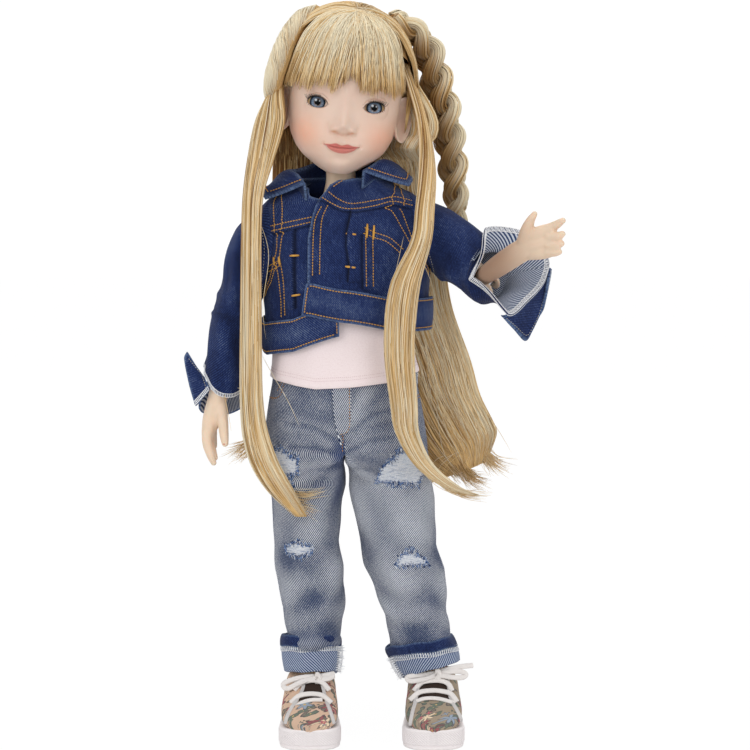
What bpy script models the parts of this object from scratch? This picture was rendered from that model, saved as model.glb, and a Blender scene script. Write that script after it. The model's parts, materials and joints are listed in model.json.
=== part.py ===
# Fashion doll of vinyl, with rooted hair and sewn clothes, standing with one arm raised.
# Metres, +Z up. The doll faces -Y and its own left is +X. The origin is on the floor under the middle of the doll.
import math

import bmesh
import bpy
from mathutils import Matrix, Vector

MM = 0.001

# Clearances and walls
GAP = 0.35 * MM
PIVOT_GAP = 0.5 * MM
OVERRUN = 3 * MM
DENIM_WALL = 1.2 * MM
KNIT_WALL = 0.7 * MM
HEM_WALL = 1.8 * MM

# Where the doll stands in its frame
MIDLINE_X = -15 * MM
BODY_Y = 12 * MM
NECK_LEAN = -2.5 * MM

# Trunk
TRUNK_BOTTOM = 160.3 * MM
TRUNK_TOP = 296.4 * MM
TRUNK_HALF_WIDTH = 32 * MM
TRUNK_HALF_DEPTH = 20 * MM
TRUNK_SHARES = (  # height, half width, half depth
    (0, 0.97, 0.93), (0.08, 1, 1), (0.15, 0.97, 0.97), (0.23, 0.88, 0.86), (0.33, 0.81, 0.80), (0.44, 0.86, 0.86),
    (0.55, 0.92, 0.90), (0.645, 0.94, 0.87), (0.72, 0.9, 0.77), (0.762, 0.81, 0.67), (0.80, 0.62, 0.57),
    (0.83, 0.40, 0.47), (0.86, 0.28, 0.41), (0.91, 0.235, 0.375), (1, 0.235, 0.375))

# Neck and head joints
NECK_PIVOT_HEIGHT = 302 * MM
NECK_BALL_RADIUS = 5.2 * MM
HEAD_PLUG_RADIUS = 13.5 * MM
HEAD_PLUG_FLANGE = 2 * MM
HEAD_PLUG_RING = 8.6 * MM
HEAD_PLUG_DROP = 2.6 * MM
NECK_HOLE_RADIUS = 11 * MM
HEAD_TILT = 6

# Head, measured from the neck pivot
HEAD_HALF_WIDTH = 28.8 * MM
HEAD_FRONT = 30 * MM
HEAD_BACK = 38 * MM
HEAD_CHIN_DROP = 14.4 * MM
HEAD_CROWN_RISE = 65.2 * MM
HEAD_WALL = 3.2 * MM
HEAD_SHARES = (  # height from chin to crown, half width, front, back
    (0, 0.28, 0.66, 0.26), (0.02, 0.42, 0.78, 0.38), (0.055, 0.58, 0.88, 0.5), (0.10, 0.73, 0.95, 0.62),
    (0.16, 0.86, 0.98, 0.74), (0.24, 0.95, 0.985, 0.85), (0.33, 0.99, 0.985, 0.94), (0.44, 1, 0.985, 1),
    (0.56, 0.99, 0.975, 1), (0.68, 0.94, 0.93, 0.95), (0.79, 0.83, 0.81, 0.83), (0.88, 0.67, 0.62, 0.64),
    (0.95, 0.45, 0.38, 0.40), (0.99, 0.2, 0.15, 0.18))
NOSE_RADIUS = 3.6 * MM
NOSE_RISE = 8.2 * MM
EAR_HALF_HEIGHT = 8.5 * MM
EAR_HALF_DEPTH = 4.6 * MM
EAR_HALF_WIDTH = 2.4 * MM
EAR_RISE = 15 * MM
EAR_BACK = 5 * MM

# Eyes
EYE_SPACING = 28.4 * MM
EYE_RISE = 19.5 * MM
EYE_RADIUS = 6.4 * MM
EYE_SINK = 0.5 * MM
LID_HALF_WIDTH = 5 * MM
LID_HALF_HEIGHT = 2.9 * MM

# Hair on the head
HAIR_DEPTH = 6 * MM
FRINGE_DEPTH = 2.6 * MM
FRINGE_LOW_SHARE = 0.53
FRINGE_HIGH_SHARE = 0.71
CAP_LOW_SHARE = 0.2
CAP_FRONT_CUT = 6 * MM
BRAID_RADIUS = 5.4 * MM
BRAID_SWELL = 0.8 * MM
BRAID_FLAT_SHARE = 0.86
BRAID_TURNS = 9
TWIST_RADIUS = 4.2 * MM
TWIST_SWELL = 0.5 * MM
TWIST_TURNS = 5
BRAID_SEAT_SHARE = 0.6

# Long hair: places from the body's middle line, body plane and floor
LOCK_HALF_WIDTH = 5.6 * MM
LOCK_HALF_DEPTH = 2.6 * MM
LOCK_TURN_SHARE = 0.35
BACK_HAIR_LOW = 128 * MM
BACK_HAIR_HIGH = 330 * MM
BACK_HAIR_Y = 31.5 * MM
BACK_HAIR_HALF_WIDTH = 40 * MM
BACK_HAIR_HALF_DEPTH = 6 * MM
BACK_HAIR_WRAP = 7 * MM

# Arms
SHOULDER_HALF_SPAN = 39 * MM
SHOULDER_HEIGHT = 262 * MM
SHOULDER_BALL = 6 * MM
SHOULDER_PIN_RADIUS = 2.8 * MM
SHOULDER_PIN_SEAT = 14 * MM
UPPER_ARM_LENGTH = 47 * MM
UPPER_ARM_RADIUS = 7.2 * MM
FOREARM_LENGTH = 46 * MM
FOREARM_RADIUS = 7 * MM
WRIST_RADIUS = 4.6 * MM
HAND_LENGTH = 30 * MM
PALM_HALF_WIDTH = 7.2 * MM
PALM_HALF_DEPTH = 3.6 * MM
FINGER_RADIUS = 2.1 * MM
THUMB_RADIUS = 2.2 * MM
ELBOW_RADIUS = 6.4 * MM
ELBOW_TONGUE = 4.4 * MM
ELBOW_PIN_RADIUS = 1.6 * MM
ARM_OUT = {"right": (18, 11.5, 9), "left": (49.5, 136.6, 123.3)}  # upper arm, forearm, hand: degrees from down
ARM_FORWARD = {"right": (2, 11, 12), "left": (13.8, 57.3, 44)}

# Legs
HIP_HALF_SPAN = 16.5 * MM
HIP_HEIGHT = 151.8 * MM
HIP_BALL = 8 * MM
THIGH_LENGTH = 66 * MM
THIGH_RADIUS = 13 * MM
SHIN_LENGTH = 60 * MM
SHIN_RADIUS = 8.2 * MM
ANKLE_RADIUS = 5.6 * MM
KNEE_RADIUS = 8 * MM
KNEE_TONGUE = 6 * MM
KNEE_PIN_RADIUS = 2 * MM
LEG_OUT = {"right": 1, "left": 13.2}

# Shoes
SHOE_LENGTH = 58 * MM
SHOE_HALF_WIDTH = 15.3 * MM
SHOE_HEEL_BACK = 19 * MM
SOLE_HEIGHT = 9 * MM
UPPER_HEIGHT = 32 * MM
FOOT_GAP = 0.8 * MM
FOOT_CORE_SHARE = 0.7
INSTEP_SHARES = ((0, 0.9), (0.5, 0.72), (1, 0.56))
TOE_CAP_SHARE = 0.7
LACE_WIDTH = 2.4 * MM
LACE_THICKNESS = 0.9 * MM
LACE_ROW_SHARES = (0.4, 0.68, 0.96)
TONGUE_THICKNESS = 1.2 * MM
TONGUE_TOP_SHARE = 0.16

# Clothes
JACKET_HALF_WIDTH = 43.5 * MM
JACKET_SHIFT = 1.7 * MM
JACKET_DEPTH = 24.5 * MM
JACKET_HEM = 195 * MM
JACKET_TOP = 285 * MM
JACKET_SHARES = (  # height, half width, front, back
    (0, 0.95, 0.95, 1), (0.12, 0.95, 0.97, 0.98), (0.25, 0.955, 0.99, 0.95), (0.4, 0.97, 1, 0.93),
    (0.55, 0.99, 0.97, 0.91), (0.7, 1, 0.89, 0.87), (0.79, 1, 0.79, 0.79), (0.856, 0.96, 0.67, 0.7),
    (0.89, 0.88, 0.59, 0.65), (0.922, 0.74, 0.53, 0.59), (0.955, 0.58, 0.5, 0.56), (1, 0.48, 0.48, 0.54))
JACKET_HEM_LEFT = 209 * MM
JACKET_HEM_RIGHT = 198 * MM
JACKET_HEM_FRONT_LEFT = 217 * MM
JACKET_HEM_FRONT_RIGHT = 207 * MM
WAISTBAND_HEIGHT = 14 * MM
OVERLAP_LEFT_ANGLE = -110
OVERLAP_RIGHT_ANGLE = -93
SEAM_ANGLE = 0.6
ARMHOLE_HEIGHT = 252 * MM
ARMHOLE_HALF_HEIGHT = 23.8 * MM
ARMHOLE_HALF_DEPTH = 14.6 * MM
ARMHOLE_INSET = 10 * MM
COLLAR_RISE = 5.5 * MM
COLLAR_WALL = 1.5 * MM
SLEEVE_SEAT = {"right": 0.35 * MM, "left": -0.65 * MM}
SLEEVE_HALF_WIDTH = {"right": 11 * MM, "left": 17 * MM}
SLEEVE_HALF_DEPTH = {"right": 13 * MM, "left": 15 * MM}
CUFF_HALF_WIDTH = {"right": 15.5 * MM, "left": 25 * MM}
CUFF_HALF_DEPTH = {"right": 16 * MM, "left": 20 * MM}
CUFF_DROP = {"right": 1 * MM, "left": 10 * MM}
CUFF_LENGTH = {"right": 28 * MM, "left": 20 * MM}

SHIRT_HEM = 182 * MM
SHIRT_TOP = 270 * MM
SHIRT_HALF_WIDTH = 37.9 * MM
SHIRT_DEPTH = 24 * MM
SHIRT_SHARES = (
    (0, 1, 0.96, 1), (0.1, 0.98, 0.92, 0.96), (0.26, 0.91, 0.86, 0.86), (0.43, 0.825, 0.83, 0.8),
    (0.6, 0.825, 0.84, 0.8), (0.75, 0.83, 0.8, 0.775), (0.864, 0.795, 0.715, 0.71), (0.932, 0.722, 0.63, 0.63),
    (1, 0.56, 0.54, 0.54))

JEANS_TOP = 188 * MM
JEANS_FORK = 151 * MM
JEANS_HALF_WIDTH = 41.5 * MM
JEANS_DEPTH = 25 * MM
JEANS_SHARES = (
    (0, 1, 0.88, 0.98), (0.25, 0.98, 0.92, 1), (0.57, 0.935, 0.9, 0.96), (0.73, 0.905, 0.87, 0.93),
    (0.84, 0.882, 0.85, 0.91), (1, 0.875, 0.84, 0.9))
JEANS_LEG_RADIUS = 20 * MM
JEANS_KNEE_RADIUS = 16.8 * MM
JEANS_HEM_RADIUS = 14 * MM
JEANS_FOLD = 0.7 * MM
TURNUP_HEIGHT = 15 * MM
TURNUP_LOW = 34 * MM

# Faceting
SIDES = 16
LIMB_SIDES = 10
SMALL_SIDES = 6
BALL_CUTS = 6
PANEL_STEP = 15
COLLAR_COLUMNS = 24
SHELL_POWER = 2.4


# Materials: colour, roughness, metallic
FINISHES = {
    "vinyl_skin": ((0.76, 0.58, 0.50, 1), 0.55, 0.0),
    "inner_plastic": ((0.62, 0.60, 0.56, 1), 0.4, 0.0),
    "eye_acrylic": ((0.22, 0.30, 0.40, 1), 0.08, 0.0),
    "blond_hair": ((0.66, 0.47, 0.22, 1), 0.45, 0.0),
    "blue_denim": ((0.03, 0.07, 0.19, 1), 0.85, 0.0),
    "washed_denim": ((0.22, 0.30, 0.42, 1), 0.85, 0.0),
    "pink_knit": ((0.82, 0.70, 0.70, 1), 0.9, 0.0),
    "printed_canvas": ((0.66, 0.47, 0.32, 1), 0.85, 0.0),
    "white_rubber": ((0.85, 0.83, 0.80, 1), 0.5, 0.0),
    "white_lace": ((0.86, 0.85, 0.84, 1), 0.8, 0.0),
    "brown_cloth": ((0.05, 0.03, 0.02, 1), 0.85, 0.0),
    "steel_pin": ((0.6, 0.6, 0.6, 1), 0.3, 1.0),
}


def clear_scene():
    for item in list(bpy.data.objects):
        bpy.data.objects.remove(item)


def finish(name):
    made = bpy.data.materials.get(name)
    if made is None:
        colour, roughness, metallic = FINISHES[name]
        made = bpy.data.materials.new(name)
        made.use_nodes = True
        shader = made.node_tree.nodes["Principled BSDF"]
        shader.inputs["Base Color"].default_value = colour
        shader.inputs["Roughness"].default_value = roughness
        shader.inputs["Metallic"].default_value = metallic
    return made


def middle_x(height):
    """X of the body's middle line, which leans a little from the hips to the neck."""
    share = (height - HIP_HEIGHT) / (NECK_PIVOT_HEIGHT - HIP_HEIGHT)
    return MIDLINE_X + NECK_LEAN * max(share, 0)


def body_point(across, depth, height):
    """A place given from the body's middle line, its plane and the floor."""
    return Vector((middle_x(height) + across, BODY_Y + depth, height))


def arm_direction(side, out, forward):
    """Unit vector: `out` degrees away from straight down, then `forward` degrees towards the face's side."""
    sign = 1 if side == "left" else -1
    out, forward = math.radians(out), math.radians(forward)
    flat = math.cos(forward)
    return Vector((sign * math.sin(out) * flat, -math.sin(forward), -math.cos(out) * flat))


def lookup(rows, value):
    """Straight-line reading of a table whose first column rises."""
    value = min(max(value, rows[0][0]), rows[-1][0])
    for low, high in zip(rows, rows[1:]):
        if value <= high[0]:
            share = (value - low[0]) / (high[0] - low[0])
            return [a + (b - a) * share for a, b in zip(low[1:], high[1:])]
    return list(rows[-1][1:])


def oval(angle, half_width, front, back, power=2.0):
    """Point of a rounded oval, with its own depth in front of and behind the widest line."""
    c, s = math.cos(angle), math.sin(angle)
    depth = front if s < 0 else back
    x = half_width * math.copysign(abs(c) ** (2 / power), c)
    y = depth * math.copysign(abs(s) ** (2 / power), s)
    return x, y


def ring(centre, across, along, half_width, front, back=None, sides=SIDES, power=2.0):
    back = front if back is None else back
    points = []
    for k in range(sides):
        x, y = oval(2 * math.pi * k / sides, half_width, front, back, power)
        points.append(centre + across * x + along * y)
    return points


def add_mesh(name, points, faces, material, smooth=True):
    mesh = bpy.data.meshes.new(name)
    mesh.from_pydata([tuple(p) for p in points], [], faces)
    shape = bmesh.new()
    shape.from_mesh(mesh)
    bmesh.ops.recalc_face_normals(shape, faces=shape.faces)
    shape.to_mesh(mesh)
    shape.free()
    item = bpy.data.objects.new(name, mesh)
    bpy.context.scene.collection.objects.link(item)
    if material is None:
        item.hide_render = True
        item.display_type = "WIRE"
    else:
        mesh.materials.append(finish(material))
    if smooth:
        mesh.shade_smooth()
        mesh.set_sharp_from_angle(angle=math.radians(40))
    return item


def loft(name, rings, material):
    """Closed solid through rings of equal count, listed along +W with each ring turning left about it."""
    count = len(rings[0])
    points = [p for one in rings for p in one]
    faces = []
    for r in range(len(rings) - 1):
        for k in range(count):
            a, b = r * count + k, r * count + (k + 1) % count
            faces.append((a, b, b + count, a + count))
    faces.append(tuple(reversed(range(count))))
    faces.append(tuple((len(rings) - 1) * count + k for k in range(count)))
    return add_mesh(name, points, faces, material)


def sleeve(name, outer, inner, material):
    """Open tube with a wall, between matching outer and inner rings."""
    count, rows = len(outer[0]), len(outer)
    points = [p for one in outer for p in one] + [p for one in inner for p in one]
    base = rows * count
    faces = []
    for r in range(rows - 1):
        for k in range(count):
            a, b = r * count + k, r * count + (k + 1) % count
            faces.append((a, b, b + count, a + count))
            faces.append((base + b, base + a, base + a + count, base + b + count))
    for k in range(count):
        b = (k + 1) % count
        top = (rows - 1) * count
        faces.append((base + k, base + b, b, k))
        faces.append((top + k, top + b, base + top + b, base + top + k))
    return add_mesh(name, points, faces, material)


def patch(name, outer, inner, material):
    """Curved panel with a wall: rows of points that don't close on themselves."""
    count, rows = len(outer[0]), len(outer)
    points = [p for one in outer for p in one] + [p for one in inner for p in one]
    base = rows * count
    faces = []
    for r in range(rows - 1):
        for k in range(count - 1):
            a = r * count + k
            faces.append((a, a + 1, a + 1 + count, a + count))
            faces.append((base + a + 1, base + a, base + a + count, base + a + 1 + count))
        a, b = r * count, r * count + count - 1
        faces.append((a, a + count, base + a + count, base + a))
        faces.append((b + count, b, base + b, base + b + count))
    top = (rows - 1) * count
    for k in range(count - 1):
        faces.append((k + 1, k, base + k, base + k + 1))
        faces.append((top + k, top + k + 1, base + top + k + 1, base + top + k))
    return add_mesh(name, points, faces, material)


def cut(item, tool, operation="DIFFERENCE"):
    step = item.modifiers.new(operation.title(), "BOOLEAN")
    step.operation = operation
    step.solver = "EXACT"
    step.object = tool


def frame_along(direction, hint=Vector((0, 1, 0))):
    """Two unit vectors square to a direction, the second as near to the hint as it can be."""
    direction = direction.normalized()
    along = (hint - direction * hint.dot(direction)).normalized()
    return along.cross(direction).normalized(), along


def rod(name, start, end, radius, material, end_radius=None, sides=LIMB_SIDES):
    """Round bar between two points, which may taper."""
    across, along = frame_along(end - start, Vector((0.3, 1, 0.2)))
    end_radius = radius if end_radius is None else end_radius
    rings = [ring(start, across, along, radius, radius, sides=sides),
             ring(end, across, along, end_radius, end_radius, sides=sides)]
    return loft(name, rings, material)


def ball(name, centre, radii, material, turn=None, sides=LIMB_SIDES, cuts=BALL_CUTS):
    """Ball or egg from level rings, turned by a matrix if one is given."""
    rings = []
    for k in range(cuts):
        polar = math.pi * (k + 0.5) / cuts
        flat = math.sin(polar)
        level = Vector((0, 0, -radii[2] * math.cos(polar)))
        rings.append(ring(level, Vector((1, 0, 0)), Vector((0, 1, 0)), radii[0] * flat, radii[1] * flat, sides=sides))
    turn = Matrix.Identity(3) if turn is None else turn
    rings = [[centre + turn @ p for p in one] for one in rings]
    return loft(name, rings, material)


def capsule_rings(start, end, radius, end_radius, sides=SMALL_SIDES):
    """Rings of a tapering bar with round ends."""
    direction = (end - start).normalized()
    across, along = frame_along(direction, Vector((0.2, 1, 0.3)))
    rings = []
    for share in (-0.9, 0):
        r = radius * math.sqrt(1 - share * share)
        rings.append(ring(start + direction * radius * share, across, along, r, r, sides=sides))
    for share in (0, 0.9):
        r = end_radius * math.sqrt(1 - share * share)
        rings.append(ring(end + direction * end_radius * share, across, along, r, r, sides=sides))
    return rings


# Trunk, jacket, shirt and jeans seat share one way of being read at a height

def real_rows(shares, low, high, width, *depths):
    """Turns a table of shares into heights and sizes."""
    depths = depths * 2 if len(depths) == 1 else depths
    rows = []
    for row in shares:
        across = row[1] * width
        front = row[2] * depths[0]
        back = (row[3] if len(row) > 3 else row[2]) * depths[1]
        rows.append((low + row[0] * (high - low), across, front, back))
    return rows


def level_ring(rows, height, grow=0.0, sides=SIDES, power=SHELL_POWER):
    half_width, front, back = lookup(rows, height)
    return ring(body_point(0, 0, height), Vector((1, 0, 0)), Vector((0, 1, 0)),
                half_width + grow, front + grow, back + grow, sides, power)


def jacket_point(height, angle, grow=0.0):
    half_width, front, back = lookup(JACKET_ROWS, height)
    x, y = oval(math.radians(angle), half_width + grow, front + grow, back + grow, SHELL_POWER)
    return body_point(JACKET_SHIFT + x, y, height)


TRUNK_ROWS = real_rows(TRUNK_SHARES, TRUNK_BOTTOM, TRUNK_TOP, TRUNK_HALF_WIDTH, TRUNK_HALF_DEPTH)
JACKET_ROWS = real_rows(JACKET_SHARES, JACKET_HEM, JACKET_TOP, JACKET_HALF_WIDTH, JACKET_DEPTH)
SHIRT_ROWS = real_rows(SHIRT_SHARES, SHIRT_HEM, SHIRT_TOP, SHIRT_HALF_WIDTH, SHIRT_DEPTH)
JEANS_ROWS = real_rows(JEANS_SHARES, JEANS_FORK, JEANS_TOP, JEANS_HALF_WIDTH, JEANS_DEPTH)

NECK_PIVOT = body_point(0, 0, NECK_PIVOT_HEIGHT)
HEAD_TURN = Matrix.Rotation(math.radians(HEAD_TILT), 3, "Y")


def shoulder(side):
    sign = 1 if side == "left" else -1
    return body_point(sign * SHOULDER_HALF_SPAN, 0, SHOULDER_HEIGHT)


def arm_points(side):
    """Shoulder, elbow, wrist and finger tips."""
    points = [shoulder(side)]
    lengths = (UPPER_ARM_LENGTH, FOREARM_LENGTH, HAND_LENGTH)
    for out, forward, length in zip(ARM_OUT[side], ARM_FORWARD[side], lengths):
        points.append(points[-1] + arm_direction(side, out, forward) * length)
    return points


def elbow_axis(side):
    """An elbow bends in the plane of its two bones."""
    top, elbow, wrist, _ = arm_points(side)
    return (elbow - top).cross(wrist - elbow).normalized()


def hip(side):
    sign = 1 if side == "left" else -1
    return Vector((MIDLINE_X + sign * HIP_HALF_SPAN, BODY_Y, HIP_HEIGHT))


def leg_points(side):
    """Hip, knee and ankle."""
    way = arm_direction(side, LEG_OUT[side], 0)
    top = hip(side)
    return [top, top + way * THIGH_LENGTH, top + way * (THIGH_LENGTH + SHIN_LENGTH)]


def in_head(across, depth, rise):
    """A place in the tilted head, measured from the neck pivot."""
    return NECK_PIVOT + HEAD_TURN @ Vector((across, depth, rise))


def head_rows():
    rows = []
    for share, width, front, back in HEAD_SHARES:
        rise = -HEAD_CHIN_DROP + share * (HEAD_CHIN_DROP + HEAD_CROWN_RISE)
        rows.append((rise, width * HEAD_HALF_WIDTH, front * HEAD_FRONT, back * HEAD_BACK))
    return rows


def head_rise(share):
    return -HEAD_CHIN_DROP + share * (HEAD_CHIN_DROP + HEAD_CROWN_RISE)


def scalp_slope(share):
    """How far the head's surface has turned towards the crown at a share of its height, as an angle."""
    step = 0.03
    low, high = max(share - step, 0.5), min(max(share + step, 0.5), HEAD_SHARES[-1][0])
    if high <= low:
        return 0.0
    narrowing = lookup(head_rows(), head_rise(low))[0] - lookup(head_rows(), head_rise(high))[0]
    return math.atan2(narrowing, head_rise(high) - head_rise(low))


def scalp_point(share, angle, lift):
    """A place over the head, by its share of the height and its angle, front negative, lifted square to the surface."""
    slope = scalp_slope(share)
    grow, rise = lift * math.cos(slope), head_rise(share)
    half_width, front, back = lookup(head_rows(), rise)
    x, y = oval(math.radians(angle), half_width + grow, front + grow, back + grow, 2.15)
    return in_head(x, y, rise + lift * math.sin(slope))


def scalp_ring(share, lift):
    return [scalp_point(share, 360 * k / SIDES, lift) for k in range(SIDES)]


def head_ring(rise, grow=0.0, lift=0.0):
    half_width, front, back = lookup(head_rows(), rise)
    points = []
    for k in range(SIDES):
        x, y = oval(2 * math.pi * k / SIDES, half_width + grow, front + grow, back + grow, 2.15)
        points.append(in_head(x, y, rise + lift))
    return points


def make_torso():
    heights = [row[0] for row in TRUNK_ROWS]
    torso = loft("torso_shell", [level_ring(TRUNK_ROWS, z) for z in heights], "vinyl_skin")
    for side in ("left", "right"):
        sign = 1 if side == "left" else -1
        top = shoulder(side)
        inner = top - Vector((sign, 0, 0)) * (SHOULDER_HALF_SPAN - SHOULDER_PIN_SEAT + GAP)
        bore = rod("cut_shoulder_bore_" + side, inner, top, SHOULDER_PIN_RADIUS + GAP, None)
        cut(torso, bore)


def make_neck():
    ball("neck_link", NECK_PIVOT, (NECK_BALL_RADIUS,) * 3, "inner_plastic")
    up = HEAD_TURN @ Vector((0, 0, 1))
    low = NECK_PIVOT - up * HEAD_PLUG_DROP
    across, along = HEAD_TURN @ Vector((1, 0, 0)), Vector((0, 1, 0))
    flange_top = low + up * HEAD_PLUG_FLANGE
    ring_top = low + up * (2 * HEAD_PLUG_DROP)
    rings = [ring(low, across, along, HEAD_PLUG_RADIUS, HEAD_PLUG_RADIUS),
             ring(flange_top, across, along, HEAD_PLUG_RADIUS, HEAD_PLUG_RADIUS),
             ring(flange_top, across, along, HEAD_PLUG_RING, HEAD_PLUG_RING),
             ring(ring_top, across, along, HEAD_PLUG_RING, HEAD_PLUG_RING)]
    plug = loft("head_plug", rings, "inner_plastic")
    seat = ball("cut_plug_seat", NECK_PIVOT, (NECK_BALL_RADIUS + GAP,) * 3, None)
    cut(plug, seat)


def make_head():
    rises = [row[0] for row in head_rows()]
    head = loft("head_shell", [head_ring(z) for z in rises], "vinyl_skin")
    front_face = -HEAD_FRONT * 0.985
    nose = ball("form_nose", in_head(0, front_face - NOSE_RADIUS * 0.35, NOSE_RISE),
                (NOSE_RADIUS, NOSE_RADIUS, NOSE_RADIUS * 0.9), None, HEAD_TURN, SMALL_SIDES, 8)
    cut(head, nose, "UNION")
    for sign in (-1, 1):
        place = in_head(sign * HEAD_HALF_WIDTH * 0.985, EAR_BACK, EAR_RISE)
        ear = ball("form_ear_left" if sign > 0 else "form_ear_right", place,
                   (EAR_HALF_WIDTH, EAR_HALF_DEPTH, EAR_HALF_HEIGHT), None, HEAD_TURN, SMALL_SIDES, 8)
        cut(head, ear, "UNION")
    # The hollow stands on a floor just under the plug's flange
    floor = -HEAD_PLUG_DROP - GAP
    hollow = [head_ring(floor, -HEAD_WALL)]
    hollow += [head_ring(z, -HEAD_WALL) for z in rises[5:-2:2]]
    hollow += [head_ring(rises[-2], -HEAD_WALL, -HEAD_WALL)]
    cut(head, loft("cut_head_hollow", hollow, None))
    bore = rod("cut_neck_hole", in_head(0, 0, -HEAD_CHIN_DROP - OVERRUN), in_head(0, 0, floor + GAP),
               NECK_HOLE_RADIUS, None, sides=SIDES)
    cut(head, bore)
    for side, sign in (("left", 1), ("right", -1)):
        make_eye(head, side, sign)


def make_eye(head, side, sign):
    across = sign * EYE_SPACING / 2
    half_width, front, _ = lookup(head_rows(), EYE_RISE)
    share = across / half_width
    surface = front * (1 - abs(share) ** 2.15) ** (1 / 2.15)
    centre = (across, -surface + EYE_RADIUS + EYE_SINK, EYE_RISE)
    ball("eye_" + side, in_head(*centre), (EYE_RADIUS,) * 3, "eye_acrylic", HEAD_TURN)
    pocket = ball("cut_eye_pocket_" + side, in_head(*centre), (EYE_RADIUS + GAP,) * 3, None, HEAD_TURN)
    cut(head, pocket)
    # The lids' opening: an oval hole from the ball out through the face
    x_axis, z_axis = HEAD_TURN @ Vector((1, 0, 0)), HEAD_TURN @ Vector((0, 0, 1))
    rings = []
    for depth in (centre[1], centre[1] - 2 * EYE_RADIUS):
        middle = in_head(across, depth, EYE_RISE)
        rings.append(ring(middle, x_axis, z_axis, LID_HALF_WIDTH, LID_HALF_HEIGHT, sides=LIMB_SIDES))
    cut(head, loft("cut_lids_" + side, rings, None))


def make_hair_cap():
    shares = [CAP_LOW_SHARE] + [row[0] for row in HEAD_SHARES if row[0] > CAP_LOW_SHARE]
    cap = loft("hair_cap", [scalp_ring(share, HAIR_DEPTH) for share in shares], "blond_hair")
    inner = [head_ring(head_rise(CAP_LOW_SHARE) - OVERRUN, GAP)] + [scalp_ring(share, GAP) for share in shares[1:]]
    cut(cap, loft("cut_scalp", inner, None))
    # The front is open over the face up to where the fringe starts
    far = HEAD_HALF_WIDTH + HAIR_DEPTH + OVERRUN
    low, high = head_rise(CAP_LOW_SHARE) - OVERRUN, head_rise(FRINGE_HIGH_SHARE) + GAP
    near = -HEAD_FRONT - HAIR_DEPTH - OVERRUN
    ear_top, ear_back = EAR_RISE + EAR_HALF_HEIGHT + GAP, EAR_BACK + EAR_HALF_DEPTH + GAP
    for name, back, top in (("cut_face_opening", -CAP_FRONT_CUT, high), ("cut_ear_room", ear_back, ear_top)):
        corners = [(-far, near), (far, near), (far, back), (-far, back)]
        cut(cap, loft(name, [[in_head(x, y, z) for x, y in corners] for z in (low, top)], None))


def make_fringe():
    columns = 14
    between = [row[0] for row in HEAD_SHARES if FRINGE_LOW_SHARE < row[0] < FRINGE_HIGH_SHARE]
    outer, inner = [], []
    for share in [FRINGE_LOW_SHARE] + between + [FRINGE_HIGH_SHARE]:
        rise = head_rise(share)
        half_width, front, back = lookup(head_rows(), rise)
        for grow, rows in ((GAP + FRINGE_DEPTH, outer), (GAP, inner)):
            row = []
            for k in range(columns + 1):
                angle = math.radians(-158 + 136 * k / columns)
                x, y = oval(angle, half_width + grow, front + grow, back + grow, 2.15)
                row.append(in_head(x, y, rise))
            rows.append(row)
    patch("fringe", outer, inner, "blond_hair")


def smooth_route(points, count):
    """Evenly spread points on a curve through the given ones."""
    made = []
    spans = len(points) - 1
    for i in range(count):
        t = spans * i / (count - 1)
        k = min(int(t), spans - 1)
        f = t - k
        p1, p2 = points[k], points[k + 1]
        p0 = points[k - 1] if k else p1 * 2 - p2
        p3 = points[k + 2] if k + 2 <= spans else p2 * 2 - p1
        made.append(0.5 * ((2 * p1) + (p2 - p0) * f + (2 * p0 - 5 * p1 + 4 * p2 - p3) * f * f
                           + (3 * p1 - p0 - 3 * p2 + p3) * f ** 3))
    return made


def strand(name, route, widths, depths, material, facing=Vector((0, 1, 0)), turned=None):
    """Flattened lock along a route, whose flat side faces the given way, or turns to it from `turned`."""
    rings = []
    for k, point in enumerate(route):
        before, after = route[max(k - 1, 0)], route[min(k + 1, len(route) - 1)]
        share = min(1, k / (len(route) * LOCK_TURN_SHARE))
        hint = facing if turned is None else turned.lerp(facing, share)
        across, along = frame_along(after - before, hint)
        rings.append(ring(point, across, along, widths[k], depths[k], sides=SMALL_SIDES))
    return loft(name, rings, material)


def spread(values, count):
    """Reads a short list of shares at evenly spread places."""
    rows = [(k / (len(values) - 1), v) for k, v in enumerate(values)]
    return [lookup(rows, k / (count - 1))[0] for k in range(count)]


def seat_on_cap(item, name):
    """Cuts a lock or braid clear of the hair on the scalp, so that it lies against it."""
    cut(item, loft(name, [scalp_ring(row[0], HAIR_DEPTH + GAP) for row in HEAD_SHARES], None))


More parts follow.
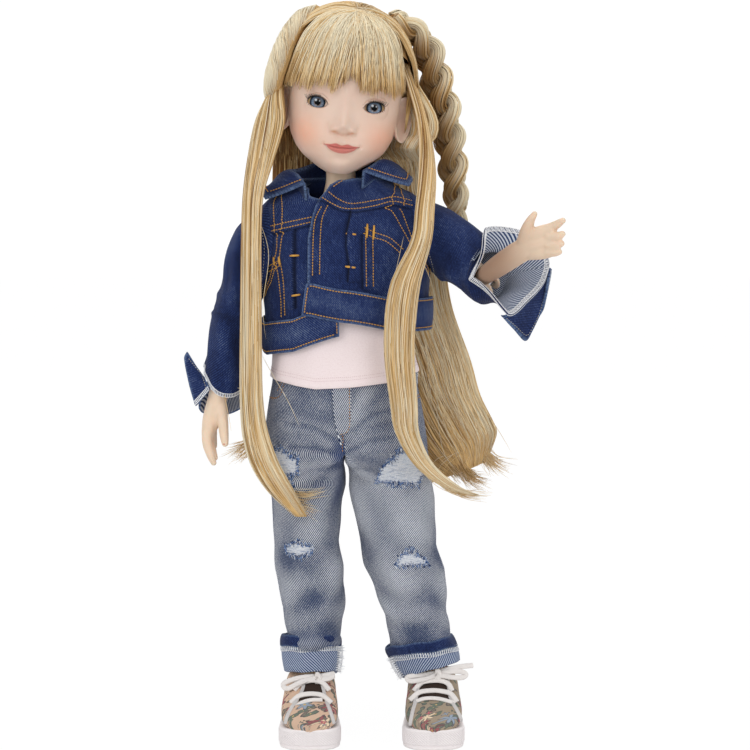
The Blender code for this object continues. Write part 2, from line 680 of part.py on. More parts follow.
def make_braids():
    steps = 22
    lift = HAIR_DEPTH + BRAID_RADIUS * BRAID_SEAT_SHARE
    # Left: from the crown behind the temple, down beside the head and out over the shoulder
    crown_shares = ((0.86, 14), (0.77, 16), (0.62, 20))
    places = [scalp_point(share, angle, lift) for share, angle in crown_shares]
    side, crown = HEAD_HALF_WIDTH + lift + GAP, HEAD_CROWN_RISE
    hang_shares = ((1.07, 0.30, 0.2), (1.2, 0.32, -0.02), (1.31, 0.36, -0.2), (1.43, 0.44, -0.36))
    places += [in_head(x * side, y * HEAD_BACK, z * crown) for x, y, z in hang_shares]
    route = smooth_route(places, steps)
    turn = 2 * math.pi * BRAID_TURNS / (steps - 1)
    swell = [BRAID_RADIUS + BRAID_SWELL * math.sin(turn * k) for k in range(steps)]
    braid = list(zip(route, swell))
    seat_on_cap(strand("braid_left", route, swell, [size * BRAID_FLAT_SHARE for size in swell], "blond_hair"),
                "cut_braid_seat_left")
    # Right: a twist laid along the edge of the cap, from the crown to above the ear
    steps = 12
    lift = HAIR_DEPTH + TWIST_RADIUS * BRAID_SEAT_SHARE
    twist_shares = ((0.92, 250), (0.86, 228), (0.79, 209), (0.71, 194), (0.63, 176), (0.56, 160))
    places = [scalp_point(share, angle, lift) for share, angle in twist_shares]
    turn = 2 * math.pi * TWIST_TURNS / (steps - 1)
    swell = [TWIST_RADIUS + TWIST_SWELL * math.sin(turn * k) for k in range(steps)]
    route = smooth_route(places, steps)
    twist = list(zip(route, swell))
    seat_on_cap(strand("braid_right", route, swell, [size * BRAID_FLAT_SHARE for size in swell], "blond_hair"),
                "cut_braid_seat_right")
    return {"left": braid, "right": twist}


def make_long_hair(braids):
    # Tops lie on the scalp; below, places are shares of the shoulder span, the body's depth and the hair's drop
    wide, deep, drop = SHOULDER_HALF_SPAN, TRUNK_HALF_DEPTH, BACK_HAIR_HIGH - BACK_HAIR_LOW
    top_shares = {"right": ((0.52, 189), (0.44, 191), (0.36, 194)), "left": ((0.62, -8), (0.5, -11), (0.38, -15))}
    lock_shares = {
        "right": ((-0.99, -0.66, 0.86), (-1.06, -0.9, 0.76), (-1.14, -1.15, 0.62), (-1.16, -1.24, 0.42),
                  (-1.15, -1.38, 0.25), (-1.08, -1.5, 0.10), (-0.7, -1.55, -0.03)),
        "left": ((1.08, -0.9, 0.80), (1.04, -1.24, 0.62), (0.83, -1.5, 0.44), (0.75, -1.62, 0.25),
                 (0.95, -1.65, 0.12), (1.6, -1.5, 0.0)),
    }
    width_shares = (0.5, 1.3, 1.3, 1.35, 1.2, 1.05, 1.1, 1.1, 0.35)
    count = 15
    for side, shares in lock_shares.items():
        lift = HAIR_DEPTH + LOCK_HALF_DEPTH * BRAID_SEAT_SHARE
        points = [scalp_point(share, angle, lift) for share, angle in top_shares[side]]
        points += [body_point(x * wide, y * deep, BACK_HAIR_LOW + z * drop) for x, y, z in shares]
        scale = spread(width_shares, count)
        outward = Vector((1 if side == "left" else -1, 0, 0))
        lock = strand("hair_front_" + side, smooth_route(points, count), [LOCK_HALF_WIDTH * s for s in scale],
                      [LOCK_HALF_DEPTH * s for s in scale], "blond_hair", turned=outward)
        seat_on_cap(lock, "cut_lock_seat_" + side)
    # Back: it hangs behind the jacket with its lower end swept to the doll's left, and hugs the cap above the neck.
    # Rows of the hanging part: height, shift across and half width; of the part on the head: height and thickness
    sweep_shares = ((0, 0.75, 0.42), (0.06, 0.70, 0.62), (0.2, 0.5, 0.86), (0.4, 0.25, 0.96), (0.6, 0.08, 0.94),
                    (0.77, 0.02, 0.92), (0.82, 0, 0.93))
    hug_shares = ((0.2, 0.9), (0.3, 0.8), (0.42, 0.62), (0.55, 0.4), (0.68, 0.1))
    rings = []
    for share, shift, width in sweep_shares:
        centre = body_point(shift * wide, BACK_HAIR_Y, BACK_HAIR_LOW + share * drop)
        rings.append(ring(centre, Vector((1, 0, 0)), Vector((0, 1, 0)), BACK_HAIR_HALF_WIDTH * width,
                          BACK_HAIR_HALF_DEPTH, power=2.6))
    for share, thickness in hug_shares:
        rise = head_rise(share)
        half_width, _, back = lookup(head_rows(), rise)
        over = HAIR_DEPTH + GAP + BACK_HAIR_HALF_DEPTH * thickness
        rings.append(ring(in_head(0, 0, rise), HEAD_TURN @ Vector((1, 0, 0)), Vector((0, 1, 0)), half_width + over,
                          BACK_HAIR_WRAP * (1 - share), back + over, power=2.15))
    back = loft("hair_back", rings, "blond_hair")
    seat_on_cap(back, "cut_back_of_head")
    # A channel for each braid that lies over it
    for side, braid in braids.items():
        points, sizes = [point for point, _ in braid], [size + GAP for _, size in braid]
        beyond = points[-1] + (points[-1] - points[-2]).normalized() * OVERRUN
        sizes.append(sizes[-1])
        cut(back, strand("cut_channel_" + side, points + [beyond], sizes, sizes, None))
    back.modifiers.new("Flat faces", "TRIANGULATE")


def make_shirt():
    heights = [row[0] for row in SHIRT_ROWS]
    outer = [level_ring(SHIRT_ROWS, z) for z in heights]
    inner = [level_ring(SHIRT_ROWS, z, -KNIT_WALL) for z in heights]
    shirt = sleeve("tshirt", outer, inner, "pink_knit")
    for side in ("left", "right"):
        sign = 1 if side == "left" else -1
        start = shoulder(side) - Vector((sign, 0, 0)) * (SHOULDER_HALF_SPAN - SHOULDER_PIN_SEAT)
        tool = rod("cut_shirt_armhole_" + side, start, shoulder(side), UPPER_ARM_RADIUS + OVERRUN, None)
        cut(shirt, tool)


def hem_height(angle):
    """The jacket's lower edge, higher on the side of the raised arm. Angles run from the left side, front negative."""
    rows = [(OVERLAP_LEFT_ANGLE, JACKET_HEM_FRONT_LEFT), (-60, JACKET_HEM_LEFT), (0, JACKET_HEM_LEFT),
            (180, JACKET_HEM_RIGHT), (220, JACKET_HEM), (360 + OVERLAP_RIGHT_ANGLE, JACKET_HEM_FRONT_RIGHT)]
    return lookup(rows, angle)[0]


def body_levels(low):
    """Heights of a jacket panel's rows: evenly up to the armhole's middle, then at the table's own heights."""
    fixed = [row[0] for row in JACKET_ROWS if row[0] >= ARMHOLE_HEIGHT - ARMHOLE_HALF_HEIGHT / 2]
    return [low, (low + fixed[0]) / 2] + fixed


def band_levels(low):
    return [low, low + WAISTBAND_HEIGHT / 2, low + WAISTBAND_HEIGHT]


def jacket_panel(name, start, end, low, levels, layer, wall):
    """Part of the jacket's surface between two angles. Its lower edge and its layer follow the angle."""
    columns = max(2, int(abs(end - start) / PANEL_STEP))
    outer, inner = [], []
    for r in range(len(levels(low(start)))):
        rows = ([], [])
        for k in range(columns + 1):
            angle = start + (end - start) * k / columns
            height = levels(low(angle))[r]
            extra = layer(angle)
            rows[0].append(jacket_point(height, angle, extra))
            rows[1].append(jacket_point(height, angle, extra - wall))
        outer.append(rows[0])
        inner.append(rows[1])
    return patch(name, outer, inner, "blue_denim")


def front_layer(angle):
    """The left front lies over the right one where they overlap."""
    lap = HEM_WALL + 2 * GAP
    return lap if angle < OVERLAP_RIGHT_ANGLE + 12 else lap * max(0, 1 - (angle - OVERLAP_RIGHT_ANGLE - 12) / 20)


def make_jacket():
    body_low = lambda angle: hem_height(angle) + WAISTBAND_HEIGHT + GAP
    flat = lambda angle: 0.0
    right_start = 180 + SEAM_ANGLE
    right_end = 360 + OVERLAP_RIGHT_ANGLE
    panels = [
        jacket_panel("jacket_front_left", OVERLAP_LEFT_ANGLE, -SEAM_ANGLE, body_low, body_levels, front_layer, DENIM_WALL),
        jacket_panel("jacket_back", 0, 180, body_low, body_levels, flat, DENIM_WALL),
        jacket_panel("jacket_front_right", right_start, right_end, body_low, body_levels, flat, DENIM_WALL),
    ]
    jacket_panel("waistband_left", OVERLAP_LEFT_ANGLE, 90, hem_height, band_levels, front_layer, HEM_WALL)
    jacket_panel("waistband_right", 90 + SEAM_ANGLE, right_end, hem_height, band_levels, flat, HEM_WALL)
    for side in ("left", "right"):
        sign = 1 if side == "left" else -1
        rings = []
        for across in (JACKET_HALF_WIDTH - ARMHOLE_INSET, JACKET_HALF_WIDTH + ARMHOLE_INSET):
            centre = body_point(JACKET_SHIFT + sign * across, 0, ARMHOLE_HEIGHT)
            rings.append(ring(centre, Vector((0, 1, 0)), Vector((0, 0, 1)), ARMHOLE_HALF_DEPTH,
                              ARMHOLE_HALF_HEIGHT, sides=SIDES))
        tool = loft("cut_armhole_" + side, rings, None)
        for panel in panels:
            cut(panel, tool)


def make_collar():
    """Fallen collar: leaves that lie on the shoulders, and a stand that is lowest at the throat."""
    low_shares = ((-80, 0.955), (-66, 0.9), (-52, 0.855), (-34, 0.88), (-8, 0.925), (30, 0.93), (90, 0.87),
                  (150, 0.93), (188, 0.925), (214, 0.88), (234, 0.855), (248, 0.9), (264, 0.955))
    rise_shares = ((-80, 0.1), (-50, 0.2), (-15, 0.8), (20, 1), (60, 0.4), (90, 0.1), (120, 0.4), (160, 1),
                   (195, 0.8), (230, 0.2), (260, 0.1))
    start, end = -78, 258
    fixed = [row[0] for row in JACKET_ROWS if row[0] > JACKET_HEM + 0.856 * (JACKET_TOP - JACKET_HEM)]
    lap = HEM_WALL + 4 * GAP
    outer, inner = [], []
    for r in range(len(fixed) + 2):
        rows = ([], [])
        for k in range(COLLAR_COLUMNS + 1):
            angle = start + (end - start) * k / COLLAR_COLUMNS
            low = JACKET_HEM + lookup(low_shares, angle)[0] * (JACKET_TOP - JACKET_HEM)
            if r <= len(fixed):
                height = max(([low] + fixed)[r], low + r * GAP)
            else:
                height = JACKET_TOP + COLLAR_RISE * lookup(rise_shares, angle)[0] + len(fixed) * GAP
            rows[0].append(jacket_point(height, angle, lap + COLLAR_WALL))
            rows[1].append(jacket_point(height, angle, lap))
        outer.append(rows[0])
        inner.append(rows[1])
    patch("jacket_collar", outer, inner, "blue_denim")


def make_arm(side):
    sign = 1 if side == "left" else -1
    top, elbow, wrist, tip = arm_points(side)
    bone, lower, hand = (elbow - top).normalized(), (wrist - elbow).normalized(), (tip - wrist).normalized()
    axis = elbow_axis(side)
    # Shoulder pin: shaft in the torso, ball in the arm's cup
    inward = Vector((-sign, 0, 0))
    pin = rod("shoulder_pin_" + side, top + inward * (SHOULDER_HALF_SPAN - SHOULDER_PIN_SEAT), top,
              SHOULDER_PIN_RADIUS, "inner_plastic")
    cut(pin, ball("form_shoulder_ball_" + side, top, (SHOULDER_BALL,) * 3, None), "UNION")
    # Upper arm: starts below the ball's middle and ends in a fork
    across, along = frame_along(bone, axis)
    rings = []
    upper_arm_shares = ((0.05, 0.9), (0.18, 1), (0.45, 0.97), (0.7, 0.86), (0.86, 0.82))
    for share, radius in upper_arm_shares:
        size = UPPER_ARM_RADIUS * radius
        rings.append(ring(top + bone * UPPER_ARM_LENGTH * share, across, along, size, size, sides=LIMB_SIDES))
    end = top + bone * (UPPER_ARM_LENGTH + ELBOW_RADIUS * 0.95)
    elbow_end_shares = ((1, 0.96), (0.5, 0.86), (0, 0.45))
    for share, size in elbow_end_shares:
        place = end - bone * ELBOW_RADIUS * share
        rings.append(ring(place, across, along, ELBOW_RADIUS * size, ELBOW_RADIUS * size, sides=LIMB_SIDES))
    arm = loft("upper_arm_" + side, rings, "vinyl_skin")
    cut(arm, ball("cut_arm_cup_" + side, top, (SHOULDER_BALL + GAP,) * 3, None))
    # Fork slot, open to the end, and the pin's bore
    slot = rod("cut_elbow_slot_" + side, elbow - axis * (ELBOW_TONGUE / 2 + GAP), elbow + axis * (ELBOW_TONGUE / 2 + GAP),
               ELBOW_RADIUS + 3 * GAP + OVERRUN / 2, None, sides=SIDES)
    cut(arm, slot)
    reach = ELBOW_RADIUS * 0.8
    rod("elbow_pin_" + side, elbow - axis * reach, elbow + axis * reach, ELBOW_PIN_RADIUS, "steel_pin",
        sides=SMALL_SIDES)
    bore = rod("cut_elbow_bore_" + side, elbow - axis * (reach + GAP), elbow + axis * (reach + GAP),
               ELBOW_PIN_RADIUS + GAP, None, sides=SMALL_SIDES)
    cut(arm, bore)
    # Forearm: tongue, arm and hand in one
    across, along = frame_along(lower, axis)
    rings = []
    start = ELBOW_RADIUS + 2 * PIVOT_GAP
    forearm_shares = ((0, 0.9), (0.12, 1), (0.4, 0.96), (0.75, 0.78))
    for share, radius in forearm_shares:
        place = elbow + lower * (start + (FOREARM_LENGTH - start) * share)
        rings.append(ring(place, across, along, FOREARM_RADIUS * radius, FOREARM_RADIUS * radius, sides=LIMB_SIDES))
    rings.append(ring(wrist, across, along, WRIST_RADIUS, WRIST_RADIUS, sides=LIMB_SIDES))
    forearm = loft("forearm_" + side, rings, "vinyl_skin")
    tongue = rod("form_elbow_tongue_" + side, elbow - axis * ELBOW_TONGUE / 2, elbow + axis * ELBOW_TONGUE / 2,
                 ELBOW_RADIUS * 0.86, None, sides=SIDES)
    cut(forearm, tongue, "UNION")
    neck_end = elbow + lower * (start + OVERRUN)
    thick, wide = ELBOW_TONGUE * 0.46, ELBOW_RADIUS * 0.78
    tab = loft("form_elbow_tab_" + side, [[place + axis * (a * thick) + across * (b * wide)
               for a, b in ((-1, -1), (-1, 1), (1, 1), (1, -1))] for place in (elbow, neck_end)], None)
    cut(forearm, tab, "UNION")
    cut(forearm, bore)
    make_hand(forearm, side, wrist, hand)


def make_hand(forearm, side, wrist, hand):
    sign = 1 if side == "left" else -1
    # The palm faces the body on the right and away from the viewer on the left; `width` points to the thumb
    hint = Vector((0, -1, 0)) if side == "right" else Vector((-0.62, 0.1, 0.78))
    normal, width = frame_along(hand, hint)
    palm = []
    palm_shares = ((-0.06, 0.6, 1.0), (0.12, 0.72, 1.08), (0.3, 0.96, 1.05), (0.46, 1, 0.9), (0.52, 0.9, 0.6))
    for share, half, thick in palm_shares:
        place = wrist + hand * HAND_LENGTH * share
        palm.append(ring(place, width, normal, PALM_HALF_WIDTH * half, PALM_HALF_DEPTH * thick, sides=LIMB_SIDES))
    cut(forearm, loft("form_palm_" + side, palm, None), "UNION")
    fan_shares = ((0.75, 0.1, 0.94), (0.26, 0.03, 1.0), (-0.25, -0.04, 0.95), (-0.73, -0.1, 0.86))
    for k, (across, splay, reach) in enumerate(fan_shares):
        start = wrist + hand * HAND_LENGTH * 0.44 + width * PALM_HALF_WIDTH * across * 0.92
        end = start + (hand + width * splay).normalized() * HAND_LENGTH * (reach - 0.44 - 0.06)
        rings = capsule_rings(start, end, FINGER_RADIUS, FINGER_RADIUS * 0.8)
        cut(forearm, loft(f"form_finger_{side}_{k}", rings, None), "UNION")
    start = wrist + hand * HAND_LENGTH * 0.2 + width * PALM_HALF_WIDTH * 0.55
    end = start + (hand * 0.62 + width * 0.66 + normal * 0.2 * sign).normalized() * HAND_LENGTH * 0.36
    rings = capsule_rings(start, end, THUMB_RADIUS, THUMB_RADIUS * 0.8)
    cut(forearm, loft("form_thumb_" + side, rings, None), "UNION")


def cloth_tube(name, stations, wall, material, sides=SIDES):
    """Cloth tube: each station gives its centre, the way it runs, its depth hint, half width and half depth."""
    outer, inner = [], []
    for centre, way, hint, half_width, half_depth in stations:
        across, along = frame_along(way, hint)
        outer.append(ring(centre, across, along, half_width, half_depth, sides=sides))
        inner.append(ring(centre, across, along, half_width - wall, half_depth - wall, sides=sides))
    return sleeve(name, outer, inner, material)


def make_sleeve(side):
    sign = 1 if side == "left" else -1
    top, elbow, wrist, _ = arm_points(side)
    bone, lower = (elbow - top).normalized(), (wrist - elbow).normalized()
    out, front, hang = Vector((sign, 0, 0)), Vector((0, 1, 0)), Vector((0, 0, -1))
    wide, deep = SLEEVE_HALF_WIDTH[side], SLEEVE_HALF_DEPTH[side]
    armhole = body_point(JACKET_SHIFT + sign * (JACKET_HALF_WIDTH + SLEEVE_SEAT[side]), 0, ARMHOLE_HEIGHT)
    half_high, half_deep = ARMHOLE_HALF_HEIGHT + DENIM_WALL, ARMHOLE_HALF_DEPTH + DENIM_WALL
    bend = (bone + lower).normalized()
    # The hanging right sleeve keeps clear of the jacket's side, so its middle lies further out than the arm's
    shift = out * (UPPER_ARM_RADIUS * (0.2 if side == "right" else 0))
    # Along the arm, the turn in degrees from outward to downward, and the size
    sleeve_shares = {"right": ((0.2, 15, 0.51), (0.68, 55, 1.03)), "left": ((0.28, 12, 0.51), (0.64, 34, 1.08))}
    first, second = sleeve_shares[side]
    turned = [(out * math.cos(math.radians(a)) + hang * math.sin(math.radians(a))) for _, a, _ in (first, second)]
    stations = [
        (armhole, out, front, half_high, half_deep),
        (armhole.lerp(elbow, first[0]) + shift * 1.8, turned[0], front, (half_high + wide) * first[2], half_deep),
        (armhole.lerp(elbow, second[0]) + shift * 0.6, turned[1], front, wide * second[2], (deep + half_deep) / 2),
        (elbow - bend * GAP + shift * 0.4, bend, front, wide, deep),
    ]
    cloth_tube("sleeve_upper_" + side, stations, DENIM_WALL, "blue_denim")
    cuff_start = FOREARM_LENGTH * 0.5
    drop = CUFF_DROP[side]
    stations = [
        (elbow + bend * GAP + shift * 0.4, bend, front, wide, deep),
        (elbow + lower * cuff_start * 0.5 + hang * drop * 0.15, (bend + lower * 2).normalized(), front, wide, deep),
        (elbow + lower * cuff_start + hang * drop * 0.4, lower, front, wide, deep),
    ]
    cloth_tube("sleeve_lower_" + side, stations, DENIM_WALL, "blue_denim")
    start = elbow + lower * (cuff_start + 2 * GAP) + hang * drop * 0.4
    end = elbow + lower * (cuff_start + CUFF_LENGTH[side]) + hang * drop
    rim_wide, rim_deep = CUFF_HALF_WIDTH[side], CUFF_HALF_DEPTH[side]
    stations = [
        (start, lower, front, wide, deep),
        (start.lerp(end, 0.5), lower, front, (wide + rim_wide) * 0.52, (deep + rim_deep) * 0.52),
        (end, lower, front, rim_wide, rim_deep),
    ]
    cloth_tube("cuff_" + side, stations, DENIM_WALL, "blue_denim")


def make_leg(side):
    top, knee, ankle = leg_points(side)
    way = (knee - top).normalized()
    side_axis = Vector((1, 0, 0))
    axis = (side_axis - way * side_axis.dot(way)).normalized()
    across, along = axis, way.cross(axis).normalized() * -1
    ball("hip_link_" + side, top, (HIP_BALL,) * 3, "inner_plastic")
    rings = []
    thigh_shares = ((0.045, 0.8), (0.12, 0.96), (0.3, 1), (0.6, 0.86), (0.82, 0.68))
    for share, size in thigh_shares:
        place = top + way * THIGH_LENGTH * share
        rings.append(ring(place, across, along, THIGH_RADIUS * size, THIGH_RADIUS * size, sides=LIMB_SIDES))
    end = knee + way * KNEE_RADIUS * 0.95
    knee_end_shares = ((1, 0.98), (0.5, 0.86), (0, 0.45))
    for share, size in knee_end_shares:
        place = end - way * KNEE_RADIUS * share
        rings.append(ring(place, across, along, KNEE_RADIUS * size, KNEE_RADIUS * size, sides=LIMB_SIDES))
    thigh = loft("thigh_" + side, rings, "vinyl_skin")
    cut(thigh, ball("cut_hip_cup_" + side, top, (HIP_BALL + PIVOT_GAP + GAP,) * 3, None))
    slot = rod("cut_knee_slot_" + side, knee - axis * (KNEE_TONGUE / 2 + GAP), knee + axis * (KNEE_TONGUE / 2 + GAP),
               KNEE_RADIUS + 3 * GAP + OVERRUN / 2, None, sides=SIDES)
    cut(thigh, slot)
    reach = KNEE_RADIUS * 0.8
    rod("knee_pin_" + side, knee - axis * reach, knee + axis * reach, KNEE_PIN_RADIUS, "steel_pin", sides=SMALL_SIDES)
    bore = rod("cut_knee_bore_" + side, knee - axis * (reach + GAP), knee + axis * (reach + GAP),
               KNEE_PIN_RADIUS + GAP, None, sides=SMALL_SIDES)
    cut(thigh, bore)
    start = KNEE_RADIUS + 2 * PIVOT_GAP
    rings = []
    shin_shares = ((0, 0.9), (0.15, 1), (0.4, 0.98), (0.75, 0.8))
    for share, size in shin_shares:
        place = knee + way * (start + (SHIN_LENGTH - start) * share)
        rings.append(ring(place, across, along, SHIN_RADIUS * size, SHIN_RADIUS * size, sides=LIMB_SIDES))
    for place in (ankle, ankle + way * ankle_reach(side)):
        rings.append(ring(place, across, along, ANKLE_RADIUS, ANKLE_RADIUS, sides=LIMB_SIDES))
    shin = loft("lower_leg_" + side, rings, "vinyl_skin")
    tongue = rod("form_knee_tongue_" + side, knee - axis * KNEE_TONGUE / 2, knee + axis * KNEE_TONGUE / 2,
                 KNEE_RADIUS * 0.86, None, sides=SIDES)
    cut(shin, tongue, "UNION")
    neck_end = knee + way * (start + OVERRUN)
    thick, wide = KNEE_TONGUE * 0.46, KNEE_RADIUS * 0.78
    tab = loft("form_knee_tab_" + side, [[place + axis * (a * thick) + along * (b * wide)
               for a, b in ((-1, -1), (-1, 1), (1, 1), (1, -1))] for place in (knee, neck_end)], None)
    cut(shin, tab, "UNION")
    cut(shin, loft("form_foot_" + side, foot_rings(side, 0.0), None), "UNION")
    cut(shin, bore)
    make_shoe(side)


def ankle_reach(side):
    """How far the shin's lower end runs on past the ankle, so that it always ends inside the foot."""
    knee, ankle = leg_points(side)[1:]
    core = SOLE_HEIGHT + FOOT_CORE_SHARE * (UPPER_HEIGHT - SOLE_HEIGHT)
    return max(ANKLE_RADIUS * 0.7, (ankle.z - core) * (ankle - knee).length / (knee.z - ankle.z))


FOOT_SHARES = (  # along from the heel, half width, bottom, top: shares of length, half width and upper height
    (0.05, 0.45, 0.30, 0.5), (0.12, 0.66, 0.2, 0.7), (0.29, 0.72, 0.18, 0.84), (0.45, 0.76, 0.18, 0.72),
    (0.6, 0.84, 0.18, 0.54), (0.75, 0.84, 0.18, 0.42), (0.87, 0.7, 0.18, 0.36), (0.94, 0.42, 0.2, 0.28))


def shoe_middle(side):
    ankle = leg_points(side)[2]
    return Vector((ankle.x, BODY_Y, 0))


def foot_rings(side, grow):
    """Rings across the foot from heel to toe."""
    middle = shoe_middle(side)
    rings = []
    for along, half, low, high in FOOT_SHARES:
        y = SHOE_HEEL_BACK - along * SHOE_LENGTH
        bottom = SOLE_HEIGHT + low * (UPPER_HEIGHT - SOLE_HEIGHT) * 0.5
        top = SOLE_HEIGHT + high * (UPPER_HEIGHT - SOLE_HEIGHT)
        centre = middle + Vector((0, y, (bottom + top) / 2))
        rings.append(ring(centre, Vector((1, 0, 0)), Vector((0, 0, 1)), SHOE_HALF_WIDTH * half + grow,
                          (top - bottom) / 2 + grow, sides=LIMB_SIDES, power=2.3))
    first, last = rings[0], rings[-1]
    rings.insert(0, [p + Vector((0, grow, 0)) for p in first])
    rings.append([p - Vector((0, grow, 0)) for p in last])
    return rings if grow else rings[1:-1]


def shoe_outline(side, height, grow=0.0, sides=SIDES):
    """Level outline of the shoe: round heel, wider ball, rounded toe."""
    middle = shoe_middle(side)
    inner = -1 if side == "left" else 1
    points = []
    for k in range(sides):
        angle = 2 * math.pi * k / sides
        c, s = math.cos(angle), math.sin(angle)
        ahead = (1 - s) / 2
        half = SHOE_HALF_WIDTH * (0.82 + 0.18 * math.sin(math.pi * min(1, ahead * 1.25) * 0.5)) + grow
        x = half * math.copysign(abs(c) ** 0.8, c) + inner * SHOE_HALF_WIDTH * 0.06 * ahead
        y = SHOE_HEEL_BACK - SHOE_LENGTH / 2 + (SHOE_LENGTH / 2 + grow) * s
        points.append(middle + Vector((x, y, height)))
    return points


def make_shoe(side):
    middle = shoe_middle(side)
    loft("shoe_sole_" + side, [shoe_outline(side, 0, -GAP), shoe_outline(side, SOLE_HEIGHT * 0.12),
                               shoe_outline(side, SOLE_HEIGHT * 0.85), shoe_outline(side, SOLE_HEIGHT, -GAP)],
         "white_rubber")
    # Upper: rings across the shoe, from heel to toe, standing on the sole
    profile_shares = ((0.015, 0.5, 0.8), (0.05, 0.72, 0.97), (0.15, 0.82, 1.0), (0.3, 0.86, 1.0), (0.42, 0.88, 0.9),
               (0.56, 0.92, 0.72), (0.7, 0.93, 0.56), (0.83, 0.86, 0.47), (0.93, 0.68, 0.38), (0.975, 0.42, 0.28))
    rings = []
    floor = SOLE_HEIGHT + GAP
    for along, half, high in profile_shares:
        y = SHOE_HEEL_BACK - along * SHOE_LENGTH
        top = floor + high * (UPPER_HEIGHT - floor)
        row = []
        for k in range(LIMB_SIDES):
            angle = 2 * math.pi * k / LIMB_SIDES
            x, z = oval(angle, SHOE_HALF_WIDTH * half, (top - floor) / 2, (top - floor) / 2, 2.6)
            row.append(middle + Vector((x, y, (top + floor) / 2 + z)))
        rings.append(row)
    upper = loft("shoe_upper_" + side, rings, "printed_canvas")
    cut(upper, loft("cut_foot_" + side, foot_rings(side, FOOT_GAP), None))
    ankle = leg_points(side)[2]
    knee = leg_points(side)[1]
    way = (knee - ankle).normalized()
    start = ankle - way * (ankle_reach(side) + 3 * GAP)
    cut(upper, rod("cut_ankle_" + side, start, ankle + way * UPPER_HEIGHT, ANKLE_RADIUS + 3 * GAP, None,
                   ANKLE_RADIUS * 1.5, SIDES))
    make_tongue_and_lace(side)


def instep_point(side, share, lift):
    """A place on the top line of the shoe, from the ankle's front to the toe cap, raised by `lift`."""
    middle = shoe_middle(side)
    high = lookup(INSTEP_SHARES, share)[0]
    floor = SOLE_HEIGHT + GAP
    ankle_front, toe_cap = -ANKLE_RADIUS, SHOE_HEEL_BACK - TOE_CAP_SHARE * SHOE_LENGTH
    y = ankle_front + (toe_cap - ankle_front) * share
    return middle + Vector((0, y, floor + high * (UPPER_HEIGHT - floor) + lift))


def make_tongue_and_lace(side):
    # Tongue: a strip over the instep, raised off the upper
    outer, inner = [], []
    steps = 4
    for k in range(steps + 1):
        share = TONGUE_TOP_SHARE + (1 - TONGUE_TOP_SHARE) * k / steps
        for row, lift in ((outer, 2 * GAP + TONGUE_THICKNESS), (inner, 2 * GAP)):
            centre = instep_point(side, share, lift)
            row.append([centre + Vector((x * SHOE_HALF_WIDTH * 0.3, 0, 0)) for x in (-1, -0.5, 0, 0.5, 1)])
    patch("shoe_tongue_" + side, outer, inner, "brown_cloth")
    # Lace: three rows joined by a run on each side, with the bow's knot on top
    start = 3 * GAP + TONGUE_THICKNESS + LACE_THICKNESS / 2
    half = SHOE_HALF_WIDTH * 0.42
    first, last = instep_point(side, LACE_ROW_SHARES[0], start), instep_point(side, LACE_ROW_SHARES[-1], start)
    slope = (last - first).normalized()
    rise = Vector((1, 0, 0)).cross(slope) * -1
    bars = []
    for share in LACE_ROW_SHARES:
        centre = instep_point(side, share, start)
        rings = []
        for x in (-half, half):
            rings.append([centre + Vector((x, 0, 0)) + slope * (a * LACE_WIDTH / 2) + rise * (b * LACE_THICKNESS / 2)
                          for a, b in ((-1, -1), (1, -1), (1, 1), (-1, 1))])
        bars.append(loft(f"form_lace_{side}_{share}", rings, None))
    for sign in (-1, 1):
        shift = Vector((sign * (half - LACE_THICKNESS), 0, 0))
        bars.append(rod(f"form_lace_run_{side}_{sign}", first + shift, last + shift, LACE_THICKNESS * 0.6, None,
                        sides=SMALL_SIDES))
    knot = first + Vector((0, 0, LACE_WIDTH * 0.5))
    lace = ball("shoe_lace_" + side, knot, (LACE_WIDTH, LACE_WIDTH * 0.8, LACE_WIDTH * 0.5), "white_lace",
                sides=SMALL_SIDES, cuts=6)
    for bar in bars:
        cut(lace, bar, "UNION")
    for sign in (-1, 1):
        end = knot + Vector((sign * SHOE_HALF_WIDTH * 0.85, -LACE_WIDTH * 1.4, -LACE_WIDTH))
        loop = rod(f"form_bow_{side}_{sign}", knot, end, LACE_WIDTH * 0.4, None, LACE_WIDTH * 0.55, SMALL_SIDES)
        cut(lace, loop, "UNION")


def make_jeans():
    heights = [row[0] for row in JEANS_ROWS]
    outer = [level_ring(JEANS_ROWS, z) for z in heights]
    inner = [level_ring(JEANS_ROWS, z, -DENIM_WALL) for z in heights]
    sleeve("jeans_seat", outer, inner, "washed_denim")
    for side in ("left", "right"):
        make_jeans_leg(side)


